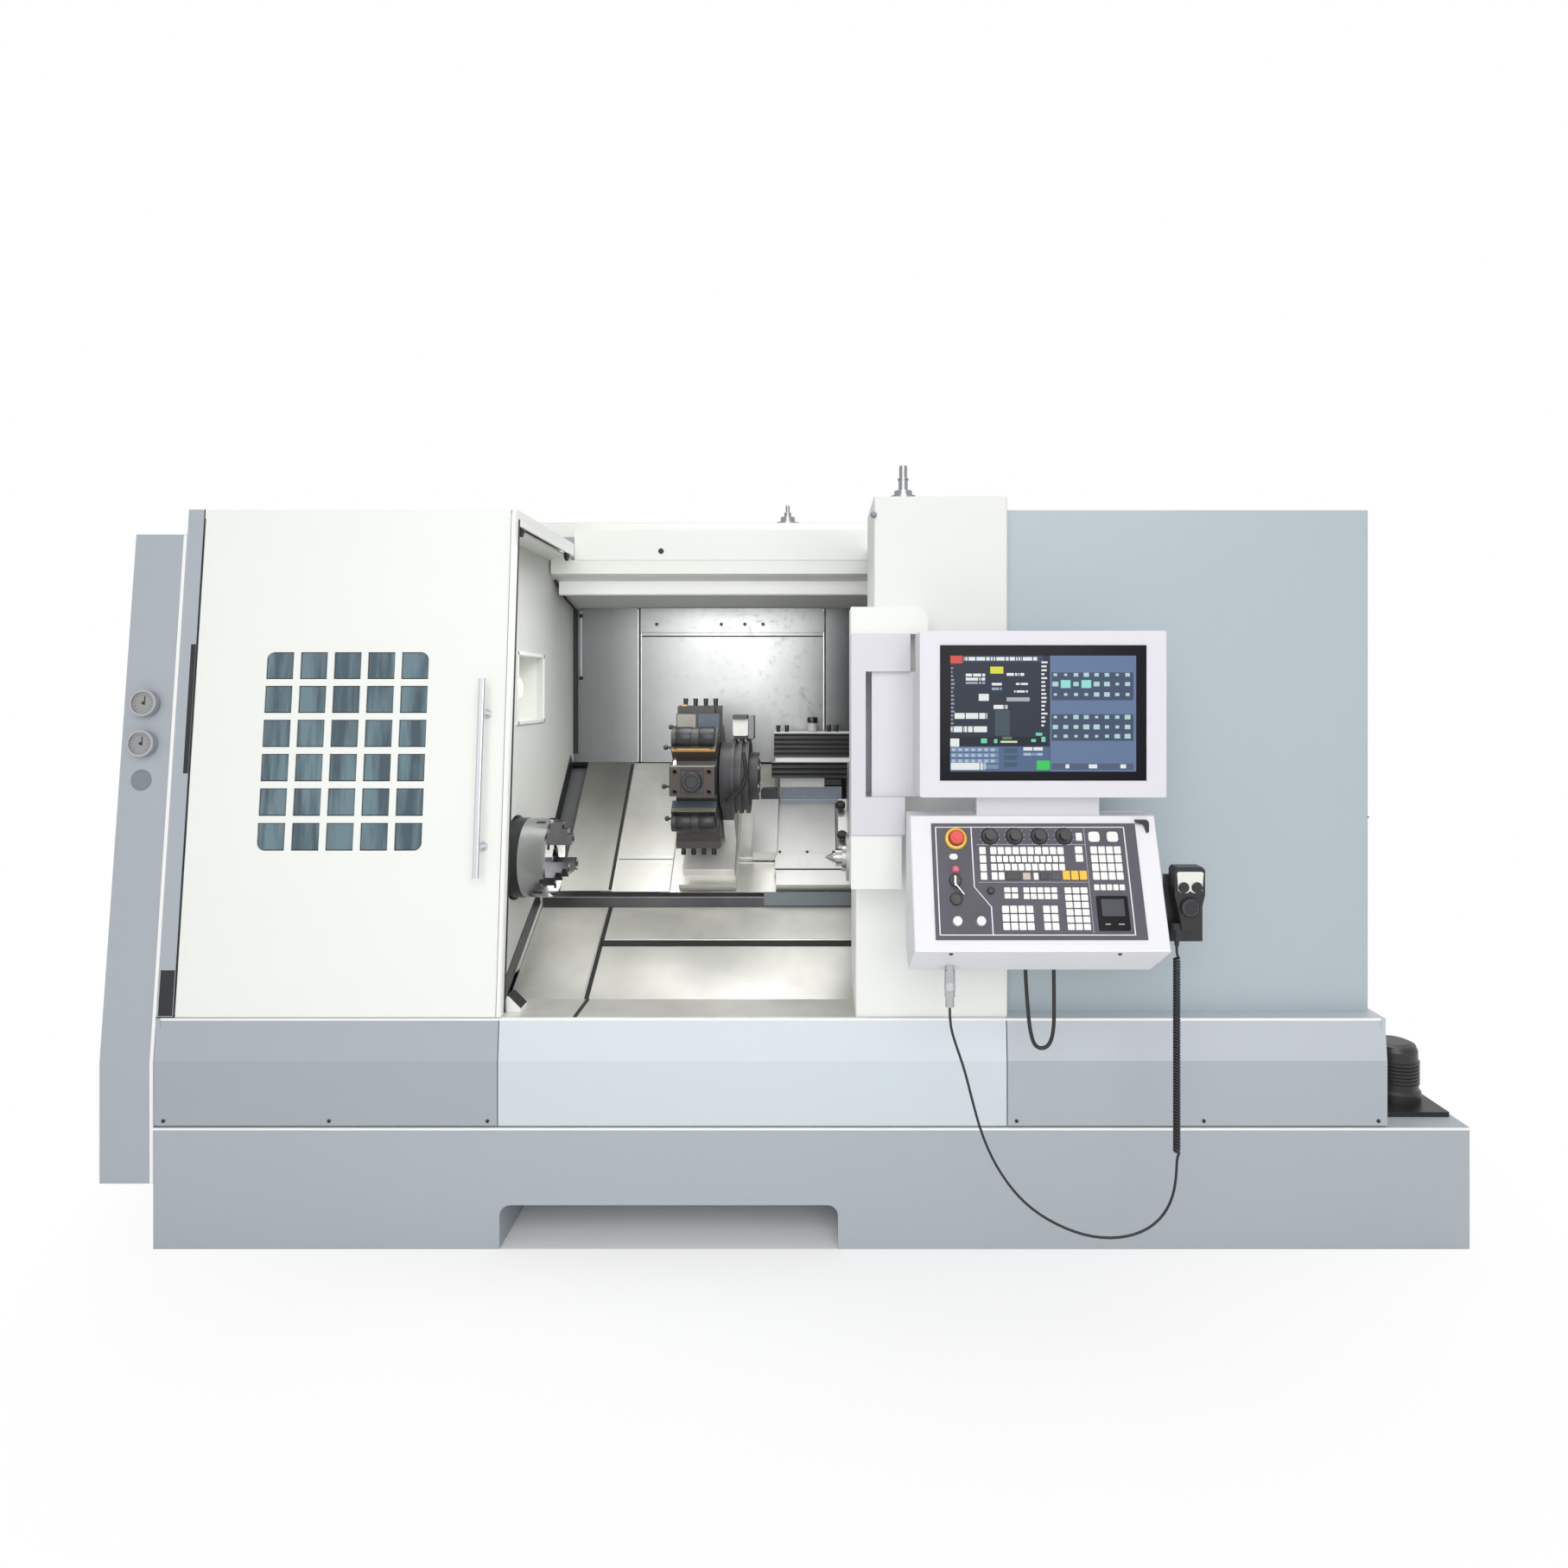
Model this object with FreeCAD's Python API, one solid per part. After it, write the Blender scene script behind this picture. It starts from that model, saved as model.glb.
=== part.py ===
import FreeCAD, Part
import math
import os

# Slant-bed turning centre with a sliding front door, a drum turret, a tailstock and a swinging
# control panel.  Millimetres, +X to the right, +Y to the back, +Z up.  The origin is on the floor,
# under the middle of the coolant tank.  A "depth" is measured backwards from the tank's front face.

V = FreeCAD.Vector

# ---------------------------------------------------------------- general
SEAT = 0.3              # gap where two parts rest on or face each other
FIT = 0.05              # radial clearance of a running fit
LEAN = 5.5              # degrees that the upper front leans back
LEAN_START = 518.0      # height where the front starts to lean back

# ---------------------------------------------------------------- coolant tank and skirt
TANK_LENGTH = 3657.0
TANK_DEPTH = 1700.0
TANK_HEIGHT = 338.0
TUNNEL_X = -396.5       # middle of the cut-out for the chip cart
TUNNEL_WIDTH = 941.0
TUNNEL_HEIGHT = 122.0
TUNNEL_DEPTH = 600.0
TUNNEL_CORNER = 30.0
APRON_LEFT = -TANK_LENGTH / 2 + 1.5
APRON_SPLIT_A = -872.0
APRON_SPLIT_B = 544.0
APRON_RIGHT = TANK_LENGTH / 2 - 228.5   # the pump stands on the tank beyond it
APRON_JOINT = 5.0       # dark joint between tank and apron
APRON_SKIN = 18.0
LEDGE_Z = 638.0
LEDGE_DEPTH = 172.0
PANEL_GAP = 3.0         # joint between neighbouring apron panels
SHELL = 6.0             # wall of the formed sheet covers

# ---------------------------------------------------------------- covers
END_COVER_WIDTH = 149.0
END_COVER_BOTTOM = 182.0
END_COVER_TOP = 2009.0
BAR_PORT_R = 62.0        # hole in the end cover in line with the spindle, for bar stock
BAR_PORT_RING = 12.0     # width of the welded ring round it
FRONT_PANEL_RIGHT = -884.0
FRONT_PANEL_SETBACK = 57.0
HOUSING_TOP = 2040.0
REAR_TOP = 2195.0
REAR_LIP_DEPTH = 1000.0
COLUMN_LEFT = 124.0
COLUMN_STEP = 51.0      # the upper column is this much narrower on its left
COLUMN_STEP_Z = 1780.0
COLUMN_RIGHT = 549.0
COLUMN_FRONT = 20.0
COLUMN_DEPTH = 340.0
COLUMN_TOP = 2095.0
COVER_LEFT = 554.0
COVER_RIGHT = APRON_RIGHT - 9.0
COVER_FRONT = 70.0
COVER_TOP = 2066.0
COVER_EDGE = 12.0

# ---------------------------------------------------------------- door
DOOR_LEFT = -TANK_LENGTH / 2 + 52.5
DOOR_RIGHT = -867.0
DOOR_BOTTOM = 640.0
DOOR_TOP = 2085.0
DOOR_SKIN = 25.0
DOOR_BACK = 815.0
DOOR_FLANGE = 52.0      # trailing seal flange on the left edge
WINDOW_COLUMNS = 5
WINDOW_ROWS = 6
WINDOW_CELL = 78.0
WINDOW_PITCH = 97.5
WINDOW_X = -1341.0
WINDOW_Z = 1380.0
WINDOW_CORNER = 22.0
GLASS = 6.0
HANDLE_X = -933.0
HANDLE_BOTTOM = 1031.0
HANDLE_LENGTH = 556.0
HANDLE_WIDTH = 17.0
HANDLE_OFF = 45.0
HANDLE_POST_INSET = 78.0

# ---------------------------------------------------------------- bed, in the plane of its slope
SLOPE = 45.0
SLOPE_DEPTH = 750.0     # lower edge of the upper slope
SLOPE_Z = 838.0
WALL_DEPTH = 1177.0      # back wall of the work area, where the upper slope ends
SLOPE_TOP_Z = SLOPE_Z + (WALL_DEPTH - SLOPE_DEPTH) * math.tan(math.radians(SLOPE))
BODY_BACK = WALL_DEPTH + 273.0   # depth of the rear cover's back face
SLOPE_LENGTH = (WALL_DEPTH - SLOPE_DEPTH) / math.cos(math.radians(SLOPE)) - 0.87
CHANNEL = 52.0          # height of the dark channel under the upper slope
APRON_SLOPE = 30.0      # lower slope
LOWER_DEPTH = 315.0
COVER_SHEET = 4.0
COVER_STEP = 5.0        # each telescoping sheet lies this far under the last
BED_DROP = 60.0         # from the covers down to the machined face
BED_LEFT = -1000.0
BED_RIGHT = COVER_RIGHT - 91.0
BED_FRONT_WALL = 140.0   # upright front of the casting stands this far before the slope's foot
BED_SHELF = 90.0         # flat top behind the slope
BED_BACK_DROP = 170.0
PEDESTAL_FRONT = 200.0
SCREW_LEFT = BED_LEFT + 100.0
SCREW_RIGHT = BED_RIGHT - 60.0
PEDESTAL_LEFT = APRON_LEFT + 27.0
PEDESTAL_TOP = 790.0
FIXED_SHEET_LEFT = -901.0
FIXED_SHEET_RIGHT = -716.0
SHEET_LAP = 40.0
MIDDLE_SHEET = 246.0
SADDLE_NECK = -366.0     # left side of the saddle neck, which the middle sheet must stay left of
SADDLE_SHEET_RIGHT = 60.0
RAIL_WIDTH = 35.0
RAIL_HEIGHT = 35.0
RAIL_LOW = 60.0
RAIL_HIGH = SLOPE_LENGTH - 123.0
TRUCK_WALL = 18.0
SCREW_U = (RAIL_LOW + RAIL_HIGH) / 2
SCREW_V = -38.0
SCREW_R = 16.0
SCREW_BLOCK = 20.0

# ---------------------------------------------------------------- spindle, chuck
AXIS_DEPTH = 450.0
AXIS_Z = 1010.0
WALL_X = -961.0         # inner face of the left work-area wall
WALL = 20.0
CHUCK_R = 127.0
CHUCK_FACE = -835.0
CHUCK_LENGTH = 103.0
ADAPTER = 32.0
SPINDLE_R = 70.0
FLANGE_R = 105.0
HEAD_LEFT = PEDESTAL_LEFT + 240.0
HEAD_FRONT = 220.0       # the headstock's front, top and back, measured from the spindle's axis
HEAD_TOP = 240.0
HEAD_CHAMFER = 80.0
HEAD_FLAT = 150.0
HEAD_BACK = 310.0
HEAD_GAP = 9.0
CYLINDER_R = 110.0
CYLINDER_LENGTH = 100.0
JAW_WIDTH = 32.0
JAW_IN = 42.0
JAW_OUT = 118.0
JAW_ROOT = 18.0
JAW_REACH = 58.0
JAW_SIDE = 0.3
LAMP_DEPTH = 460.0
LAMP_WIDTH = 285.0
LAMP_Z = 1450.0
LAMP_HEIGHT = 220.0
LAMP_BOX = 70.0
LAMP_RIM = 10.0          # the tray laps this far past the wall's window
BULB_R = 40.0
BULB_NECK_R = 22.0
BULB_LENGTH = 54.0
BORE_R = 26.0            # through bore of chuck and spindle
BORE_MOUTH_R = 36.0      # wider mouth in the chuck's face
BORE_MOUTH = 20.0
CHUCK_HOLE_GAP = 10.0    # between the chuck and the hole in the wall
WALL_LIFT = 6.0          # the wall's foot stands this far over the chute and the slope

# ---------------------------------------------------------------- saddle, turret
SADDLE_LEFT = -474.0
SADDLE_RIGHT = -272.0
SADDLE_PLATE = 38.0
CROSS_PLATE = 38.0
CROSS_FROM = 40.0
CROSS_TO = SLOPE_LENGTH - 83.0
TURRET_U = 253.0
TURRET_V = 334.0
DRUM_LEFT = -456.0
DRUM_LENGTH = 136.0
DRUM_R = 150.0
STATIONS = 8
TOOL_REACH = 246.0
TOOL_LEFT = -470.0       # left face of the tool holders
TOOL_SUNK = 2.0          # a holder's seat lies this far under the drum's flat
HOLDER_BLOCK = 62.0      # height of a plain holder over its seat
HOLDER_BREADTH = 96.0    # width of a holder round the drum
SOCKET_R = 31.0          # collar of a radial socket
SOCKET_BORE_R = 20.0
BORING_R = 34.0          # barrel of a boring-bar holder
BORING_BORE_R = 17.0
BORING_BORE = 60.0
SHANK = 26.0             # square turning tool
HOUSE_LEFT = -316.0
HOUSE_RIGHT = -187.0
HOUSE_CAP = 30.0
RIB_PITCH = 24.0
RIB_WIDTH = 12.0
CHEEK_BREADTH = 190.0
HOUSE_R = 118.0
TURRET_SHAFT_R = 40.0

# ---------------------------------------------------------------- tailstock
TAIL_LEFT = 110.0
TAIL_RIGHT = 500.0
TAIL_COVER_LEFT = -218.0
TAIL_COVER_RIGHT = 141.0
TAIL_CHEEK = 88.0        # width of the left cheek of the slanted cover
TAIL_STEP_LEFT = 82.0
BARREL_WALL = 30.0
BAR_RIGHT = 140.0
BAR_LOW_LEFT = -154.0
BAR_BOTTOM = SLOPE_TOP_Z - 46.0
BAR_LOW = (BAR_BOTTOM, BAR_BOTTOM + 60.0)
LEDGE_TOP = BAR_BOTTOM + 77.0
BAR_HIGH_LEFT = -145.0
BAR_HIGH_TOP = LEDGE_TOP + 92.0
BAR_DEPTH = 125.0
BAR_BACK_GAP = 62.0      # room between the bars and the back wall
RISER_TOP = BAR_BOTTOM - 36.0
RISER = 81.0             # height and depth of the wedge that carries the riser
RISER_LEFT = -125.0
QUILL_R = 45.0
QUILL_LENGTH = 330.0
QUILL_OUT = 14.0
CENTRE_R = 28.0
CENTRE_TIP = 56.0
CENTRE_SHANK_R = 15.0
CENTRE_SHANK = 54.0

# ---------------------------------------------------------------- header
HEADER_DEPTH = 821.0
HEADER_BOTTOM = 2028.0
HEADER_TOP = 2138.0
HEADER_LEFT = -867.0
HEADER_RIGHT = 203.0
LIP_DROP = 50.0
LIP_LEFT = -955.0
LIP_SET = 4.0            # the lip stands this far behind the fascia
LIP_THICK = 30.0
CEILING_FRONT_Z = 1973.0
CEILING_CREASE_DEPTH = 1000.0
CEILING_CREASE_Z = 1917.0
WALL_TOP = 1883.0
BACK_MAIN_LEFT = -691.0  # the main back panel, between two narrower ones
BACK_MAIN_RIGHT = 46.0
BACK_GAP = 10.0
STRIP_HEIGHT = 87.0      # strip screwed over the top of the main panel
STRIP_DROP = 10.0
STRIP_THICK = 8.0

# ---------------------------------------------------------------- control panel
PIVOT_X = 184.0
PIVOT_DEPTH = -90.0
PIN_R = 14.0
BRACKET_LEFT = 106.0
BRACKET_RIGHT = 262.0
BRACKET_STEM = 38.0
BRACKET_FRONT = -130.0
BRACKET_BOTTOM = 1170.0
BRACKET_TOP = 1702.0
BRACKET_ARM = 100.0
HOOD_HEIGHT = 72.0
BLOCK_LEFT = 161.0
BLOCK_RIGHT = 271.0
BLOCK_FRONT = -112.0
BLOCK_BACK = -60.0
MONITOR_LEFT = 271.0
MONITOR_RIGHT = 883.0
MONITOR_FRONT = -280.0
MONITOR_DEPTH = 110.0
MONITOR_BOTTOM = 1286.0
MONITOR_TOP = 1700.0
SCREEN_X = 577.0
SCREEN_Z = 1496.0
SCREEN_WIDTH = 512.0
SCREEN_HEIGHT = 336.0
SCREEN_THICK = 12.0
NECK_LEFT = 420.0
NECK_RIGHT = 731.0
DESK_LEFT = 249.0
DESK_RIGHT = 864.0
DESK_TOP_DEPTH = -250.0
DESK_TOP_Z = 1236.0
DESK_EDGE_DEPTH = -366.0
DESK_EDGE_Z = 926.0
DESK_HEEL_DEPTH = -216.0
DESK_HEEL_Z = 840.0
DESK_BACK = -150.0
PLATE_WIDTH = 510.0
PLATE_HEIGHT = 284.0
PLATE_THICK = 3.0
PLATE_X = 556.0
KNOB_R = 17.0
KNOB_HEIGHT = 20.0
KNOB_SKIRT = 5.0
KNOB_STEM_R = 5.0
KNOB_MARK = 3.0          # width of the raised pointer on the grip
KNOB_FIRST = 0.283      # places on the key plate, as shares of its width and height
KNOB_STEP = 0.121
KNOB_ROW = 0.115
STOP_X = 0.118
STOP_Y = 0.135
STOP_RING_R = 25.0
STOP_CAP_R = 18.0
STOP_HEIGHT = 22.0
STOP_RING = 4.0          # height of the ring round the stop button
STOP_CAP = 12.0
STOP_STEM_R = 9.0
STOP_TRAVEL = 6.0
BUTTON_R = 11.0
BUTTON_X = 0.105
BUTTON_STEP = 0.112
BUTTON_Y = 0.845
BUTTON_TRAVEL = 3.0
BUTTON_PROUD = 5.0

# ---------------------------------------------------------------- handset and cords
HANDSET_X = 947.0
HANDSET_WIDTH = 76.0
HANDSET_TOP = 1110.0
HANDSET_LENGTH = 158.0
HANDSET_DEPTH = -266.0
HANDSET_THICK = 42.0
HOLDER_WIDTH = 97.0
HOLDER_TOP = 1084.0
HOLDER_HEIGHT = 170.0
HOLDER_THICK = 12.0
HANDSET_KNOB_R = 11.0
HANDSET_KNOB_X = 16.5    # each side of the handset's middle
HANDSET_KNOB_DROP = 50.0
HANDSET_KNOB_STEM_R = 4.0
HANDSET_WHEEL_R = 24.0
HANDSET_WHEEL_DROP = 100.0
GLAND_R = 9.0
GLAND = 14.0
CORD_D = 6.5
CURL_D = 19.0
CORD_DEPTH = -250.0
CORD_X = 920.0
CURL_TOP = 878.0
CURL_BOTTOM = 392.0
CONNECTOR_X = 349.0
CONNECTOR_BOTTOM = 757.0
CORD_ROUTE = [
    (920.0, 392.0), (920.0, 345.0), (914.0, 290.0), (894.0, 241.0), (858.0, 203.0),
    (808.0, 180.0), (744.0, 173.0), (677.0, 184.0), (606.0, 214.0), (548.0, 253.0),
    (503.0, 300.0), (460.0, 365.0), (428.0, 440.0), (407.0, 516.0), (386.0, 600.0),
    (364.0, 662.0), (349.0, 712.0), (349.0, 757.0),
]
HOSE_D = 10.0
HOSE_DEPTH = -185.0
HOSE_ROUTE = [
    (553.0, 855.4), (554.0, 815.0), (559.0, 740.0), (566.0, 668.0), (580.0, 628.0),
    (612.0, 628.0), (627.0, 668.0), (628.0, 740.0), (627.0, 815.0), (627.0, 855.4),
]

# ---------------------------------------------------------------- rear cabinet, pump, top fittings
CABINET_LEFT = -700.0
CABINET_RIGHT = 700.0
CABINET_BOTTOM = 640.0
CABINET_TOP = 1900.0
CABINET_DEPTH = 225.0
CABINET_DOOR = 22.0
HINGE_R = 8.0
PUMP_X = APRON_RIGHT + 123.0
PUMP_DEPTH = 175.0
PUMP_R = 62.0
PUMP_FLARE = 8.0
PUMP_HEIGHT = 165.0
PUMP_PLATE = 14.0
PUMP_PLATE_LEFT = APRON_RIGHT + 10.0
PUMP_PLATE_WIDTH = 205.0
MAST_X = 262.0
MAST_DEPTH = 80.0
MAST_STEPS = [(36, 12), (26, 14), (13.5, 32), (16, 4), (11.5, 36)]   # radius and height of each step
GLAND_X = -98.0
GLAND_BACK = 60.0        # behind the rear cover's lip
GLAND_STEPS = [(48, 8), (28, 22), (14, 18), (8, 28)]
GAUGE_R = 38.0
GAUGE_DEPTH = 30.0
GAUGE_ROWS = (1514.0, 1399.0)
GAUGE_X = -TANK_LENGTH / 2 - END_COVER_WIDTH * 0.53

FRONT = -TANK_DEPTH / 2
AXIS_Y = FRONT + AXIS_DEPTH


# ---------------------------------------------------------------- helpers
def block(x0, x1, d0, d1, z0, z1):
    """Box between two corners; d is a depth behind the tank's front face."""
    return Part.makeBox(x1 - x0, d1 - d0, z1 - z0, V(x0, FRONT + d0, z0))


def prism(points, x0, x1):
    """A (depth, height) outline carried along X."""
    ring = [V(x0, FRONT + d, z) for d, z in points]
    return Part.Face(Part.makePolygon(ring + ring[:1])).extrude(V(x1 - x0, 0, 0))


def rod(x0, x1, depth, z, radius):
    """Round bar along X."""
    return Part.makeCylinder(radius, x1 - x0, V(x0, FRONT + depth, z), V(1, 0, 0))


def turned(profile, depth, z):
    """Closed (x, radius) outline turned about an axis along X."""
    ring = [V(x, 0, r) for x, r in profile]
    solid = Part.Face(Part.makePolygon(ring + ring[:1])).revolve(V(0, 0, 0), V(1, 0, 0), 360)
    solid.translate(V(0, FRONT + depth, z))
    return solid


def lean(z):
    """Depth of the leaning front at a height."""
    return max(0.0, z - LEAN_START) * math.tan(math.radians(LEAN))


def on_slope(u, v):
    """(depth, height) of a point u up the bed's slope and v out from its covers."""
    c = math.cos(math.radians(SLOPE))
    s = math.sin(math.radians(SLOPE))
    return SLOPE_DEPTH + u * c - v * s, SLOPE_Z + u * s + v * c


def slope_block(x0, x1, u0, u1, v0, v1):
    """Box laid on the slope."""
    return prism([on_slope(u0, v0), on_slope(u1, v0), on_slope(u1, v1), on_slope(u0, v1)], x0, x1)


def joined(shapes):
    """Several touching solids as one."""
    return shapes[0].fuse(shapes[1:]).removeSplitter()


# ---------------------------------------------------------------- tank and apron
def base_tank():
    body = block(-TANK_LENGTH / 2, TANK_LENGTH / 2, 0, TANK_DEPTH, 0, TANK_HEIGHT)
    half = TUNNEL_WIDTH / 2
    tunnel = block(TUNNEL_X - half, TUNNEL_X + half, -1, TUNNEL_DEPTH, -TUNNEL_CORNER * 2, TUNNEL_HEIGHT)
    edges = [e for e in tunnel.Edges if abs(e.Length - TUNNEL_DEPTH - 1) < 0.01 and e.BoundBox.ZMin > 0]
    return body.cut(tunnel.makeFillet(TUNNEL_CORNER, edges))


def apron(x0, x1, side_left=False, side_right=False):
    """Skirt panel: upright face, leaning band, ledge and a foot that stands back on the tank."""
    low = TANK_HEIGHT + APRON_JOINT
    back = lean(LEDGE_Z)
    foot = APRON_SKIN * 0.45
    points = [
        (0, low), (0, LEAN_START), (back, LEDGE_Z), (LEDGE_DEPTH, LEDGE_Z),
        (LEDGE_DEPTH, LEDGE_Z - APRON_SKIN), (back + APRON_SKIN, LEDGE_Z - APRON_SKIN),
        (APRON_SKIN, LEAN_START), (APRON_SKIN, TANK_HEIGHT), (foot, TANK_HEIGHT), (foot, low),
    ]
    parts = [prism(points, x0, x1)]
    if side_left:
        parts.append(block(x0, x0 + SHELL * 2, foot, BODY_BACK - SHELL, TANK_HEIGHT, LEDGE_Z))
    if side_right:
        parts.append(block(x1 - SHELL * 2, x1, foot, BODY_BACK - SHELL, TANK_HEIGHT, LEDGE_Z))
    return joined(parts) if len(parts) > 1 else parts[0]


# ---------------------------------------------------------------- covers
def left_end_cover():
    """Leaning box open to the machine, with the ringed port for bar stock in line with the spindle."""
    right = -TANK_LENGTH / 2 - SEAT
    left = right - END_COVER_WIDTH
    outer = [
        (0, END_COVER_BOTTOM), (0, LEAN_START), (lean(END_COVER_TOP), END_COVER_TOP),
        (BODY_BACK, END_COVER_TOP), (BODY_BACK, END_COVER_BOTTOM),
    ]
    inner = [
        (SHELL, END_COVER_BOTTOM + SHELL), (SHELL, LEAN_START),
        (lean(END_COVER_TOP) + SHELL, END_COVER_TOP - SHELL),
        (BODY_BACK - SHELL, END_COVER_TOP - SHELL), (BODY_BACK - SHELL, END_COVER_BOTTOM + SHELL),
    ]
    box = prism(outer, left, right).cut(prism(inner, left + SHELL, right + 1))
    ring = rod(left, left + SHELL * 2, AXIS_DEPTH, AXIS_Z, BAR_PORT_R + BAR_PORT_RING)
    port = rod(left - 1, left + SHELL * 2 + 1, AXIS_DEPTH, AXIS_Z, BAR_PORT_R)
    return box.fuse(ring).cut(port)


def pressure_gauges():
    """Two round gauges: a stepped case with a domed rim, set square to the leaning cover."""
    gauges = []
    tilt = V(0, -math.cos(math.radians(LEAN)), math.sin(math.radians(LEAN)))
    for z in GAUGE_ROWS:
        foot = V(GAUGE_X, FRONT + lean(z), z) + tilt * SEAT
        case = Part.makeCylinder(GAUGE_R * 0.86, GAUGE_DEPTH * 0.5, foot, tilt)
        rim = Part.makeCylinder(GAUGE_R, GAUGE_DEPTH * 0.5, foot + tilt * (GAUGE_DEPTH * 0.4), tilt)
        dish = Part.makeCylinder(GAUGE_R * 0.84, GAUGE_DEPTH, foot + tilt * (GAUGE_DEPTH * 0.75), tilt)
        gauges.append(case.fuse(rim).cut(dish))
    return Part.makeCompound(gauges)


def left_front_panel():
    """Fixed front and roof of the headstock side, which the door slides over."""
    x0 = -TANK_LENGTH / 2
    s = FRONT_PANEL_SETBACK
    t = SHELL * 2
    low = LEDGE_Z + SEAT
    points = [
        (lean(low) + s, low), (lean(HOUSING_TOP) + s, HOUSING_TOP), (REAR_LIP_DEPTH - SEAT, HOUSING_TOP),
        (REAR_LIP_DEPTH - SEAT, HOUSING_TOP - t), (lean(HOUSING_TOP - t) + s + t, HOUSING_TOP - t),
        (lean(low) + s + t, low),
    ]
    return prism(points, x0, FRONT_PANEL_RIGHT)


def side_wall_left():
    """Wall between the headstock and the work area, with the chuck's hole and the lamp's window."""
    s = FRONT_PANEL_SETBACK + SHELL * 2 + SEAT
    low = LEDGE_Z + SEAT
    top = HOUSING_TOP - SHELL * 2 - SEAT
    rise = math.tan(math.radians(APRON_SLOPE))
    foot = SLOPE_DEPTH - (SLOPE_Z - CHANNEL + WALL_LIFT - low) / rise
    run = WALL_DEPTH - SEAT
    climb = SLOPE_Z + (run - SLOPE_DEPTH) * math.tan(math.radians(SLOPE)) + WALL_LIFT
    points = [
        (lean(low) + s, low), (foot, low), (SLOPE_DEPTH - SHELL, SLOPE_Z - CHANNEL + WALL_LIFT),
        (SLOPE_DEPTH - SHELL, SLOPE_Z + WALL_LIFT), (run, climb),
        (run, WALL_TOP), (REAR_LIP_DEPTH, top), (lean(top) + s, top),
    ]
    wall = prism(points, WALL_X - WALL, WALL_X)
    hole = rod(WALL_X - WALL - 1, WALL_X + 1, AXIS_DEPTH, AXIS_Z, CHUCK_R + CHUCK_HOLE_GAP)
    window = block(WALL_X - WALL - 1, WALL_X + 1, LAMP_DEPTH, LAMP_DEPTH + LAMP_WIDTH,
                   LAMP_Z, LAMP_Z + LAMP_HEIGHT)
    return wall.cut(hole).cut(window)


def work_lamp():
    """Recessed lamp tray behind the wall's window, with a bulb on its back."""
    right = WALL_X - WALL - SEAT
    tray = block(right - LAMP_BOX, right, LAMP_DEPTH - LAMP_RIM, LAMP_DEPTH + LAMP_WIDTH + LAMP_RIM,
                 LAMP_Z - LAMP_RIM, LAMP_Z + LAMP_HEIGHT + LAMP_RIM)
    hollow = block(right - LAMP_BOX + SHELL, right + 1, LAMP_DEPTH, LAMP_DEPTH + LAMP_WIDTH,
                   LAMP_Z, LAMP_Z + LAMP_HEIGHT)
    depth = LAMP_DEPTH + LAMP_WIDTH / 2
    z = LAMP_Z + LAMP_HEIGHT / 2
    x = right - LAMP_BOX + SHELL
    bulb = turned([
        (x - 1, 0), (x - 1, BULB_NECK_R), (x + BULB_LENGTH * 0.22, BULB_NECK_R),
        (x + BULB_LENGTH * 0.4, BULB_R - 2), (x + BULB_LENGTH * 0.74, BULB_R),
        (x + BULB_LENGTH * 0.92, BULB_R * 0.65), (x + BULB_LENGTH, 0),
    ], depth, z)
    return tray.cut(hollow).fuse(bulb)


def back_panels():
    """Stainless back wall: left, main and right panels, and the strip screwed over the main one."""
    t = SHELL
    top = WALL_TOP - SEAT
    low = SLOPE_TOP_Z
    back = WALL_DEPTH + t
    left = block(WALL_X + SEAT, BACK_MAIN_LEFT - BACK_GAP, WALL_DEPTH, back, low, top)
    main = block(BACK_MAIN_LEFT, BACK_MAIN_RIGHT, WALL_DEPTH, back, low, top)
    right = block(BACK_MAIN_RIGHT + BACK_GAP / 2, COVER_RIGHT - SHELL * 2, WALL_DEPTH, back, low, top)
    strip_top = top - STRIP_DROP
    strip = block(BACK_MAIN_LEFT, BACK_MAIN_RIGHT, WALL_DEPTH - STRIP_THICK, WALL_DEPTH,
                  strip_top - STRIP_HEIGHT, strip_top)
    return Part.makeCompound([left, main.fuse(strip), right])


def header_fascia():
    """Beam over the opening: upright fascia, return lip below it and the roof that runs back."""
    t = SHELL * 2
    near = HEADER_DEPTH + LIP_SET
    far = near + LIP_THICK
    lip = block(LIP_LEFT, HEADER_RIGHT, near, far, HEADER_BOTTOM - LIP_DROP, HEADER_BOTTOM)
    face = block(HEADER_LEFT, HEADER_RIGHT, HEADER_DEPTH, HEADER_DEPTH + t, HEADER_BOTTOM, HEADER_TOP)
    roof = block(HEADER_LEFT, HEADER_RIGHT, HEADER_DEPTH, REAR_LIP_DEPTH - SEAT, HEADER_TOP - t, HEADER_TOP)
    tie = block(HEADER_LEFT, HEADER_RIGHT, near, far, HEADER_BOTTOM, HEADER_BOTTOM + t)
    infill = block(HEADER_RIGHT, COVER_LEFT - SEAT, COLUMN_FRONT + COLUMN_DEPTH + SEAT,
                   REAR_LIP_DEPTH - SEAT, COVER_TOP - t, COVER_TOP)
    return joined([face, roof, lip, tie, infill])


def ceiling_panel():
    """Creased sheet from the header down to the top of the back wall."""
    t = SHELL
    d0 = HEADER_DEPTH + LIP_SET + LIP_THICK + SEAT
    points = [
        (d0, CEILING_FRONT_Z), (CEILING_CREASE_DEPTH, CEILING_CREASE_Z), (WALL_DEPTH + t, WALL_TOP),
        (WALL_DEPTH + t, WALL_TOP + t), (CEILING_CREASE_DEPTH, CEILING_CREASE_Z + t),
        (d0, CEILING_FRONT_Z + t * 4),
    ]
    return prism(points, WALL_X + SEAT, COVER_LEFT - SEAT)


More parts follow.
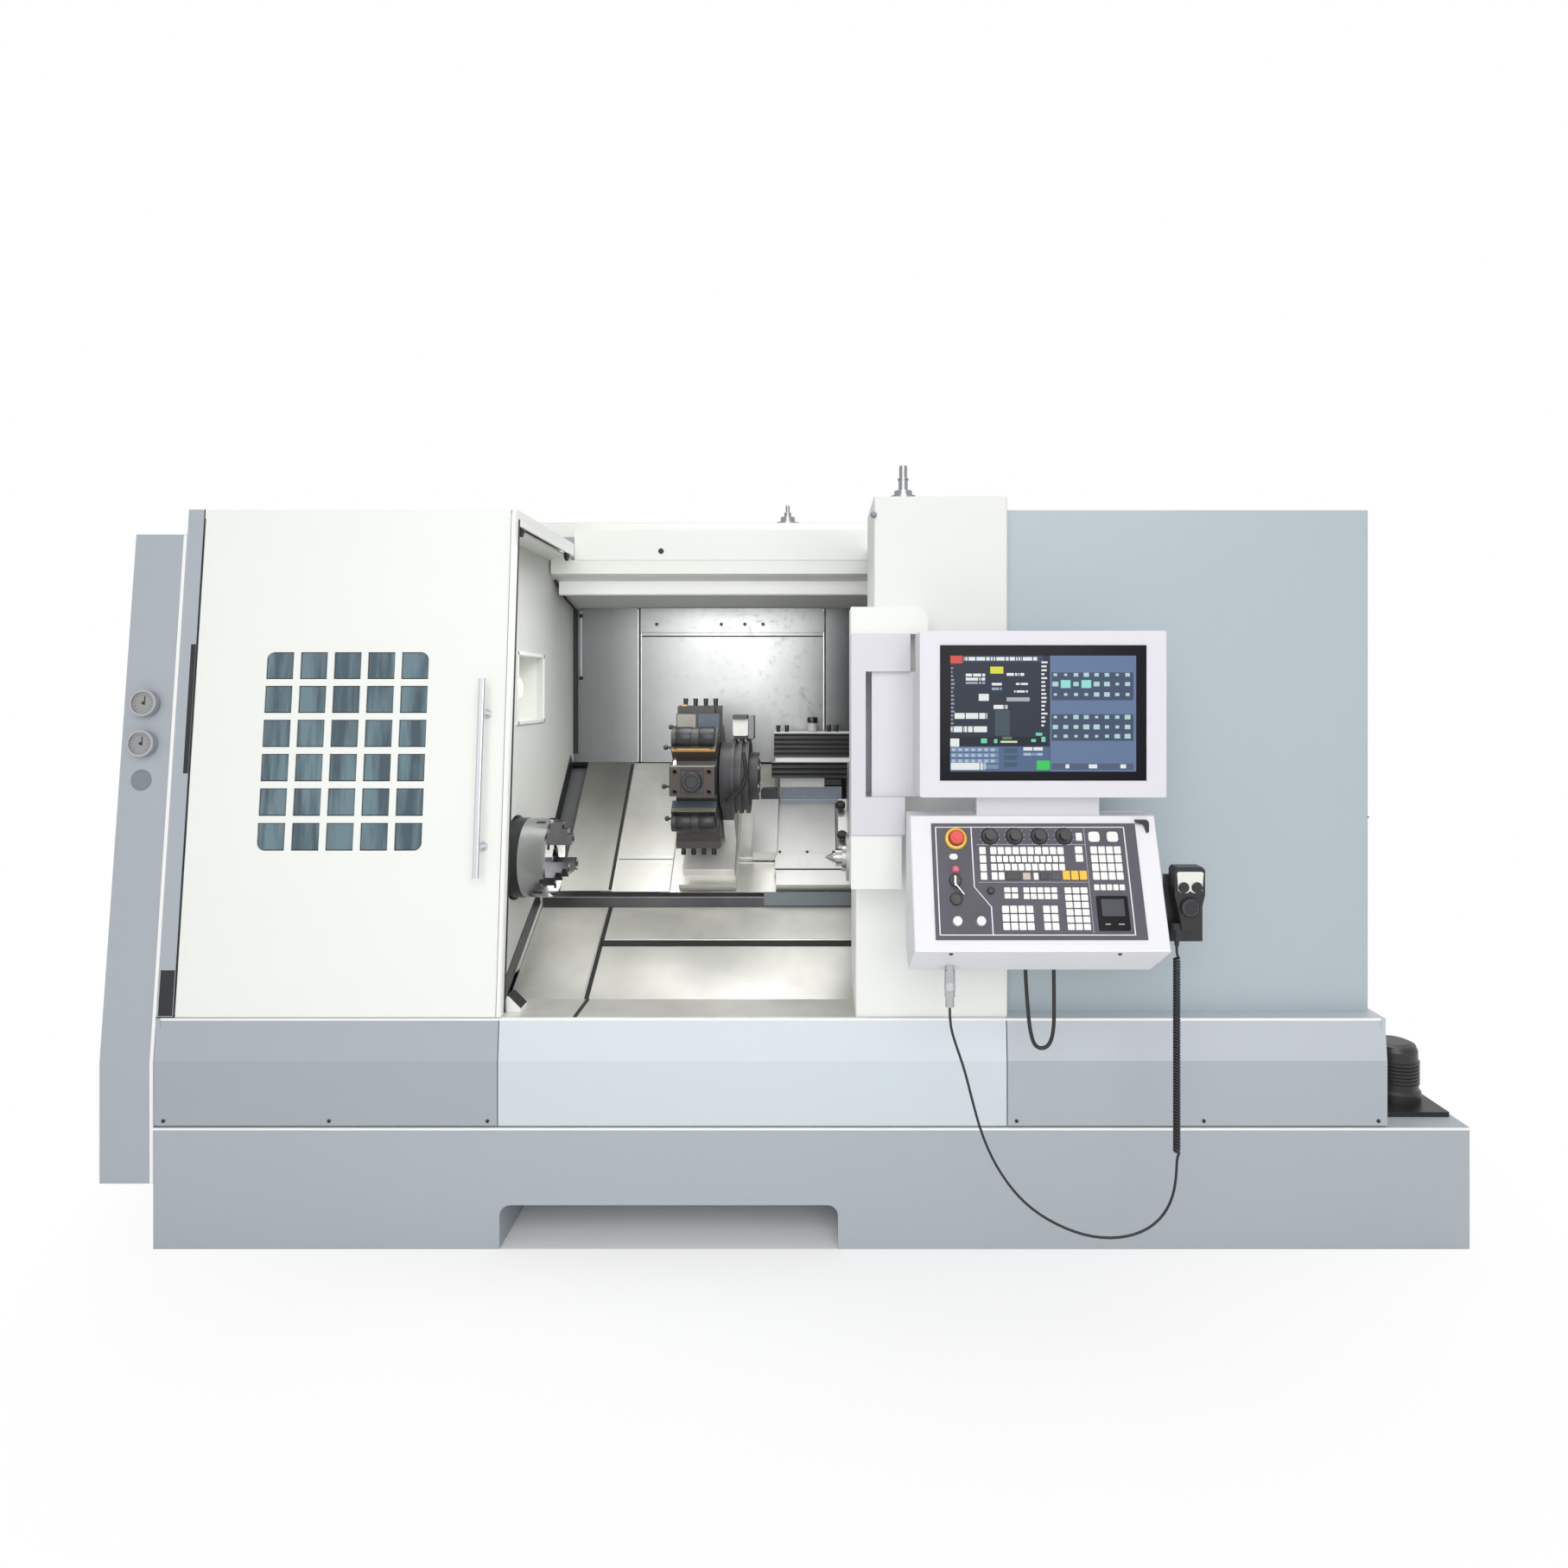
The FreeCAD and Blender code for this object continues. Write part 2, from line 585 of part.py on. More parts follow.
def rear_cover():
    """Roof and back of the machine in one formed cover, standing on the tank."""
    t = SHELL * 2
    x0 = -TANK_LENGTH / 2
    hood = prism([
        (REAR_LIP_DEPTH, HOUSING_TOP - t), (REAR_LIP_DEPTH, REAR_TOP), (BODY_BACK, REAR_TOP),
        (BODY_BACK, TANK_HEIGHT), (BODY_BACK - t / 2, TANK_HEIGHT), (BODY_BACK - t / 2, REAR_TOP - t),
        (REAR_LIP_DEPTH + t, REAR_TOP - t), (REAR_LIP_DEPTH + t, HOUSING_TOP - t),
    ], x0, COVER_RIGHT)
    ends = []
    for x in (x0, COVER_RIGHT - t):
        ends.append(prism([
            (REAR_LIP_DEPTH + t, LEDGE_Z + SEAT), (REAR_LIP_DEPTH + t, REAR_TOP - t),
            (BODY_BACK - t / 2, REAR_TOP - t), (BODY_BACK - t / 2, LEDGE_Z + SEAT),
        ], x, x + t))
    return joined([hood] + ends)


def right_column():
    """Upright box post that the door shuts against, stepped on its left above the arm."""
    d0, d1 = COLUMN_FRONT, COLUMN_FRONT + COLUMN_DEPTH
    low = block(COLUMN_LEFT, COLUMN_RIGHT, d0, d1, LEDGE_Z + SEAT, COLUMN_STEP_Z)
    high = block(COLUMN_LEFT + COLUMN_STEP, COLUMN_RIGHT, d0, d1, COLUMN_STEP_Z, COLUMN_TOP)
    post = joined([low, high])
    edges = [e for e in post.Edges if e.BoundBox.YMax < FRONT + d0 + 0.01 and e.Length > 200
             and e.BoundBox.ZLength > 200]
    post = post.makeFillet(6.0, edges)
    inner = block(COLUMN_LEFT + SHELL, COLUMN_RIGHT - SHELL, d0 + SHELL, d1 + 1,
                  LEDGE_Z - 1, COLUMN_STEP_Z - SHELL)
    upper = block(COLUMN_LEFT + COLUMN_STEP + SHELL, COLUMN_RIGHT - SHELL, d0 + SHELL, d1 + 1,
                  COLUMN_STEP_Z - SHELL, COLUMN_TOP - SHELL)
    return post.cut(inner.fuse(upper))


def right_cover():
    """Front, roof and right side of the tailstock end as one formed cover."""
    outer = block(COVER_LEFT, COVER_RIGHT, COVER_FRONT, REAR_LIP_DEPTH - SEAT, LEDGE_Z + SEAT, COVER_TOP)
    front = FRONT + COVER_FRONT + 0.01
    edges = [e for e in outer.Edges if e.BoundBox.YMax < front and e.BoundBox.XMin > COVER_LEFT + 1
             and e.BoundBox.ZLength > 200]
    outer = outer.makeFillet(COVER_EDGE, edges)
    inner = block(COVER_LEFT - 1, COVER_RIGHT - SHELL * 2, COVER_FRONT + SHELL * 2, REAR_LIP_DEPTH,
                  LEDGE_Z - 1, COVER_TOP - SHELL * 2)
    return outer.cut(inner)


# ---------------------------------------------------------------- bed
def bed_casting():
    """Cast bed: slanted box with two rail seats, a headstock pedestal and the screw's bearing blocks."""
    foot_d, foot_z = on_slope(-35, -BED_DROP)
    top_d, top_z = on_slope(SLOPE_LENGTH + 18, -BED_DROP)
    rear = BODY_BACK - SHELL * 2
    slant = prism([
        (foot_d - BED_FRONT_WALL, TANK_HEIGHT), (foot_d - BED_FRONT_WALL, foot_z - BED_FRONT_WALL),
        (foot_d, foot_z), (top_d, top_z), (top_d + BED_SHELF, top_z), (rear, top_z - BED_BACK_DROP),
        (rear, TANK_HEIGHT),
    ], BED_LEFT, BED_RIGHT)
    pedestal = block(PEDESTAL_LEFT, BED_LEFT, PEDESTAL_FRONT, rear, TANK_HEIGHT, PEDESTAL_TOP)
    bed = [slant, pedestal]
    top = SCREW_V + SCREW_R + 6
    for x in (SCREW_LEFT, SCREW_RIGHT):
        bed.append(slope_block(x, x + SCREW_BLOCK, SCREW_U - 34, SCREW_U + 34, -BED_DROP, top))
    shape = joined(bed)
    d, z = on_slope(SCREW_U, SCREW_V)
    return shape.cut(rod(SCREW_LEFT - 10, SCREW_RIGHT + SCREW_BLOCK + 10, d, z, SCREW_R + FIT))


def guide_rails():
    """Two profiled rails: waisted sides, bolted to the machined face."""
    rails = []
    half = RAIL_WIDTH / 2
    low = -BED_DROP
    high = low + RAIL_HEIGHT
    for u in (RAIL_LOW, RAIL_HIGH):
        ring = [(u - half, low), (u + half, low), (u + half, low + 12), (u + half - 4, low + 17),
                (u + half, low + 22), (u + half, high), (u - half, high), (u - half, low + 22),
                (u - half + 4, low + 17), (u - half, low + 12)]
        rails.append(prism([on_slope(a, b) for a, b in ring], BED_LEFT + 125, BED_RIGHT - 20))
    return Part.makeCompound(rails)


def z_screw():
    """Fixed ball screw of the long axis, held in its two blocks."""
    d, z = on_slope(SCREW_U, SCREW_V)
    return rod(SCREW_LEFT, SCREW_RIGHT + SCREW_BLOCK, d, z, SCREW_R)


def trucks(x0, x1):
    """Runner blocks over both rails."""
    blocks = []
    half = RAIL_WIDTH / 2
    top = -BED_DROP + RAIL_HEIGHT
    lid = -COVER_STEP * 2 - COVER_SHEET
    for u in (RAIL_LOW, RAIL_HIGH):
        for x in (x0, x1 - 70):
            body = slope_block(x, x + 70, u - half - TRUCK_WALL, u + half + TRUCK_WALL, -BED_DROP + 8, lid)
            slot = slope_block(x - 1, x + 71, u - half - SEAT, u + half + SEAT, -BED_DROP, top + SEAT)
            blocks.append(body.cut(slot))
    return blocks


def bed_cover_upper():
    """Fixed cover sheet beside the headstock, which the telescoping ones slide under."""
    return slope_block(FIXED_SHEET_LEFT, FIXED_SHEET_RIGHT, 0, SLOPE_LENGTH, -COVER_SHEET, 0)


def bed_cover_lower():
    """Front chute: skirt on the tank, 30 degree slope, dark channel and the edge that carries the covers."""
    t = SHELL
    rise = math.tan(math.radians(APRON_SLOPE))
    d1 = SLOPE_DEPTH - SHELL
    z1 = SLOPE_Z - CHANNEL
    z0 = z1 - (d1 - LOWER_DEPTH) * rise
    edge = SLOPE_Z - COVER_STEP * 4
    return prism([
        (LOWER_DEPTH, TANK_HEIGHT), (LOWER_DEPTH, z0), (d1 - t, z1 - t * rise), (d1 - t, edge),
        (d1, edge), (d1, z1 - t * 2), (LOWER_DEPTH + t, z0 - t * 2), (LOWER_DEPTH + t, TANK_HEIGHT),
    ], WALL_X + SEAT, BED_RIGHT)


# ---------------------------------------------------------------- headstock and spindle
def headstock():
    """Cast box round the spindle, standing on the pedestal."""
    right = WALL_X - WALL - HEAD_GAP
    d = AXIS_DEPTH
    z = AXIS_Z
    body = prism([
        (d - HEAD_FRONT, PEDESTAL_TOP), (d - HEAD_FRONT, z + HEAD_TOP - HEAD_CHAMFER * 0.75),
        (d - HEAD_FRONT + HEAD_CHAMFER, z + HEAD_TOP), (d + HEAD_FLAT, z + HEAD_TOP),
        (d + HEAD_BACK, z + HEAD_TOP - (HEAD_BACK - HEAD_FLAT) * 0.94), (d + HEAD_BACK, PEDESTAL_TOP),
    ], HEAD_LEFT, right)
    return body.cut(rod(HEAD_LEFT - 1, right + 1, d, z, SPINDLE_R + FIT))


def spindle():
    """Hollow spindle with its nose flange and the chuck's rotating cylinder at the rear."""
    nose = CHUCK_FACE - CHUCK_LENGTH - ADAPTER
    head = WALL_X - WALL - HEAD_GAP
    rear = HEAD_LEFT - SEAT
    return turned([
        (rear - CYLINDER_LENGTH, BORE_R), (rear - CYLINDER_LENGTH, CYLINDER_R - 12),
        (rear - CYLINDER_LENGTH + 12, CYLINDER_R), (rear, CYLINDER_R), (rear, SPINDLE_R),
        (head + SEAT, SPINDLE_R), (head + SEAT, FLANGE_R), (nose, FLANGE_R), (nose, BORE_R),
    ], AXIS_DEPTH, AXIS_Z)


def chuck_body():
    """Three-jaw power chuck on its adapter plate, with radial jaw ways in the face."""
    x0 = CHUCK_FACE - CHUCK_LENGTH - ADAPTER
    x1 = CHUCK_FACE - CHUCK_LENGTH
    body = turned([
        (x0, BORE_R), (x0, CHUCK_R - 3), (x0 + 3, CHUCK_R), (x1 - 3, CHUCK_R), (x1 - 3, CHUCK_R - 4),
        (x1, CHUCK_R - 4), (x1, CHUCK_R), (CHUCK_FACE - 6, CHUCK_R), (CHUCK_FACE, CHUCK_R - 6),
        (CHUCK_FACE, BORE_MOUTH_R), (CHUCK_FACE - BORE_MOUTH, BORE_MOUTH_R),
        (CHUCK_FACE - BORE_MOUTH, BORE_R),
    ], AXIS_DEPTH, AXIS_Z)
    half = JAW_WIDTH / 2 + JAW_SIDE
    for k in range(3):
        way = Part.makeBox(JAW_ROOT + 1, half * 2, CHUCK_R, V(CHUCK_FACE - JAW_ROOT, -half, JAW_IN - 12))
        way.rotate(V(0, 0, 0), V(1, 0, 0), 120.0 * k)
        way.translate(V(0, AXIS_Y, AXIS_Z))
        body = body.cut(way)
    return body


def jaw(k):
    """Stepped jaw in the chuck's way."""
    half = JAW_WIDTH / 2
    x0 = CHUCK_FACE - JAW_ROOT + JAW_SIDE
    x1 = CHUCK_FACE + JAW_REACH
    mid = (JAW_IN + JAW_OUT) / 2
    ring = [
        (x0, JAW_IN), (x0, JAW_OUT), (CHUCK_FACE + JAW_REACH * 0.45, JAW_OUT),
        (CHUCK_FACE + JAW_REACH * 0.45, mid + 14), (CHUCK_FACE + JAW_REACH * 0.75, mid + 14),
        (CHUCK_FACE + JAW_REACH * 0.75, mid - 4), (x1, mid - 4), (x1, JAW_IN + 3), (x1 - 3, JAW_IN),
    ]
    points = [V(x, -half, r) for x, r in ring]
    solid = Part.Face(Part.makePolygon(points + points[:1])).extrude(V(0, JAW_WIDTH, 0))
    solid.rotate(V(0, 0, 0), V(1, 0, 0), 120.0 * k)
    solid.translate(V(0, AXIS_Y, AXIS_Z))
    return solid


# ---------------------------------------------------------------- saddle and turret
def saddle():
    """Slanted saddle: runner blocks, nut and neck under the sheet, way plate above it."""
    t = COVER_SHEET
    v1 = -COVER_STEP * 2
    left = FIXED_SHEET_RIGHT - SHEET_LAP + MIDDLE_SHEET - SHEET_LAP
    sheet = slope_block(left, SADDLE_SHEET_RIGHT, 0, SLOPE_LENGTH, v1 - t, v1)
    plate = slope_block(SADDLE_LEFT, SADDLE_RIGHT, 0, SLOPE_LENGTH - 30, SEAT * 2, SADDLE_PLATE)
    neck = slope_block(SADDLE_NECK, SADDLE_RIGHT, 10, SLOPE_LENGTH - 40, v1 - t, SEAT * 2)
    nut = slope_block(SADDLE_NECK, SADDLE_RIGHT, SCREW_U - 32, SCREW_U + 32, SCREW_V - SCREW_R - 4, v1 - t)
    parts = [plate, neck, sheet, nut] + trucks(SADDLE_NECK, SADDLE_RIGHT)
    d, z = on_slope(SCREW_U, SCREW_V)
    body = joined(parts).cut(rod(left, SADDLE_RIGHT + 1, d, z, SCREW_R + FIT))
    return body


def way_cover_middle():
    """Middle sheet of the telescoping way cover, half as fast as the saddle."""
    v1 = -COVER_STEP
    left = FIXED_SHEET_RIGHT - SHEET_LAP
    return slope_block(left, left + MIDDLE_SHEET, 0, SLOPE_LENGTH, v1 - COVER_SHEET, v1)


def turret_housing():
    """Cross slide with the turret's indexing case: ribbed round case on an upright cheek."""
    v0 = SADDLE_PLATE + SEAT
    plate = slope_block(SADDLE_LEFT + 14, SADDLE_RIGHT - 5, CROSS_FROM, CROSS_TO, v0, v0 + CROSS_PLATE)
    d, z = on_slope(TURRET_U, TURRET_V)
    cheek = slope_block(HOUSE_LEFT, SADDLE_RIGHT - 5, TURRET_U - CHEEK_BREADTH / 2,
                        TURRET_U + CHEEK_BREADTH / 2, v0 + CROSS_PLATE, TURRET_V)
    case = rod(HOUSE_LEFT, HOUSE_RIGHT - HOUSE_CAP, d, z, HOUSE_R)
    first = HOUSE_RIGHT - HOUSE_CAP - 2 * RIB_PITCH - RIB_WIDTH
    ribs = []
    for k in range(3):
        x = first + k * RIB_PITCH
        ribs.append(rod(x, x + RIB_WIDTH, d, z, HOUSE_R + RIB_WIDTH))
    cap = rod(HOUSE_RIGHT - HOUSE_CAP, HOUSE_RIGHT, d, z, HOUSE_R * 0.7)
    body = joined([plate, cheek, case, cap] + ribs)
    return body.cut(rod(HOUSE_LEFT - 1, HOUSE_LEFT + 60, d, z, TURRET_SHAFT_R + FIT))


def holder_block(height):
    """Plain block of a tool holder on the top flat of the drum, in the drum's own frame."""
    right = DRUM_LEFT + DRUM_LENGTH
    half = HOLDER_BREADTH / 2
    return Part.makeBox(right - TOOL_LEFT, HOLDER_BREADTH, height, V(TOOL_LEFT, -half, DRUM_R - TOOL_SUNK))


def turning_holder():
    """Flanged block with the square tool under its clamping bar."""
    top = TOOL_REACH - SHANK
    block_height = top - DRUM_R + TOOL_SUNK
    width = DRUM_LEFT + DRUM_LENGTH - TOOL_LEFT
    flange = Part.makeBox(width, HOLDER_BREADTH * 0.5, SHANK, V(TOOL_LEFT, 4, top))
    tool = Part.makeBox(width * 0.86, SHANK, SHANK - 2, V(TOOL_LEFT, 4 - SHANK, top))
    return holder_block(block_height).fuse([flange, tool])


def boring_holder():
    """Block with a split barrel for a boring bar, parallel to the spindle."""
    axis = DRUM_R + HOLDER_BLOCK - SHANK / 2
    width = DRUM_LEFT + DRUM_LENGTH - TOOL_LEFT
    barrel = Part.makeCylinder(BORING_R, width - 10, V(TOOL_LEFT, 0, axis), V(1, 0, 0))
    bore = Part.makeCylinder(BORING_BORE_R, BORING_BORE, V(TOOL_LEFT - 1, 0, axis), V(1, 0, 0))
    return holder_block(HOLDER_BLOCK - SHANK / 2).fuse(barrel).cut(bore)


def socket_holder():
    """Block with a radial socket and its collar."""
    middle = (TOOL_LEFT + DRUM_LEFT + DRUM_LENGTH) / 2
    face = DRUM_R - TOOL_SUNK + HOLDER_BLOCK
    collar = Part.makeCylinder(SOCKET_R, 15, V(middle, 0, face - 1))
    bore = Part.makeCylinder(SOCKET_BORE_R, 31, V(middle, 0, face - 15))
    return holder_block(HOLDER_BLOCK).fuse(collar).cut(bore)


def turret_disc():
    """Eight-station drum with its shaft, and its turning, boring and radial holders in turn."""
    right = DRUM_LEFT + DRUM_LENGTH
    corner = DRUM_R / math.cos(math.pi / STATIONS)
    d, z = on_slope(TURRET_U, TURRET_V)
    ring = []
    for k in range(STATIONS):
        a = 2 * math.pi * (k + 0.5) / STATIONS
        ring.append((d + corner * math.cos(a), z + corner * math.sin(a)))
    drum = prism(ring, DRUM_LEFT, right)
    hub = rod(DRUM_LEFT - 12, DRUM_LEFT, d, z, DRUM_R * 0.5)
    shaft = rod(right, HOUSE_LEFT + 55, d, z, TURRET_SHAFT_R)
    order = [turning_holder, boring_holder, socket_holder, boring_holder]
    holders = []
    for k in range(STATIONS):
        holder = order[k % len(order)]()
        holder.rotate(V(0, 0, 0), V(1, 0, 0), 360.0 * k / STATIONS)
        holder.translate(V(0, FRONT + d, z))
        holders.append(holder)
    return joined([drum, hub, shaft] + holders)


# ---------------------------------------------------------------- tailstock
def tailstock_body():
    """Tailstock: foot on both rails, quill barrel, upper bars and the stepped covers on the slope."""
    u_axis = ((AXIS_DEPTH - SLOPE_DEPTH) + (AXIS_Z - SLOPE_Z)) / math.sqrt(2)
    v_axis = ((SLOPE_DEPTH - AXIS_DEPTH) + (AXIS_Z - SLOPE_Z)) / math.sqrt(2)
    lid = -COVER_STEP * 2 - COVER_SHEET
    neck = prism([on_slope(a, b) for a, b in [
        (20, lid), (RAIL_HIGH + 60, lid), (RAIL_HIGH + 60, 110), (u_axis + 150, v_axis + 75),
        (u_axis, v_axis + 75), (u_axis - 75, v_axis), (u_axis - 60, v_axis - 60), (20, 60),
    ]], TAIL_LEFT + 20, TAIL_RIGHT)
    barrel = rod(TAIL_LEFT, TAIL_RIGHT + 20, AXIS_DEPTH, AXIS_Z, QUILL_R + BARREL_WALL)
    inner = TAIL_COVER_LEFT + TAIL_CHEEK
    low = slope_block(inner, TAIL_COVER_RIGHT, -4, 60, 2, 44)
    step = slope_block(TAIL_COVER_LEFT + TAIL_STEP_LEFT, TAIL_COVER_RIGHT, 60, 140, 2, 30)
    cheek = slope_block(TAIL_COVER_LEFT, inner, 130, 380, 2, 46)
    cover = slope_block(inner, TAIL_COVER_RIGHT, 140, 380, 2, 20)
    back = WALL_DEPTH - BAR_BACK_GAP
    front = back - BAR_DEPTH
    riser_d = front + 15
    plates = prism([
        (riser_d, RISER_TOP - RISER), (riser_d, RISER_TOP), (riser_d + RISER, RISER_TOP),
    ], RISER_LEFT, TAIL_LEFT)
    white = block(RISER_LEFT, BACK_MAIN_RIGHT - 2, riser_d, riser_d + RISER - 1, RISER_TOP, BAR_LOW[0])
    bar_low = block(BAR_LOW_LEFT, BAR_RIGHT, front - 5, back - 5, *BAR_LOW)
    ledge = block(BAR_HIGH_LEFT + 5, BAR_RIGHT, front - 15, back, BAR_LOW[1], LEDGE_TOP)
    bar_high = block(BAR_HIGH_LEFT, BAR_RIGHT, front, back - 5, LEDGE_TOP, BAR_HIGH_TOP)
    body = joined([neck, barrel, low, step, cheek, cover, plates, white, bar_low, ledge, bar_high]
                  + trucks(TAIL_LEFT + 20, TAIL_RIGHT))
    return body.cut(rod(TAIL_LEFT - 1, TAIL_RIGHT + 21, AXIS_DEPTH, AXIS_Z, QUILL_R + FIT))


def quill():
    """Sliding sleeve, bored for the live centre's shank."""
    x0 = TAIL_LEFT - QUILL_OUT
    body = rod(x0, x0 + QUILL_LENGTH, AXIS_DEPTH, AXIS_Z, QUILL_R)
    return body.cut(rod(x0 - 1, x0 + CENTRE_SHANK + 1, AXIS_DEPTH, AXIS_Z, CENTRE_SHANK_R + FIT))


def live_centre():
    """Rotating 60 degree centre."""
    x0 = TAIL_LEFT - QUILL_OUT - SEAT
    tip = x0 - CENTRE_TIP
    cone = CENTRE_R * math.sqrt(3) * 0.6
    return turned([
        (tip, 0), (tip + cone, CENTRE_R * 0.6), (x0 - 20, CENTRE_R * 0.6), (x0 - 20, CENTRE_R),
        (x0, CENTRE_R), (x0, CENTRE_SHANK_R), (x0 + CENTRE_SHANK, CENTRE_SHANK_R), (x0 + CENTRE_SHANK, 0),
    ], AXIS_DEPTH, AXIS_Z)


# ---------------------------------------------------------------- door
def door_plane(z, back=0.0):
    """Point of the leaning door at a height, set back square to its face."""
    return lean(z) + back / math.cos(math.radians(LEAN))


def sliding_door():
    """Leaning front and flat roof in one folded sheet, with the grid of window cells cut through."""
    t = DOOR_SKIN
    skin = door_plane(DOOR_BOTTOM, t)
    points = [
        (lean(DOOR_BOTTOM), DOOR_BOTTOM), (lean(DOOR_TOP - 12), DOOR_TOP - 12),
        (lean(DOOR_TOP) + 11, DOOR_TOP),
        (DOOR_BACK, DOOR_TOP), (DOOR_BACK, DOOR_TOP - t), (door_plane(DOOR_TOP - t, t), DOOR_TOP - t),
        (skin, DOOR_BOTTOM),
    ]
    door = prism(points, DOOR_LEFT, DOOR_RIGHT)
    flange = prism([
        (door_plane(DOOR_BOTTOM, t - SHELL), DOOR_BOTTOM),
        (door_plane(DOOR_TOP - t, t - SHELL), DOOR_TOP - t),
        (door_plane(DOOR_TOP - t, t), DOOR_TOP - t), (skin, DOOR_BOTTOM),
    ], DOOR_LEFT - DOOR_FLANGE, DOOR_LEFT)
    edge = prism([
        (door_plane(DOOR_BOTTOM, t), DOOR_BOTTOM), (door_plane(DOOR_TOP - t, t), DOOR_TOP - t),
        (door_plane(DOOR_TOP - t, t + 8), DOOR_TOP - t), (door_plane(DOOR_BOTTOM, t + 8), DOOR_BOTTOM),
    ], DOOR_RIGHT - 30, DOOR_RIGHT)
    door = joined([door, flange, edge])
    cells = []
    half = WINDOW_CELL / 2
    for row in range(WINDOW_ROWS):
        for column in range(WINDOW_COLUMNS):
            x = WINDOW_X + (column - (WINDOW_COLUMNS - 1) / 2) * WINDOW_PITCH
            z = WINDOW_Z + (row - (WINDOW_ROWS - 1) / 2) * WINDOW_PITCH
            cell = block(x - half, x + half, -20, 300, z - half, z + half)
            if column in (0, WINDOW_COLUMNS - 1) and row in (0, WINDOW_ROWS - 1):
                side = x + (-half if column == 0 else half)
                level = z + (-half if row == 0 else half)
                edges = [e for e in cell.Edges if e.BoundBox.YLength > 300
                         and math.hypot(e.BoundBox.Center.x - side, e.BoundBox.Center.z - level) < 1]
                cell = cell.makeFillet(WINDOW_CORNER, edges)
            cells.append(cell)
    return door.cut(Part.makeCompound(cells))


def window_glass():
    """Pane behind the grid, held 0.3 mm off the door's inner face."""
    z0 = WINDOW_Z - WINDOW_ROWS * WINDOW_PITCH / 2
    z1 = WINDOW_Z + WINDOW_ROWS * WINDOW_PITCH / 2
    half = WINDOW_COLUMNS * WINDOW_PITCH / 2
    near = DOOR_SKIN + SEAT
    far = near + GLASS
    return prism([
        (door_plane(z0, near), z0), (door_plane(z1, near), z1),
        (door_plane(z1, far), z1), (door_plane(z0, far), z0),
    ], WINDOW_X - half, WINDOW_X + half)


def door_handle():
    """Flat bar on two posts, parallel to the leaning door."""
    half = HANDLE_WIDTH / 2
    z0 = HANDLE_BOTTOM
    z1 = HANDLE_BOTTOM + HANDLE_LENGTH
    near = -HANDLE_OFF
    far = near - 11.0
    bar = prism([
        (door_plane(z0, far), z0), (door_plane(z1, far), z1),
        (door_plane(z1, near), z1), (door_plane(z0, near), z0),
    ], HANDLE_X - half, HANDLE_X + half)
    bar = bar.makeFillet(4.0, [e for e in bar.Edges if e.Length > HANDLE_LENGTH - 1])
    posts = []
    out = V(0, -math.cos(math.radians(LEAN)), math.sin(math.radians(LEAN)))
    for z in (z0 + HANDLE_POST_INSET, z1 - HANDLE_POST_INSET - 24):
        seat = V(HANDLE_X, FRONT + lean(z), z)
        posts.append(Part.makeCylinder(7.0, HANDLE_OFF + 4, seat, out))
        posts.append(Part.makeCylinder(14.0, 6.0, seat, out))
    return joined([bar] + posts)


# ---------------------------------------------------------------- control panel
def arm_bracket():
    """C bracket on the column: hood, two arms with the pivot pin, stem and the box below."""
    f = BRACKET_FRONT
    b = COLUMN_FRONT - SEAT
    top = block(BRACKET_LEFT, BRACKET_RIGHT, f, b, BRACKET_TOP - BRACKET_ARM, BRACKET_TOP)
    low = block(BRACKET_LEFT, BRACKET_RIGHT - 14, f, b, BRACKET_BOTTOM, BRACKET_BOTTOM + BRACKET_ARM)
    stem = block(BRACKET_LEFT, BRACKET_LEFT + BRACKET_STEM, f, b, BRACKET_BOTTOM, BRACKET_TOP)
    hood = block(BRACKET_LEFT, BRACKET_RIGHT + 48, f + 14, b, BRACKET_TOP, BRACKET_TOP + HOOD_HEIGHT)
    edges = [e for e in hood.Edges if e.BoundBox.XMin > BRACKET_RIGHT + 40
             and e.BoundBox.ZMin > BRACKET_TOP + HOOD_HEIGHT - 12 and e.BoundBox.YLength > 50]
    hood = hood.makeFillet(34.0, edges)
    box = block(BRACKET_LEFT, BRACKET_RIGHT - 22, f + 10, b, BRACKET_BOTTOM - 145, BRACKET_BOTTOM)
    z0 = BRACKET_BOTTOM + BRACKET_ARM
    z1 = BRACKET_TOP - BRACKET_ARM
    pin = Part.makeCylinder(PIN_R, z1 - z0, V(PIVOT_X, FRONT + PIVOT_DEPTH, z0))
    return joined([stem, top, low, hood, box, pin])


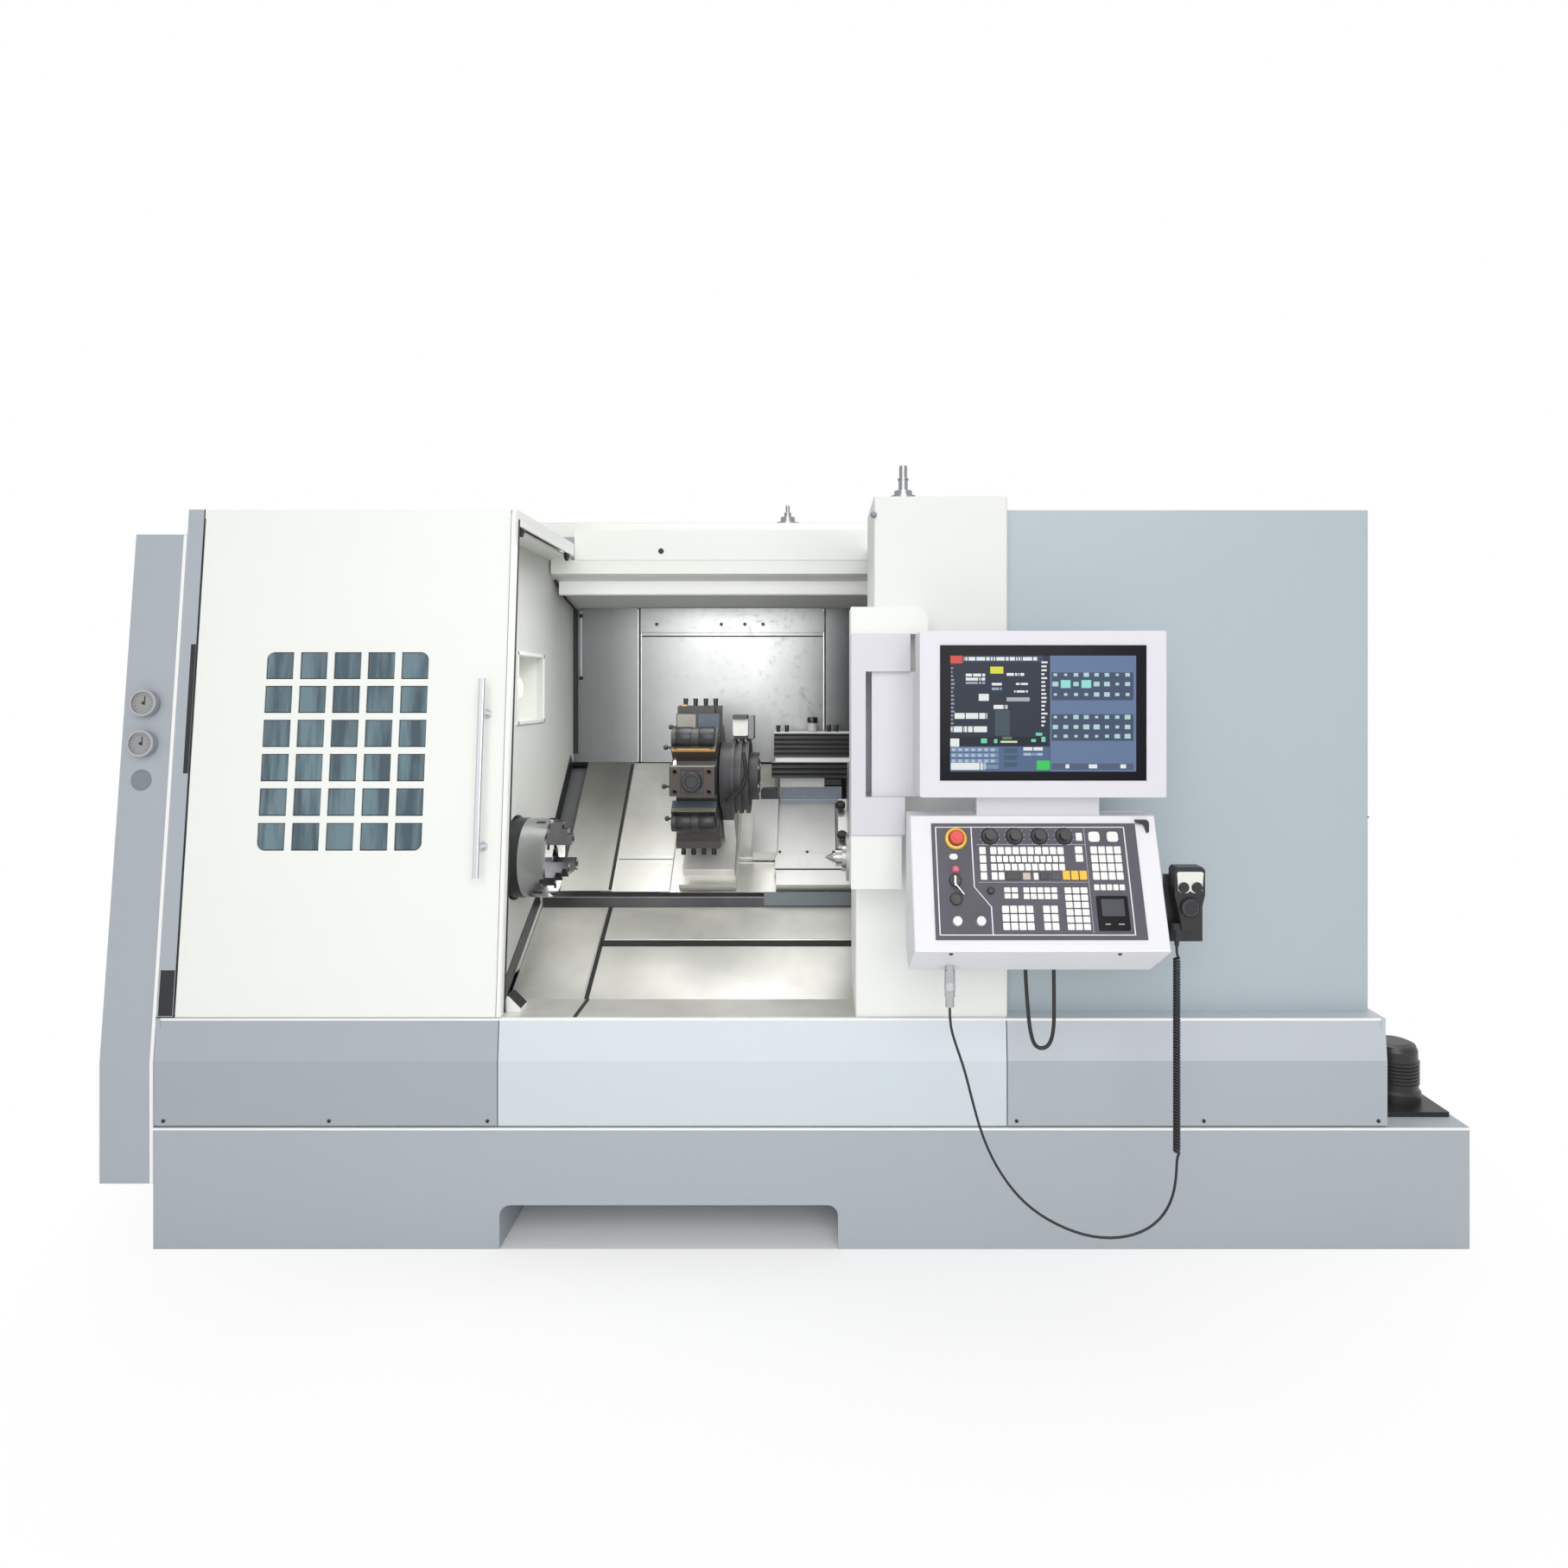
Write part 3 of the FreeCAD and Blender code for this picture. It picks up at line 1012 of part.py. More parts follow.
def monitor_box():
    """Swinging arm block with the pin's bore, display case behind it and the neck to the desk."""
    z0 = BRACKET_BOTTOM + BRACKET_ARM + SEAT
    z1 = BRACKET_TOP - BRACKET_ARM - SEAT
    arm = block(BLOCK_LEFT, BLOCK_RIGHT + 20, BLOCK_FRONT, BLOCK_BACK, z0, z1)
    link = block(MONITOR_LEFT, MONITOR_LEFT + 90, MONITOR_FRONT + MONITOR_DEPTH, BLOCK_BACK,
                 MONITOR_BOTTOM + 20, z1 - 20)
    case = block(MONITOR_LEFT, MONITOR_RIGHT, MONITOR_FRONT, MONITOR_FRONT + MONITOR_DEPTH,
                 MONITOR_BOTTOM, MONITOR_TOP)
    edges = [e for e in case.Edges if e.BoundBox.YLength > 50]
    case = case.makeFillet(5.0, edges)
    pocket = block(SCREEN_X - SCREEN_WIDTH / 2 - SEAT, SCREEN_X + SCREEN_WIDTH / 2 + SEAT,
                   MONITOR_FRONT - 1, MONITOR_FRONT + SCREEN_THICK + SEAT,
                   SCREEN_Z - SCREEN_HEIGHT / 2 - SEAT, SCREEN_Z + SCREEN_HEIGHT / 2 + SEAT)
    neck = block(NECK_LEFT, NECK_RIGHT, MONITOR_FRONT + 50, MONITOR_FRONT + MONITOR_DEPTH - 20,
                 DESK_TOP_Z, MONITOR_BOTTOM)
    pin = Part.makeCylinder(PIN_R + FIT, z1 - z0 + 2, V(PIVOT_X, FRONT + PIVOT_DEPTH, z0 - 1))
    return joined([arm, link, case.cut(pocket), neck]).cut(pin)


def screen_panel():
    """Flat display panel in the case's pocket, standing 2 mm proud."""
    return block(SCREEN_X - SCREEN_WIDTH / 2, SCREEN_X + SCREEN_WIDTH / 2,
                 MONITOR_FRONT - 2, MONITOR_FRONT + SCREEN_THICK,
                 SCREEN_Z - SCREEN_HEIGHT / 2, SCREEN_Z + SCREEN_HEIGHT / 2)


def desk_point(down, out=0.0):
    """(depth, height) of a point down the sloping desk from its top edge, and out from it."""
    run = math.hypot(DESK_EDGE_DEPTH - DESK_TOP_DEPTH, DESK_EDGE_Z - DESK_TOP_Z)
    cd = (DESK_EDGE_DEPTH - DESK_TOP_DEPTH) / run
    cz = (DESK_EDGE_Z - DESK_TOP_Z) / run
    return DESK_TOP_DEPTH + cd * down + cz * out, DESK_TOP_Z + cz * down - cd * out


def desk_normal():
    """Outward direction of the sloping desk."""
    d0, z0 = desk_point(0)
    d1, z1 = desk_point(0, 1.0)
    return V(0, d1 - d0, z1 - z0)


def plate_spot(share_x, share_y, out=0.0):
    """Point on the key plate from shares of its width and height, and out from its face."""
    x = PLATE_X - PLATE_WIDTH / 2 + share_x * PLATE_WIDTH
    d, z = desk_point(plate_top() + share_y * PLATE_HEIGHT, PLATE_THICK + out)
    return V(x, FRONT + d, z)


def plate_top():
    """Distance from the desk's top edge to the key plate's."""
    run = math.hypot(DESK_EDGE_DEPTH - DESK_TOP_DEPTH, DESK_EDGE_Z - DESK_TOP_Z)
    return (run - PLATE_HEIGHT) / 2 - 4


def operator_box():
    """Sloping operator desk with chamfered heel, joined to the display's neck."""
    ring = [
        (DESK_TOP_DEPTH, DESK_TOP_Z), (DESK_EDGE_DEPTH, DESK_EDGE_Z), (DESK_HEEL_DEPTH, DESK_HEEL_Z),
        (DESK_BACK, DESK_HEEL_Z + 40), (DESK_BACK, DESK_TOP_Z),
    ]
    desk = prism(ring, DESK_LEFT, DESK_RIGHT)
    edges = [e for e in desk.Edges if e.BoundBox.XLength < 1 and e.BoundBox.ZLength > 250
             and e.BoundBox.YLength > 50]
    desk = desk.makeFillet(5.0, edges)
    return desk


def key_plate():
    """Key plate on the desk with the stop button's collar, bored for the knobs and buttons."""
    half = PLATE_WIDTH / 2
    a = desk_point(plate_top())
    b = desk_point(plate_top() + PLATE_HEIGHT)
    c = desk_point(plate_top() + PLATE_HEIGHT, PLATE_THICK)
    e = desk_point(plate_top(), PLATE_THICK)
    plate = prism([a, b, c, e], PLATE_X - half, PLATE_X + half)
    n = desk_normal()
    collar = Part.makeCylinder(STOP_RING_R, STOP_RING + 1, plate_spot(STOP_X, STOP_Y, -1.0), n)
    under = -PLATE_THICK - 1
    holes = [Part.makeCylinder(STOP_STEM_R + FIT, 14, plate_spot(STOP_X, STOP_Y, under), n)]
    for k in range(4):
        spot = plate_spot(KNOB_FIRST + k * KNOB_STEP, KNOB_ROW, under)
        holes.append(Part.makeCylinder(KNOB_STEM_R + FIT, 12, spot, n))
    for k in range(2):
        spot = plate_spot(BUTTON_X + k * BUTTON_STEP, BUTTON_Y, under)
        holes.append(Part.makeCylinder(BUTTON_R + FIT, 12, spot, n))
    return joined([plate, collar]).cut(Part.makeCompound(holes))


def e_stop():
    """Mushroom push button on its stem."""
    n = desk_normal()
    low = plate_spot(STOP_X, STOP_Y, -PLATE_THICK + STOP_TRAVEL + SEAT)
    stem = Part.makeCylinder(STOP_STEM_R, STOP_HEIGHT, low, n)
    high = plate_spot(STOP_X, STOP_Y, STOP_RING + STOP_TRAVEL + SEAT)
    cap = Part.makeCylinder(STOP_CAP_R, STOP_CAP, high, n)
    cap = cap.makeFillet(STOP_CAP / 3, [cap.Edges[0]])
    return joined([cap, stem])


def knob(k):
    """Override knob: skirt, grip with its raised pointer, and the stem through the plate."""
    n = desk_normal()
    at = KNOB_FIRST + k * KNOB_STEP
    grip_r = KNOB_R * 0.72
    base = plate_spot(at, KNOB_ROW, SEAT)
    skirt = Part.makeCylinder(KNOB_R, KNOB_SKIRT, base, n)
    grip = Part.makeCylinder(grip_r, KNOB_HEIGHT - KNOB_SKIRT, plate_spot(at, KNOB_ROW, SEAT + KNOB_SKIRT), n)
    stem = Part.makeCylinder(KNOB_STEM_R, PLATE_THICK + SEAT, plate_spot(at, KNOB_ROW, SEAT - PLATE_THICK), n)
    mark = Part.makeBox(KNOB_MARK, KNOB_MARK, KNOB_HEIGHT - KNOB_SKIRT - 1)
    mark.translate(V(-KNOB_MARK / 2, grip_r - KNOB_MARK / 2, KNOB_SKIRT + 1))
    square = FreeCAD.Placement(base, FreeCAD.Rotation(V(0, 0, 1), n))
    mark.Placement = square.multiply(mark.Placement)
    return joined([skirt, grip, stem]).fuse(mark).removeSplitter()


def push_button(k):
    """Sprung flat button through the plate."""
    at = BUTTON_X + k * BUTTON_STEP
    low = plate_spot(at, BUTTON_Y, -PLATE_THICK + BUTTON_TRAVEL + SEAT)
    return Part.makeCylinder(BUTTON_R, PLATE_THICK + BUTTON_PROUD, low, desk_normal())


# ---------------------------------------------------------------- handset and cords
def handset_holder():
    """Back plate and side stub that hang the handset beside the desk."""
    half = HOLDER_WIDTH / 2
    back = HANDSET_DEPTH + HANDSET_THICK + SEAT
    far = back + HOLDER_THICK
    plate = block(HANDSET_X - half, HANDSET_X + half, back, far, HOLDER_TOP - HOLDER_HEIGHT, HOLDER_TOP)
    stub = block(DESK_RIGHT + SEAT, HANDSET_X - half + 10, back, far, HOLDER_TOP - 110, HOLDER_TOP - 30)
    return joined([plate, stub])


def handset():
    """Hand-held pulse generator: tapered moulded case with a wheel dial and cord gland."""
    half = HANDSET_WIDTH / 2
    z1 = HANDSET_TOP
    z0 = HANDSET_TOP - HANDSET_LENGTH
    ring = [
        (-half + 6, z1), (half - 6, z1), (half, z1 - 8), (half, z1 - 70), (half - 12, z0 + 40),
        (half - 18, z0), (-half + 18, z0), (-half + 12, z0 + 40), (-half, z1 - 70), (-half, z1 - 8),
    ]
    points = [V(HANDSET_X + x, FRONT + HANDSET_DEPTH, z) for x, z in ring]
    case = Part.Face(Part.makePolygon(points + points[:1])).extrude(V(0, HANDSET_THICK, 0))
    out = V(0, -1, 0)
    hub = V(HANDSET_X, FRONT + HANDSET_DEPTH, z1 - HANDSET_WHEEL_DROP)
    wheel = Part.makeCylinder(HANDSET_WHEEL_R, 6.0, hub, out)
    gland = Part.makeCylinder(GLAND_R, GLAND, V(CORD_X, FRONT + CORD_DEPTH, z0 - GLAND))
    lug = block(CORD_X - 10, CORD_X + 26, CORD_DEPTH - 10, CORD_DEPTH + 10, z0, z0 + 16)
    body = joined([case, wheel, gland, lug])
    holes = []
    for x in (HANDSET_X - HANDSET_KNOB_X, HANDSET_X + HANDSET_KNOB_X):
        spot = V(x, FRONT + HANDSET_DEPTH + 8, z1 - HANDSET_KNOB_DROP)
        holes.append(Part.makeCylinder(HANDSET_KNOB_STEM_R + FIT, 9.0, spot, out))
    return body.cut(Part.makeCompound(holes))


def handset_knob(side):
    """Selector knob on the handset's face."""
    x = HANDSET_X + HANDSET_KNOB_X * side
    z = HANDSET_TOP - HANDSET_KNOB_DROP
    out = V(0, -1, 0)
    grip = Part.makeCylinder(HANDSET_KNOB_R, 10.0, V(x, FRONT + HANDSET_DEPTH - SEAT, z), out)
    stem = Part.makeCylinder(HANDSET_KNOB_STEM_R, 7.0, V(x, FRONT + HANDSET_DEPTH + 7 - SEAT, z), out)
    return joined([grip, stem])


def tube(route, depth, diameter):
    """Round cord along straight runs joined by tangent arcs, in a plane facing the front."""
    points = [V(x, FRONT + depth, z) for x, z in route]
    edges = []
    start = points[0]
    for a, b, c in zip(points, points[1:], points[2:]):
        before = (b - a).Length
        after = (c - b).Length
        into = (b - a).normalize()
        away = (c - b).normalize()
        turn = into.getAngle(away)
        cut = 0.45 * min(before, after)
        radius = cut / math.tan(turn / 2)
        print("cord radius", round(radius, 1), "mm, turn", round(math.degrees(turn), 1), "degrees")
        p = b - into * cut
        q = b + away * cut
        middle = b + (away - into).normalize() * (math.hypot(radius, cut) - radius)
        edges.append(Part.LineSegment(start, p).toShape())
        edges.append(Part.Arc(p, middle, q).toShape())
        start = q
    edges.append(Part.LineSegment(start, points[-1]).toShape())
    path = Part.Wire(edges)
    ring = Part.Wire(Part.makeCircle(diameter / 2, points[0], points[1] - points[0]))
    solid = path.makePipeShell([ring], True, False)
    length = path.Length
    ideal = math.pi * diameter ** 2 / 4 * length
    print("cord length", round(length, 1), "volume ratio", round(solid.Volume / ideal, 4))
    return solid


def handset_cord():
    """Straight lead from the handset's gland to the curl, and the slack tail to the connector."""
    top = HANDSET_TOP - HANDSET_LENGTH - GLAND
    lead = Part.makeCylinder(CORD_D / 2, top - CURL_TOP, V(CORD_X, FRONT + CORD_DEPTH, CURL_TOP))
    return Part.makeCompound([lead, tube(CORD_ROUTE, CORD_DEPTH, CORD_D)])


def curly_cord():
    """Outer shape of the curled stretch."""
    return Part.makeCylinder(CURL_D / 2, CURL_TOP - CURL_BOTTOM, V(CORD_X, FRONT + CORD_DEPTH, CURL_BOTTOM))


def cord_connector():
    """Round plug under the desk with its rubber boot."""
    at = V(CONNECTOR_X, FRONT + CORD_DEPTH, CONNECTOR_BOTTOM)
    boot = Part.makeCone(6.5, 9.0, 26.0, at)
    shell = Part.makeCylinder(13.0, 66.0, at + V(0, 0, 26.0))
    d = CORD_DEPTH
    run = (DESK_HEEL_Z - DESK_EDGE_Z) / (DESK_HEEL_DEPTH - DESK_EDGE_DEPTH)
    under = DESK_EDGE_Z + run * (d - 13.0 - DESK_EDGE_DEPTH)
    head = Part.makeCylinder(11.0, under - CONNECTOR_BOTTOM, at)
    body = joined([boot, shell, head])
    cutter = prism([
        (DESK_TOP_DEPTH, DESK_TOP_Z), (DESK_EDGE_DEPTH - 60, DESK_EDGE_Z - run * 60 - SEAT),
        (DESK_HEEL_DEPTH, DESK_HEEL_Z - SEAT), (DESK_BACK, DESK_HEEL_Z + 40),
    ], DESK_LEFT, DESK_RIGHT)
    return body.cut(cutter)


def hose_loop():
    """Loop of armoured hose under the desk, both ends in the desk's underside."""
    return tube(HOSE_ROUTE, HOSE_DEPTH, HOSE_D)


# ---------------------------------------------------------------- rear cabinet, pump and top fittings
def electrical_cabinet():
    """Open-backed cabinet on the rear cover, with hinge knuckles on its left edge."""
    d0 = BODY_BACK + SEAT
    d1 = d0 + CABINET_DEPTH - CABINET_DOOR
    outer = block(CABINET_LEFT, CABINET_RIGHT, d0, d1, CABINET_BOTTOM, CABINET_TOP)
    w = SHELL * 3
    inner = block(CABINET_LEFT + w, CABINET_RIGHT - w, d0 + w, d1 + 1, CABINET_BOTTOM + w, CABINET_TOP - w)
    shell = outer.cut(inner)
    foot = block(CABINET_LEFT, CABINET_RIGHT, d0, d0 + w, TANK_HEIGHT, CABINET_BOTTOM)
    hinge_d = d1 + SEAT + CABINET_DOOR / 2
    parts = [shell, foot]
    for z in (CABINET_BOTTOM + 120, CABINET_TOP - 220):
        ear = block(CABINET_LEFT - 2 * HINGE_R, CABINET_LEFT, d1 - 30, d1, z, z + 40)
        ear = ear.fuse(block(CABINET_LEFT - 2 * HINGE_R, CABINET_LEFT - HINGE_R, d1 - 1, hinge_d, z, z + 40))
        knuckle = Part.makeCylinder(HINGE_R, 40, V(CABINET_LEFT - HINGE_R * 2, FRONT + hinge_d, z))
        pin = Part.makeCylinder(HINGE_R / 2, 100, V(CABINET_LEFT - HINGE_R * 2, FRONT + hinge_d, z))
        parts += [ear, knuckle, pin]
    return joined(parts)


def cabinet_door():
    """Flanged cabinet door with its knuckles and a turned latch boss."""
    d1 = BODY_BACK + SEAT + CABINET_DEPTH - CABINET_DOOR + SEAT
    hinge_d = d1 + CABINET_DOOR / 2
    leaf = block(CABINET_LEFT + 2, CABINET_RIGHT - 2, d1, d1 + CABINET_DOOR,
                 CABINET_BOTTOM + 2, CABINET_TOP - 2)
    parts = [leaf]
    x = CABINET_LEFT - HINGE_R * 2
    for z in (CABINET_BOTTOM + 120, CABINET_TOP - 220):
        z0 = z + 40 + SEAT
        knuckle = Part.makeCylinder(HINGE_R, 60, V(x, FRONT + hinge_d, z0))
        strap = block(x, CABINET_LEFT + 2, hinge_d - 3, d1 + CABINET_DOOR, z0, z0 + 60)
        bore = Part.makeCylinder(HINGE_R / 2 + FIT, 62, V(x, FRONT + hinge_d, z0 - 1))
        parts.append(knuckle.fuse(strap).cut(bore))
    middle = (CABINET_TOP + CABINET_BOTTOM) / 2
    latch = Part.makeCylinder(16, 10, V(CABINET_RIGHT - 60, FRONT + d1 + CABINET_DOOR, middle), V(0, 1, 0))
    return joined(parts + [latch])


def coolant_pump():
    """Pump motor on its plate: flared foot, finned barrel and a domed cap."""
    plate = block(PUMP_PLATE_LEFT, PUMP_PLATE_LEFT + PUMP_PLATE_WIDTH, PUMP_DEPTH - 110, PUMP_DEPTH + 110,
                  TANK_HEIGHT, TANK_HEIGHT + PUMP_PLATE)
    z0 = TANK_HEIGHT + PUMP_PLATE
    ring = [
        (0, 0), (PUMP_R + PUMP_FLARE, 0), (PUMP_R + PUMP_FLARE, 26), (PUMP_R + 2, 34),
        (PUMP_R, PUMP_HEIGHT - 20), (PUMP_R - 6, PUMP_HEIGHT - 6), (PUMP_R - 22, PUMP_HEIGHT),
        (0, PUMP_HEIGHT),
    ]
    points = [V(r, 0, z) for r, z in ring]
    motor = Part.Face(Part.makePolygon(points + points[:1])).revolve(V(0, 0, 0), V(0, 0, 1), 360)
    motor.translate(V(PUMP_X, FRONT + PUMP_DEPTH, z0))
    return joined([plate, motor])


def top_fittings():
    """Signal-lamp stub on the column and the cable gland on the rear cover."""
    places = [
        (MAST_X, MAST_DEPTH, COLUMN_TOP + SEAT, MAST_STEPS),
        (GLAND_X, REAR_LIP_DEPTH + GLAND_BACK, REAR_TOP + SEAT, GLAND_STEPS),
    ]
    fittings = []
    for x, depth, z, steps in places:
        rings = []
        for radius, height in steps:
            rings.append(Part.makeCylinder(radius, height, V(x, FRONT + depth, z)))
            z += height
        fittings.append(joined(rings))
    return Part.makeCompound(fittings)


NODES = {
    "base_tank": base_tank,
    "bed_casting": bed_casting,
    "guide_rails": guide_rails,
    "z_screw": z_screw,
    "apron_left": lambda: apron(APRON_LEFT, APRON_SPLIT_A - PANEL_GAP / 2, side_left=True),
    "apron_middle": lambda: apron(APRON_SPLIT_A + PANEL_GAP / 2, APRON_SPLIT_B - PANEL_GAP / 2),
    "apron_right": lambda: apron(APRON_SPLIT_B + PANEL_GAP / 2, APRON_RIGHT, side_right=True),
    "left_end_cover": left_end_cover,
    "pressure_gauges": pressure_gauges,
    "left_front_panel": left_front_panel,
    "side_wall_left": side_wall_left,
    "work_lamp": work_lamp,
    "back_panels": back_panels,
    "header_fascia": header_fascia,
    "ceiling_panel": ceiling_panel,
    "rear_cover": rear_cover,
    "right_column": right_column,
    "right_cover": right_cover,
    "bed_cover_upper": bed_cover_upper,
    "bed_cover_lower": bed_cover_lower,
    "headstock": headstock,
    "electrical_cabinet": electrical_cabinet,
    "cabinet_door": cabinet_door,
    "coolant_pump": coolant_pump,
    "top_fittings": top_fittings,
    "arm_bracket": arm_bracket,
    "spindle": spindle,
    "chuck_body": chuck_body,
    "jaw_1": lambda: jaw(0),
    "jaw_2": lambda: jaw(1),
    "jaw_3": lambda: jaw(2),
    "saddle": saddle,
    "way_cover_middle": way_cover_middle,
    "turret_housing": turret_housing,
    "turret_disc": turret_disc,
    "tailstock_body": tailstock_body,
    "quill": quill,
    "live_centre": live_centre,
    "sliding_door": sliding_door,
    "window_glass": window_glass,
    "door_handle": door_handle,
    "monitor_box": monitor_box,
    "screen_panel": screen_panel,
    "operator_box": operator_box,
    "key_plate": key_plate,
    "e_stop": e_stop,
    "knob_1": lambda: knob(0),
    "knob_2": lambda: knob(1),
    "knob_3": lambda: knob(2),
    "knob_4": lambda: knob(3),
    "start_button": lambda: push_button(0),
    "hold_button": lambda: push_button(1),
    "handset_holder": handset_holder,
    "handset": handset,
    "handset_knob_left": lambda: handset_knob(-1),
    "handset_knob_right": lambda: handset_knob(1),
    "handset_cord": handset_cord,
    "curly_cord": curly_cord,
    "cord_connector": cord_connector,
    "hose_loop": hose_loop,
}

os.makedirs("parts", exist_ok=True)
for name, make in NODES.items():
    shape = make()
    solids = len(shape.Solids)
    print(name, "solids", solids, "valid", shape.isValid(), "volume", round(shape.Volume / 1e6, 3), "dm3")
    shape.exportStep("parts/" + name + ".step")
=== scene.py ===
"""Slant-bed CNC turning lathe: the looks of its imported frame, piece by piece.

All lengths are metres in the part's own frame: origin on the floor under the middle of the tank,
+X to the machine's right, +Y to its back, +Z up.
"""

import math

import bmesh
import bpy
import numpy as np
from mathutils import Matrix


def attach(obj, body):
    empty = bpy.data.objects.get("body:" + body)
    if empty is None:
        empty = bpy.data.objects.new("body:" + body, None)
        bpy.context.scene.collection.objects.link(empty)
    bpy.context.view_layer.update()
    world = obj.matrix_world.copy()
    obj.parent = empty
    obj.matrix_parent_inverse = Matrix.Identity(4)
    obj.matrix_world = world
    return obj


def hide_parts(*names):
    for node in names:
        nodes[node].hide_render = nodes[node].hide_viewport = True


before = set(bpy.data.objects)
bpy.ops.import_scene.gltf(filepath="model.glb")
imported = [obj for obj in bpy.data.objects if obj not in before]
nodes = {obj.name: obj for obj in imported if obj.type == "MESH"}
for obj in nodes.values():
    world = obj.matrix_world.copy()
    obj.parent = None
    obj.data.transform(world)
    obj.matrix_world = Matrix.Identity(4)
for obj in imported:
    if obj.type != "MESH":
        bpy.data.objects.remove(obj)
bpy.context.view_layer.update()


# ---- Viewpoint and studio
# The machine is seen square on from 2.6 m in front of its tank, at standing height. Big soft
# lamps in front and overhead light it as a white hall would, and a small one its open cabin.
lens_data = bpy.data.cameras.new("viewpoint")
lens_data.sensor_width = 36.0
lens_data.lens = 21.82
lens_data.shift_x = -0.0207
lens_data.shift_y = -0.0592
viewpoint = bpy.data.objects.new("viewpoint", lens_data)
viewpoint.location = (0.014, -3.49, 1.55)
viewpoint.rotation_euler = (math.radians(90), 0, 0)
bpy.context.scene.collection.objects.link(viewpoint)
bpy.context.scene.camera = viewpoint
bpy.context.scene.view_settings.view_transform = "Standard"


def soft_lamp(name, place, target, size, watts):
    """A square area lamp that faces its target."""
    data = bpy.data.lights.new(name, "AREA")
    data.shape = "SQUARE"
    data.size = size
    data.energy = watts
    lamp = bpy.data.objects.new(name, data)
    lamp.location = place
    aim = np.subtract(target, place)
    side = math.atan2(aim[1], aim[0]) - math.pi / 2
    lamp.rotation_euler = (math.acos(-aim[2] / np.linalg.norm(aim)), 0, side)
    bpy.context.scene.collection.objects.link(lamp)


soft_lamp("front_lamp", (0.2, -5.0, 2.8), (0, 0, 1.1), 3.6, 118)
soft_lamp("overhead_lamp", (1.5, 0.5, 5.2), (0, 0, 1.0), 4.0, 110)
soft_lamp("cabin_lamp", (-0.42, -0.46, 1.96), (-0.5, -0.6, 0.6), 0.6, 4.0)


class Wire:
    """An output of a material's node tree. Sums and products of wires become Math nodes."""

    def __init__(self, tree, socket=None):
        self.tree = tree
        self.socket = socket

    def node(self, kind, settings, inputs, output=0):
        """Adds a node of that kind with its settings, then gives each input its value or wire."""
        made = self.tree.nodes.new(kind)
        for name, value in settings.items():
            setattr(made, name, value)
        for name, value in inputs.items():
            if isinstance(value, Wire):
                self.tree.links.new(value.socket, made.inputs[name])
            else:
                made.inputs[name].default_value = value
        return Wire(self.tree, made.outputs[output])

    def into(self, shader, socket):
        """Links this wire to that socket of a shader."""
        self.tree.links.new(self.socket, shader.inputs[socket])

    def sum_of(self, operation, first, second):
        """A Math node of that operation on two values."""
        return self.node("ShaderNodeMath", {"operation": operation}, {0: first, 1: second})

    def __add__(self, other):
        return self.sum_of("ADD", self, other)

    def __radd__(self, other):
        return self.sum_of("ADD", other, self)

    def __sub__(self, other):
        return self.sum_of("SUBTRACT", self, other)

    def __rsub__(self, other):
        return self.sum_of("SUBTRACT", other, self)

    def __mul__(self, other):
        return self.sum_of("MULTIPLY", self, other)

    def __gt__(self, other):
        return self.sum_of("GREATER_THAN", self, other)

    def ramp(self, low, high, first=0.0, second=1.0):
        """Value that goes from first to second as this wire goes from low to high."""
        wanted = {"Value": self, "From Min": low, "From Max": high, "To Min": first, "To Max": second}
        return self.node("ShaderNodeMapRange", {}, wanted)

    def blend(self, share, first, second):
        """Colour between first and second, at that share of the second."""
        return self.node("ShaderNodeMix", {"data_type": "RGBA"}, {0: share, 6: first, 7: second}, 2)

    def place(self, scale=(1, 1, 1)):
        """Object coordinates in metres, stretched by a Mapping node."""
        spot = self.node("ShaderNodeTexCoord", {}, {}, 3)
        return self.node("ShaderNodeMapping", {}, {"Vector": spot, "Scale": scale})

    def part(self, axis, vector):
        """One part of a vector: 0 for x, 1 for y, 2 for z."""
        return self.node("ShaderNodeSeparateXYZ", {}, {"Vector": vector}, axis)

    def clouds(self, vector, scale, detail=3.0, rough=0.5):
        """Noise from 0 to 1 at that many patches a metre."""
        wanted = {"Vector": vector, "Scale": scale, "Detail": detail, "Roughness": rough}
        return self.node("ShaderNodeTexNoise", {}, wanted)

    def bump(self, height, strength, distance):
        """Normal of a surface raised by that height."""
        wanted = {"Strength": strength, "Distance": distance, "Height": height}
        return self.node("ShaderNodeBump", {}, wanted)


def finish_named(name):
    """A new material, with its principled shader and a wire to start its maths from."""
    made = bpy.data.materials.new(name)
    made.use_nodes = True
    return made, made.node_tree.nodes["Principled BSDF"], Wire(made.node_tree)


def light_path(wire):
    """What kind of ray looks at a surface: from the camera, a gloss or a glass."""
    return [wire.node("ShaderNodeLightPath", {}, {}, port) for port in (0, 3, 6)]


def tint(red, green, blue):
    """Linear colour of a screen colour given in 0 to 255."""
    share = np.array([red, green, blue]) / 255.0
    linear = np.where(share <= 0.04045, share / 12.92, ((share + 0.055) / 1.055) ** 2.4)
    return (*linear, 1.0)


def world_light(strength):
    """Even sky light of that strength, and plain white where the eye, a gloss or a glass meets it."""
    world = bpy.data.worlds.new("studio")
    bpy.context.scene.world = world
    world.use_nodes = True
    sky = Wire(world.node_tree)
    eye, gloss, glass = light_path(sky)
    gloss = sky.sum_of("MAXIMUM", sky.sum_of("MAXIMUM", eye, glass), gloss * 0.9)
    level = strength + gloss * (1.0 - strength)
    back = world.node_tree.nodes["Background"]
    back.inputs["Color"].default_value = (1, 1, 1, 1)
    level.into(back, "Strength")


world_light(0.55)

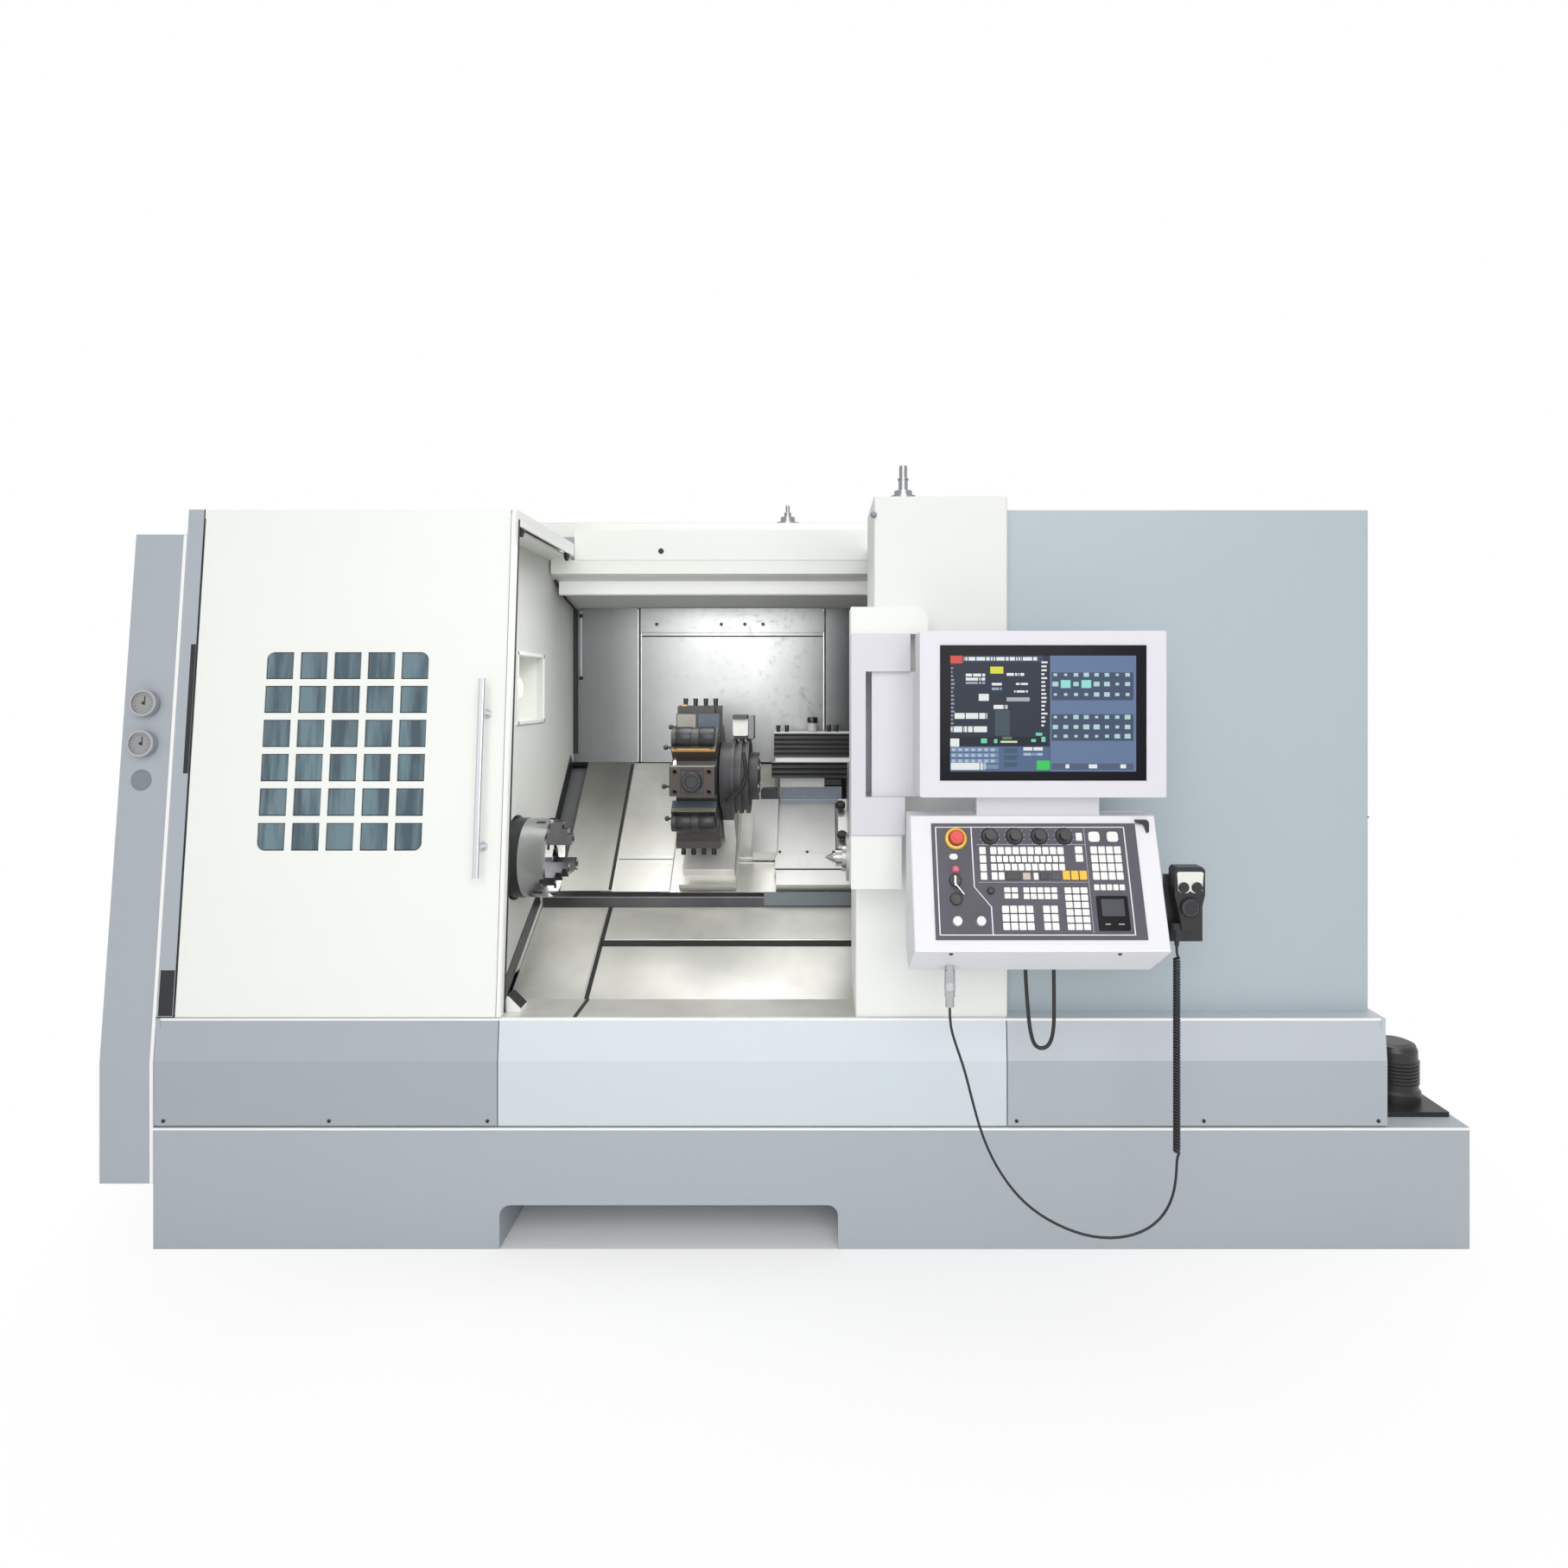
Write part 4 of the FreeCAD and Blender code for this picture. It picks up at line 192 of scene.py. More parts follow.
floor_mesh = bpy.data.meshes.new("studio_floor")
corners = [(-40, -40, 0), (40, -40, 0), (40, 40, 0), (-40, 40, 0)]
floor_mesh.from_pydata(corners, [], [(0, 1, 2, 3)])
studio_floor = bpy.data.objects.new("studio_floor", floor_mesh)
bpy.context.scene.collection.objects.link(studio_floor)
pale, shader, wire = finish_named("pale_floor")
shader.inputs["Base Color"].default_value = (0.9, 0.9, 0.9, 1)
shader.inputs["Roughness"].default_value = 0.9
spot = wire.place()
reach = wire.node("ShaderNodeVectorMath", {"operation": "LENGTH"}, {0: spot}, 1)
aside, back = (wire.sum_of("ABSOLUTE", wire.part(n, spot), 0.0) for n in (0, 1))
outside = wire.sum_of("MAXIMUM", aside > 1.82, back > 0.849)
eye, gloss, glass = light_path(wire)
seen = wire.sum_of("MAXIMUM", wire.sum_of("MAXIMUM", eye, glass), gloss)
white = wire.node("ShaderNodeEmission", {}, {"Color": (1, 1, 1, 1), "Strength": 1.0})
share = seen * outside * reach.ramp(1.0, 2.3, 0.6, 1.0)
matt = Wire(wire.tree, shader.outputs[0])
blended = wire.node("ShaderNodeMixShader", {}, {0: share, 1: matt, 2: white})
blended.into(pale.node_tree.nodes["Material Output"], "Surface")
floor_mesh.materials.append(pale)


# ---- Handset cord and hose loop
# The handset's cord is a moulded rubber lead: 60 mm straight out of the gland, a tight curl, then a
# slack tail to the round connector under the desk. An armoured hose loops beside it.
def moulded(name, colour, rough=0.45, grain=700.0, depth=0.0004):
    """Moulded plastic or rubber: plain colour with a fine grain and slightly uneven gloss."""
    made, shader, wire = finish_named(name)
    where = wire.place()
    grains = wire.clouds(where, grain, 2.0)
    drift = wire.clouds(where, 9.0, 2.0)
    darker = tuple(c * 0.82 for c in colour[:3]) + (1,)
    wire.blend(drift, colour, darker).into(shader, "Base Color")
    (rough - 0.06 + drift * 0.12).into(shader, "Roughness")
    wire.bump(grains, 0.3, depth).into(shader, "Normal")
    return made


def spline_piece(name, points, diameter, material, body, steps=12):
    """Round line of that diameter. Its centreline is the NURBS spline of order 3 of the points."""
    data = bpy.data.curves.new(name, "CURVE")
    data.dimensions = "3D"
    data.bevel_depth = diameter / 2
    data.bevel_resolution = 4
    data.resolution_u = steps
    data.use_fill_caps = True
    line = data.splines.new("NURBS")
    line.points.add(len(points) - 1)
    line.points.foreach_set("co", np.column_stack([points, np.ones(len(points))]).ravel())
    line.order_u = 3
    line.use_endpoint_u = True
    data.materials.append(material)
    made = bpy.data.objects.new(name, data)
    bpy.context.scene.collection.objects.link(made)
    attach(made, body)
    return made


soft_rubber = moulded("soft_rubber", (0.014, 0.014, 0.015, 1), 0.5)
cord_top = (0.920, -1.1, 0.938)
CORD_WIDE, LEAD_LONG, TAIL_LONG = 0.0065, 0.06, 1.09
curl_from, curl_to = 0.878, 0.392
curl_turns, turn_points = 66, 12
curl_radius = 0.00625
turn_angle = np.arange(curl_turns * turn_points) * (2 * math.pi / turn_points)
curl = np.column_stack([
    cord_top[0] + curl_radius * np.cos(turn_angle),
    cord_top[1] + curl_radius * np.sin(turn_angle),
    np.linspace(curl_from, curl_to, len(turn_angle)),
])


def upright(points, y):
    """Points in metres from millimetres x and z, in the upright plane at y metres."""
    flat = np.array(points) / 1000.0
    return np.column_stack([flat[:, 0], np.full(len(flat), y), flat[:, 1]])


tail = upright([
    (920, 372), (920, 345), (914, 290), (894, 241), (858, 203), (808, 180), (744, 173), (677, 184),
    (606, 214), (548, 253), (503, 300), (460, 365), (428, 440), (407, 516), (386, 600), (364, 662),
    (349, 712), (349, 757),
], cord_top[1])
lead = np.array([cord_top, (0.920, -1.1, 0.915), (0.920, -1.1, 0.888)])
cord_points = np.vstack([lead, curl, tail])
handset_line = spline_piece("handset_line", cord_points, CORD_WIDE, soft_rubber, "panel", 3)
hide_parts("handset_cord", "curly_cord")

HOSE_WIDE, HOSE_LONG = 0.010, 0.4845
hose_route = upright([
    (553, 855.4), (554, 815), (559, 740), (566, 668), (580, 628), (612, 628), (627, 668), (628, 740),
    (627, 815), (627, 855.4),
], -1.035)
hose_line = spline_piece("hose_line", hose_route, HOSE_WIDE, soft_rubber, "panel")
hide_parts("hose_loop")


# ---- Enclosure paint
# The sheet covers are powder coated: an even satin coat with a fine orange peel, a slow drift in
# shade from panel to panel, and a film of dust that thickens towards the floor.
def powder_coat(name, colour, peel=900.0, gloss=0.42, dust=0.06, painted_light_above_fold=0.0, painted_shade_aloft=0.0):
    """Coat of one colour. Wide noise drifts its shade, fine noise raises the peel, height adds dust.

    The fold share paints the coat paler above the skirt's fold, at z 0.523 m, as painted light on
    the upper band. The aloft share paints it darker at a height of 2 m than at 1.1 m, as painted shade."""
    made, shader, wire = finish_named(name)
    where = wire.place()
    drift = wire.clouds(where, 1.6, 2.0)
    speck = wire.clouds(where, 60.0, 4.0, 0.65)
    darker = tuple(c * 0.93 for c in colour[:3]) + (1,)
    shade = wire.blend(drift * 0.7 + speck * 0.15, colour, darker)
    height = wire.part(2, where)
    # Painted light: above the skirt's fold, at z 0.523 m, the coat is painted paler by the fold share.
    shade = wire.blend((height > 0.523) * painted_light_above_fold, shade, (0.9, 0.93, 0.95, 1))
    # Painted shade: the coat is painted darker from 1.1 m up to 2 m by the aloft share.
    shade = wire.blend(height.ramp(1.1, 2.0) * painted_shade_aloft, shade, (0.2, 0.2, 0.2, 1))
    film = height.ramp(0.0, 0.5, 1.0, 0.0) * speck * (dust * 2.0)
    wire.blend(film, shade, (0.33, 0.31, 0.28, 1)).into(shader, "Base Color")
    (drift + speck * 0.5).ramp(0.4, 1.1, gloss - 0.05, gloss + 0.07).into(shader, "Roughness")
    wire.bump(wire.clouds(where, peel, 1.0), 0.25, 0.0006).into(shader, "Normal")
    return made


def dress(material, slot, *names):
    """Gives CAD nodes their material. The slot is not used."""
    for name in names:
        nodes[name].data.materials.clear()
        nodes[name].data.materials.append(material)


def reopened(material):
    """A finished material's shader, a wire to go on with, and the wire of its base colour."""
    shader = material.node_tree.nodes["Principled BSDF"]
    colour = shader.inputs["Base Color"].links[0].from_socket
    return shader, Wire(material.node_tree), Wire(material.node_tree, colour)


WHITE, GREY = tint(241, 243, 238), tint(172, 180, 187)
SMOOTH = {"peel": 1500.0, "gloss": 0.5, "dust": 0.0}
white_coat = powder_coat("white_coat", WHITE)
# The column and the cabin's side wall and ceiling are painted darker towards the top: painted shade.
column_coat = powder_coat("column_coat", tint(238, 240, 236), painted_shade_aloft=0.16)
cabin_coat = powder_coat("cabin_coat", tint(238, 240, 235), painted_shade_aloft=0.34)
grey_coat = powder_coat("grey_coat", GREY)
dress(white_coat, "paint_white", "sliding_door", "left_front_panel", "header_fascia", "work_lamp")
dress(column_coat, "paint_white", "right_column")
dress(cabin_coat, "paint_white", "side_wall_left", "ceiling_panel")
dress(grey_coat, "paint_grey", "base_tank", "rear_cover", "electrical_cabinet", "cabinet_door",
      "left_end_cover")
# The skirts' coats are painted paler above their fold, as painted light on the upper band.
for name, colour, extra, slot, node in [
    ("apron_coat", GREY, {"painted_light_above_fold": 0.2}, "paint_grey", "apron_right"),
    # The left skirt's coat is a darker copy of the skirt grey: painted shade under the door.
    ("painted_shade_coat", tint(164, 173, 180), {"painted_light_above_fold": 0.06}, "paint_grey", "apron_left"),
    ("pale_coat", tint(206, 216, 221), {"painted_light_above_fold": 0.16}, "paint_light", "apron_middle"),
    ("cover_coat", tint(176, 188, 194), {}, "paint_light", "right_cover"),
    ("panel_coat", tint(216, 215, 221), SMOOTH, "paint_panel", "monitor_box"),
    ("desk_coat", tint(229, 229, 233), SMOOTH, "paint_panel", "operator_box"),
]:
    dress(powder_coat(name, colour, **extra), slot, node)

# The bracket is white above and below the monitor and grey between.
MONITOR_TOP, MONITOR_FOOT = 1.703, 1.166
bracket_coat = powder_coat("bracket_coat", tint(210, 209, 215), **SMOOTH)
shader, wire, grey = reopened(bracket_coat)
height = wire.part(2, wire.place())
beyond = (height > MONITOR_TOP) + (1.0 - (height > MONITOR_FOOT))
wire.blend(beyond, grey, tint(229, 231, 227)).into(shader, "Base Color")
dress(bracket_coat, "paint_panel", "arm_bracket")


# ---- Tank and skirt edge highlights
# The tank's top edge and the skirt's ledge carry thin bright strips: painted highlights where the
# light catches those edges. The tank's strip runs its whole width, and the ledge's ends where the pump
# stands.
def at(x, depth, z):
    """Points in metres from millimetres: x across, depth behind the tank's front, z from the floor."""
    x, depth, z = (np.asarray(v) / 1000.0 for v in (x, depth, z))
    return np.stack(np.broadcast_arrays(x, depth - 0.85, z), -1)


def ring_faces(copies, rings, around):
    """Quads between neighbouring rings of every copy, and a flat cap on its first and last ring."""
    copy = np.arange(copies)[:, None, None] * (rings * around)
    row = copy + np.arange(rings - 1)[None, :, None] * around
    here = row + np.arange(around)
    after = row + (np.arange(around) + 1) % around
    quads = np.stack([here, after, after + around, here + around], -1).reshape(-1, 4).tolist()
    base = np.arange(copies)[:, None] * (rings * around)
    low = (base + np.arange(around)[::-1]).tolist()
    high = (base + (rings - 1) * around + np.arange(around)).tolist()
    return quads + low + high


def new_piece(name, shape, material, body, tones=None, smooth=None):
    """Mesh of a shape (its points and faces), normals outwards, riding that body.

    Tones is one colour for each copy in the shape, kept as the attribute tone. Smooth is the angle
    in degrees up to which neighbouring faces shade as one."""
    points, faces = shape
    flat = np.reshape(points, (-1, 3))
    mesh = bpy.data.meshes.new(name)
    mesh.from_pydata(flat.tolist(), [], faces)
    whole = bmesh.new()
    whole.from_mesh(mesh)
    bmesh.ops.recalc_face_normals(whole, faces=whole.faces)
    whole.to_mesh(mesh)
    whole.free()
    if tones is not None:
        tones = np.atleast_2d(tones)
        each = np.repeat(tones, len(flat) // len(tones), axis=0)
        mesh.color_attributes.new("tone", "FLOAT_COLOR", "POINT").data.foreach_set("color", each.ravel())
    if smooth:
        mesh.shade_smooth()
        mesh.set_sharp_from_angle(angle=math.radians(smooth))
    mesh.materials.append(material)
    made = bpy.data.objects.new(name, mesh)
    bpy.context.scene.collection.objects.link(made)
    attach(made, body)
    return made


def carried(outline, stations, across, up):
    """Bars. The outline's points (u, v) are carried, unturned, to every station of the path."""
    outline = np.asarray(outline, float)
    flat = outline[:, 0:1] * np.asarray(across, float) + outline[:, 1:2] * np.asarray(up, float)
    points = np.asarray(stations, float)[:, None, :] + flat[None]
    return points, ring_faces(1, len(stations), len(outline))


def joined(*shapes):
    """Several shapes as one: their points in a row, and their faces counted on."""
    points, faces, start = [], [], 0
    for shape in shapes:
        flat = np.reshape(shape[0], (-1, 3))
        points.append(flat)
        faces += [[start + i for i in face] for face in shape[1]]
        start += len(flat)
    return np.concatenate(points), faces


ALONG_X = (0, 1, 0), (0, 0, 1)
UPRIGHT = (1, 0, 0), (0, 1, 0)
FRONT_TO_BACK = (1, 0, 0), (0, 0, 1)


def bar(section, stations, lie):
    """Bar whose corners are cut at 45 degrees. Section is its width, its height and that cut, and lie
    is the pair of directions that they span."""
    w, h, cut = section[0] / 2, section[1] / 2, section[2]
    right = [(w, h - cut), (w - cut, h), (cut - w, h), (-w, h - cut)]
    return carried(right + [(-u, -v) for u, v in right], stations, *lie)


bright_edge = powder_coat("bright_edge", tint(246, 247, 245), peel=1400.0, gloss=0.35, dust=0.0)
HIGHLIGHT_STRIP = (0.004, 0.007, 0.001)
tank_edge_highlight = bar(HIGHLIGHT_STRIP, at([-1828, 1828], -1.6, 334.2), ALONG_X)
ledge_edge_highlight = bar(HIGHLIGHT_STRIP, at([-1826.5, 1599.5], 11.0, 634.4), ALONG_X)
new_piece("tank_and_ledge_edge_highlights", joined(tank_edge_highlight, ledge_edge_highlight), bright_edge, "root")


# ---- Left end cover
# A leaning grey box. A white strip down its joint to the front panel is a painted highlight on that
# edge, and two chrome pressure gauges sit over the blanked hole for a third.
LEAN = math.radians(5.5)
FOLD_Z = 518.0
LEAN_UP = np.array([0.0, math.sin(LEAN), math.cos(LEAN)])
LEAN_OUT = np.array([0.0, -math.cos(LEAN), math.sin(LEAN)])


def leaning(x, z, setback=0.0):
    """Points in metres on the front, which leans back from its fold upwards."""
    z = np.asarray(z, float)
    return at(x, np.maximum(z - FOLD_Z, 0.0) * math.tan(LEAN) + setback, z)


def plates(places, origin, across=(1, 0, 0), up=(0, 0, 1), rise=0.0015, corner=0.002, soften=0.0006):
    """Rounded plates standing on a plane. A place is (u, v, width, height) in metres along across and up.

    The outline is sgn * (half - r) + r (cos a, sin a) over sixteen angles a. Three rings carry it: in
    the plane, at the shoulder, and drawn in by the softening on top."""
    places = np.atleast_2d(np.asarray(places, float))
    across, up, origin = (np.asarray(v, float) for v in (across, up, origin))
    quarter = np.arange(16) // 4
    angle = np.radians(quarter * 90 + np.arange(16) % 4 * 30)
    sign = np.array([(1, 1), (-1, 1), (-1, -1), (1, -1)])[quarter]
    half = places[:, None, None, 2:4] / 2 - np.array([0, 0, soften])[None, :, None, None]
    radius = np.minimum(corner, half.min(-1, keepdims=True))
    flat = sign * (half - radius) + radius * np.column_stack([np.cos(angle), np.sin(angle)])
    flat = flat + places[:, None, None, 0:2]
    lift = np.array([-0.0003, rise - soften, rise])[None, :, None, None]
    points = origin + flat[..., 0:1] * across + flat[..., 1:2] * up + lift * np.cross(across, up)
    return points, ring_faces(len(places), 3, 16)


def turned(profile, origins, axis, count=32):
    """Turned parts. Each profile point (r, h) becomes a ring of radius r at height h along the axis."""
    profile = np.asarray(profile, float)
    origins = np.atleast_2d(np.asarray(origins, float))
    axis = np.asarray(axis, float) / np.linalg.norm(axis)
    side = np.cross(axis, (0.0, 0.0, 1.0) if abs(axis[2]) < 0.9 else (1.0, 0.0, 0.0))
    side = side / np.linalg.norm(side)
    angle = np.arange(count) * (2 * math.pi / count)
    spoke = np.cos(angle)[:, None] * side + np.sin(angle)[:, None] * np.cross(axis, side)
    body = profile[:, None, 0:1] * spoke + profile[:, None, 1:2] * axis
    points = origins[:, None, None, :] + body
    return points, ring_faces(len(origins), len(profile), count)


def lathed(name, profile, origins, axis, count, material, body):
    """New piece of turned parts, shaded smooth up to 35 degrees."""
    shape = turned(profile, origins, axis, count)
    return new_piece(name, shape, material, body, smooth=35)


def spread(u, v, width, height):
    """Places for plates, from single values or a value for each plate."""
    return np.stack(np.broadcast_arrays(u, v, width, height), -1)


def dots(radius, angle, size):
    """Places of square dots on a circle, at angles from the plane's up."""
    return spread(radius * np.sin(angle), radius * np.cos(angle), size, size)


dark_gap = moulded("dark_gap", (0.02, 0.021, 0.023, 1), 0.6)
joint_highlight = bar((0.009, 0.005, 0.001), leaning(-1832.0, [184, FOLD_Z, 1990, 2007], -2.0), UPRIGHT)
new_piece("end_cover_joint_highlight", joint_highlight, bright_edge, "root")
gauge_feet = leaning(-1907.5, [1514, 1399]) + LEAN_OUT * 0.0003
dial_card = moulded("dial_card", (0.34, 0.35, 0.36, 1), 0.25)
trim_grey = powder_coat("trim_grey", tint(128, 137, 144), peel=1400.0, gloss=0.4, dust=0.0)
card = [(0.0315, 0.0215), (0.0315, 0.0230), (0.0300, 0.0236), (0.0010, 0.0236)]
lathed("gauge_cards", card, gauge_feet, LEAN_OUT, 40, dial_card, "root")
CARD_TOP = 0.0236
needle = np.array([[0.004, 0.007, 0.0030, 0.026], [0, 0, 0.008, 0.008]])
marks = np.vstack([dots(0.0245, np.radians(np.linspace(-135, 135, 13)), 0.0024), needle])
dial_marks = [plates(marks, foot + LEAN_OUT * CARD_TOP, up=LEAN_UP, rise=0.0007, corner=0.0012,
                     soften=0.0002) for foot in gauge_feet]
new_piece("gauge_marks", joined(*dial_marks), dark_gap, "root")
blank = [(0.030, -0.0004), (0.030, 0.0006), (0.0285, 0.0014), (0.0270, 0.0006), (0.0262, 0.0016),
         (0.0010, 0.0020)]
lathed("gauge_hole_blank", blank, leaning(-1915.0, 1296.0), LEAN_OUT, 40, trim_grey, "root")


# ---- Sliding door
# One folded sheet with thirty rounded cut-outs over a smoked pane. A grey guide strip runs down its
# closing edge, a rail with rollers hangs under its roof, and a wedge centres it at the bottom.
def fixed(material, **values):
    """Gives inputs of a material's shader one even value each. Their names carry _ for a space."""
    inputs = material.node_tree.nodes["Principled BSDF"].inputs
    for name, value in values.items():
        inputs[name.replace("_", " ")].default_value = value


def bolts(name, body, profile, origins, axis, count):
    """New piece of dark turned steel parts."""
    return lathed(name, profile, origins, axis, count, dark_metal, body)


def grid(across, up):
    """Every pair of those values: a list of the first and a list of the second."""
    return (values.ravel() for values in np.meshgrid(across, up))


smoked, shader, wire = finish_named("smoked_pane")
tall = wire.clouds(wire.place(scale=(14, 14, 0.5)), 1.6, 3.0, 0.6)
soft = wire.clouds(wire.place(), 3.0, 2.0)
streak = tall.ramp(0.40, 0.60)
glass_tone = wire.blend(streak, tint(46, 68, 80), tint(102, 128, 138))
wire.blend(soft * 0.4, glass_tone, tint(84, 108, 118)).into(shader, "Base Color")
(0.10 + streak * 0.08).into(shader, "Roughness")
fixed(smoked, Coat_Weight=0.6)
dress(smoked, "glass", "window_glass")

DOOR_FOOT, DOOR_TOP = 642.0, 2083.0
WHOLE_DOOR = [DOOR_FOOT, DOOR_TOP]
for name, section, line, material, slot in [
    ("door_edge_guide", (0.010, 0.008, 0.002), (-873.5, [DOOR_FOOT, 1100, 1600, 2070], -3.2),
     bright_edge, "aluminium"),
    ("door_edge_seam", (0.0022, 0.003, 0.0004), (-880.5, WHOLE_DOOR, 0.2), trim_grey, "rubber"),
    ("door_edge_gasket", (0.004, 0.008, 0.001), (-866.4, [644, 1300, 2058], 27.0), dark_gap, "rubber"),
    ("door_tail_sheet", (0.047, 0.002, 0.0004), (-1804.0, WHOLE_DOOR, -0.5), grey_coat, "paint_grey"),
]:
    new_piece(name, bar(section, leaning(*line), UPRIGHT), material, "door")
tail_slots_and_shadow = [bar(section, leaning(*line), UPRIGHT) for section, line in (
    ((0.014, 0.002, 0.0004), (-1789.0, [1315.0, 1686.0], -1.0)),
    ((0.040, 0.002, 0.0004), (-1803.0, [644.0, 768.0], -1.0)),
    # Painted shadow: a dark line along the door's left edge line.
    ((0.0024, 0.003, 0.0004), (-1780.0, WHOLE_DOOR, -0.8)),
)]
new_piece("door_tail_slots_and_shadow", joined(*tail_slots_and_shadow), dark_gap, "door")

CELL_PITCH = 0.0975
column, row = grid((np.arange(5) - 2) * CELL_PITCH, (np.arange(6) - 2.5) * CELL_PITCH / math.cos(LEAN))
for name, wide, rise, corner, soften, material, slot in [
    ("window_cell_seals", 0.082, 0.001, 0.001, 0.0002, dark_gap, "rubber"),
    ("window_cell_panes", 0.0735, 0.0022, 0.003, 0.0006, smoked, "glass"),
]:
    cells = plates(spread(column, row, wide, wide), leaning(-1341.0, 1380.0, 5.0), up=LEAN_UP,
                   rise=rise, corner=corner, soften=soften)
    new_piece(name, cells, material, "door")

new_piece("door_roof_rail", bar((0.016, 0.012, 0.002), at(-876.0, [190, 800], 2054.0), FRONT_TO_BACK),
          dark_gap, "door")
new_piece("door_rail_cover", bar((0.006, 0.020, 0.001), at(-869.5, [176, 812], 2050.0), FRONT_TO_BACK),
          bright_edge, "door")
dark_metal = moulded("dark_metal", (0.05, 0.052, 0.055, 1), 0.35)
fixed(dark_metal, Metallic=0.7)
bolt = [(0.0085, -0.0005), (0.0085, 0.0020), (0.0075, 0.0045), (0.0055, 0.0060), (0.0034, 0.0060),
        (0.0030, 0.0030), (0.0005, 0.0030)]
small_bolt = [(r * 0.6, h * 0.6) for r, h in bolt]
roller = [(0.004, -0.004), (0.015, 0.001), (0.017, 0.004), (0.017, 0.010), (0.015, 0.012),
          (0.006, 0.013), (0.006, 0.016), (0.001, 0.016)]
bolts("door_rail_rollers", "door", roller, at(-884.0, [752, 230], 2032.0), (1, 0, 0), 28)

wedge = [(0.0, 0.0), (0.040, 0.0), (0.040, 0.010), (0.006, 0.044), (0.0, 0.044)]
pad = [(0.0, 0.0442), (0.0061, 0.0442), (0.0402, 0.0102), (0.0402, 0.0130), (0.0071, 0.0465), (0.0, 0.0465)]
new_piece("door_wedge", carried(wedge, at(-866.7, [60, 118], 638.2), *FRONT_TO_BACK), white_coat,
          "root")
new_piece("door_wedge_pad", carried(pad, at(-866.7, [62, 116], 638.2), *FRONT_TO_BACK), dark_gap,
          "root")


# ---- Door handle
# A drawn aluminium bar on two short posts, brushed along its length.
def drawn_steel(name, colour, along, rough=0.34, stain=0.25, dark=0.8):
    """Metal with long streaks: noise squeezed across the drawing and pulled out along it."""
    made, shader, wire = finish_named(name)
    streak = wire.clouds(wire.place(scale=along), 30.0, 5.0, 0.7)
    blotch = wire.clouds(wire.place(), 5.0, 3.0, 0.6)
    dull = tuple(c * dark for c in colour[:3]) + (1,)
    wire.blend(blotch * stain + streak * 0.4, colour, dull).into(shader, "Base Color")
    (rough - 0.09 + streak * 0.1 + blotch * 0.1).into(shader, "Roughness")
    wire.bump(streak, 0.3, 0.0003).into(shader, "Normal")
    fixed(made, Metallic=1.0)
    return made


satin_aluminium = drawn_steel("satin_aluminium", (0.62, 0.64, 0.67, 1), (12, 12, 1), rough=0.36, stain=0.1)
dress(satin_aluminium, "aluminium", "door_handle")


# ---- Header, ceiling and side wall
# Folded sheets over the opening: a fascia with one access hole, a lip, and the wall beside the chuck
# with its lit recess. A black lamp cable runs down the wall's far corner.
hole_rim = [(0.010, -0.0002), (0.010, 0.0012), (0.0085, 0.0020), (0.0080, 0.0006), (0.0005, 0.0006)]
new_piece("fascia_hole", turned(hole_rim, at(-552.0, 820.6, 2060.0), (0, -1, 0), 24), dark_gap,
          "root")
cable = at([-950, -950, -949, -947, -945], [870, 940, 1010, 1090, 1150], [1958, 1930, 1904, 1888, 1872])
spline_piece("lamp_cable", cable, 0.009, soft_rubber, "root", 6)
beam = [(-0.003, 0.035), (-0.003, -0.031), (0.001, -0.035), (0.026, -0.035), (0.026, -0.031),
        (0.003, -0.030), (0.003, 0.035)]
new_piece("ceiling_fold", carried(beam, at([-943, 552], 895.0, 1943.0), *ALONG_X), bright_edge,
          "root")
roof_strip = plates([[-0.637, 2.167, 2.378, 0.054], [-1.3915, 2.090, 0.869, 0.098]], at(0.0, 1000.0, 0.0))
new_piece("roof_front_strip", roof_strip, white_coat, "root")
new_piece("wall_corner_seal", bar((0.016, 0.010, 0.002), at(-952.0, 1171.0, [1300, 1875]), UPRIGHT),
          dark_gap, "root")
new_piece("wall_hinge_strip", bar((0.007, 0.005, 0.001), at(-930.0, 1174.5, [1588, 1868]), UPRIGHT),
          satin_aluminium, "root")
bolts("wall_hinge_bolts", "root", bolt, at(-931, 1172.0, [1602, 1852]), (0, -1, 0), 16)

lamp_glow, shader, wire = finish_named("lamp_glow")
even = wire.clouds(wire.place(), 8.0, 2.0)
wire.blend(even * 0.4, (0.95, 0.93, 0.85, 1), (0.80, 0.79, 0.73, 1)).into(shader, "Base Color")
fixed(lamp_glow, Emission_Color=(1.0, 0.97, 0.88, 1), Emission_Strength=0.45)
globe = [(0.0228, 0.001), (0.0230, 0.0119), (0.0390, 0.0216), (0.0411, 0.0400), (0.0285, 0.0500),
         (0.0010, 0.0552)]
new_piece("lamp_globe", turned(globe, at(-1045.3, 602.5, 1560.0), (1, 0, 0), 40), lamp_glow,
          "root", smooth=60)
FRAME_STRIP = (0.005, 0.012, 0.001)
window_frame = [bar(FRAME_STRIP, at(-958.3, [449, 756], z), FRONT_TO_BACK) for z in (1446, 1674)]
window_frame += [bar(FRAME_STRIP, at(-958.3, d, [1440, 1680]), UPRIGHT) for d in (456, 749)]
new_piece("lamp_window_frame", joined(*window_frame), bright_edge, "root")
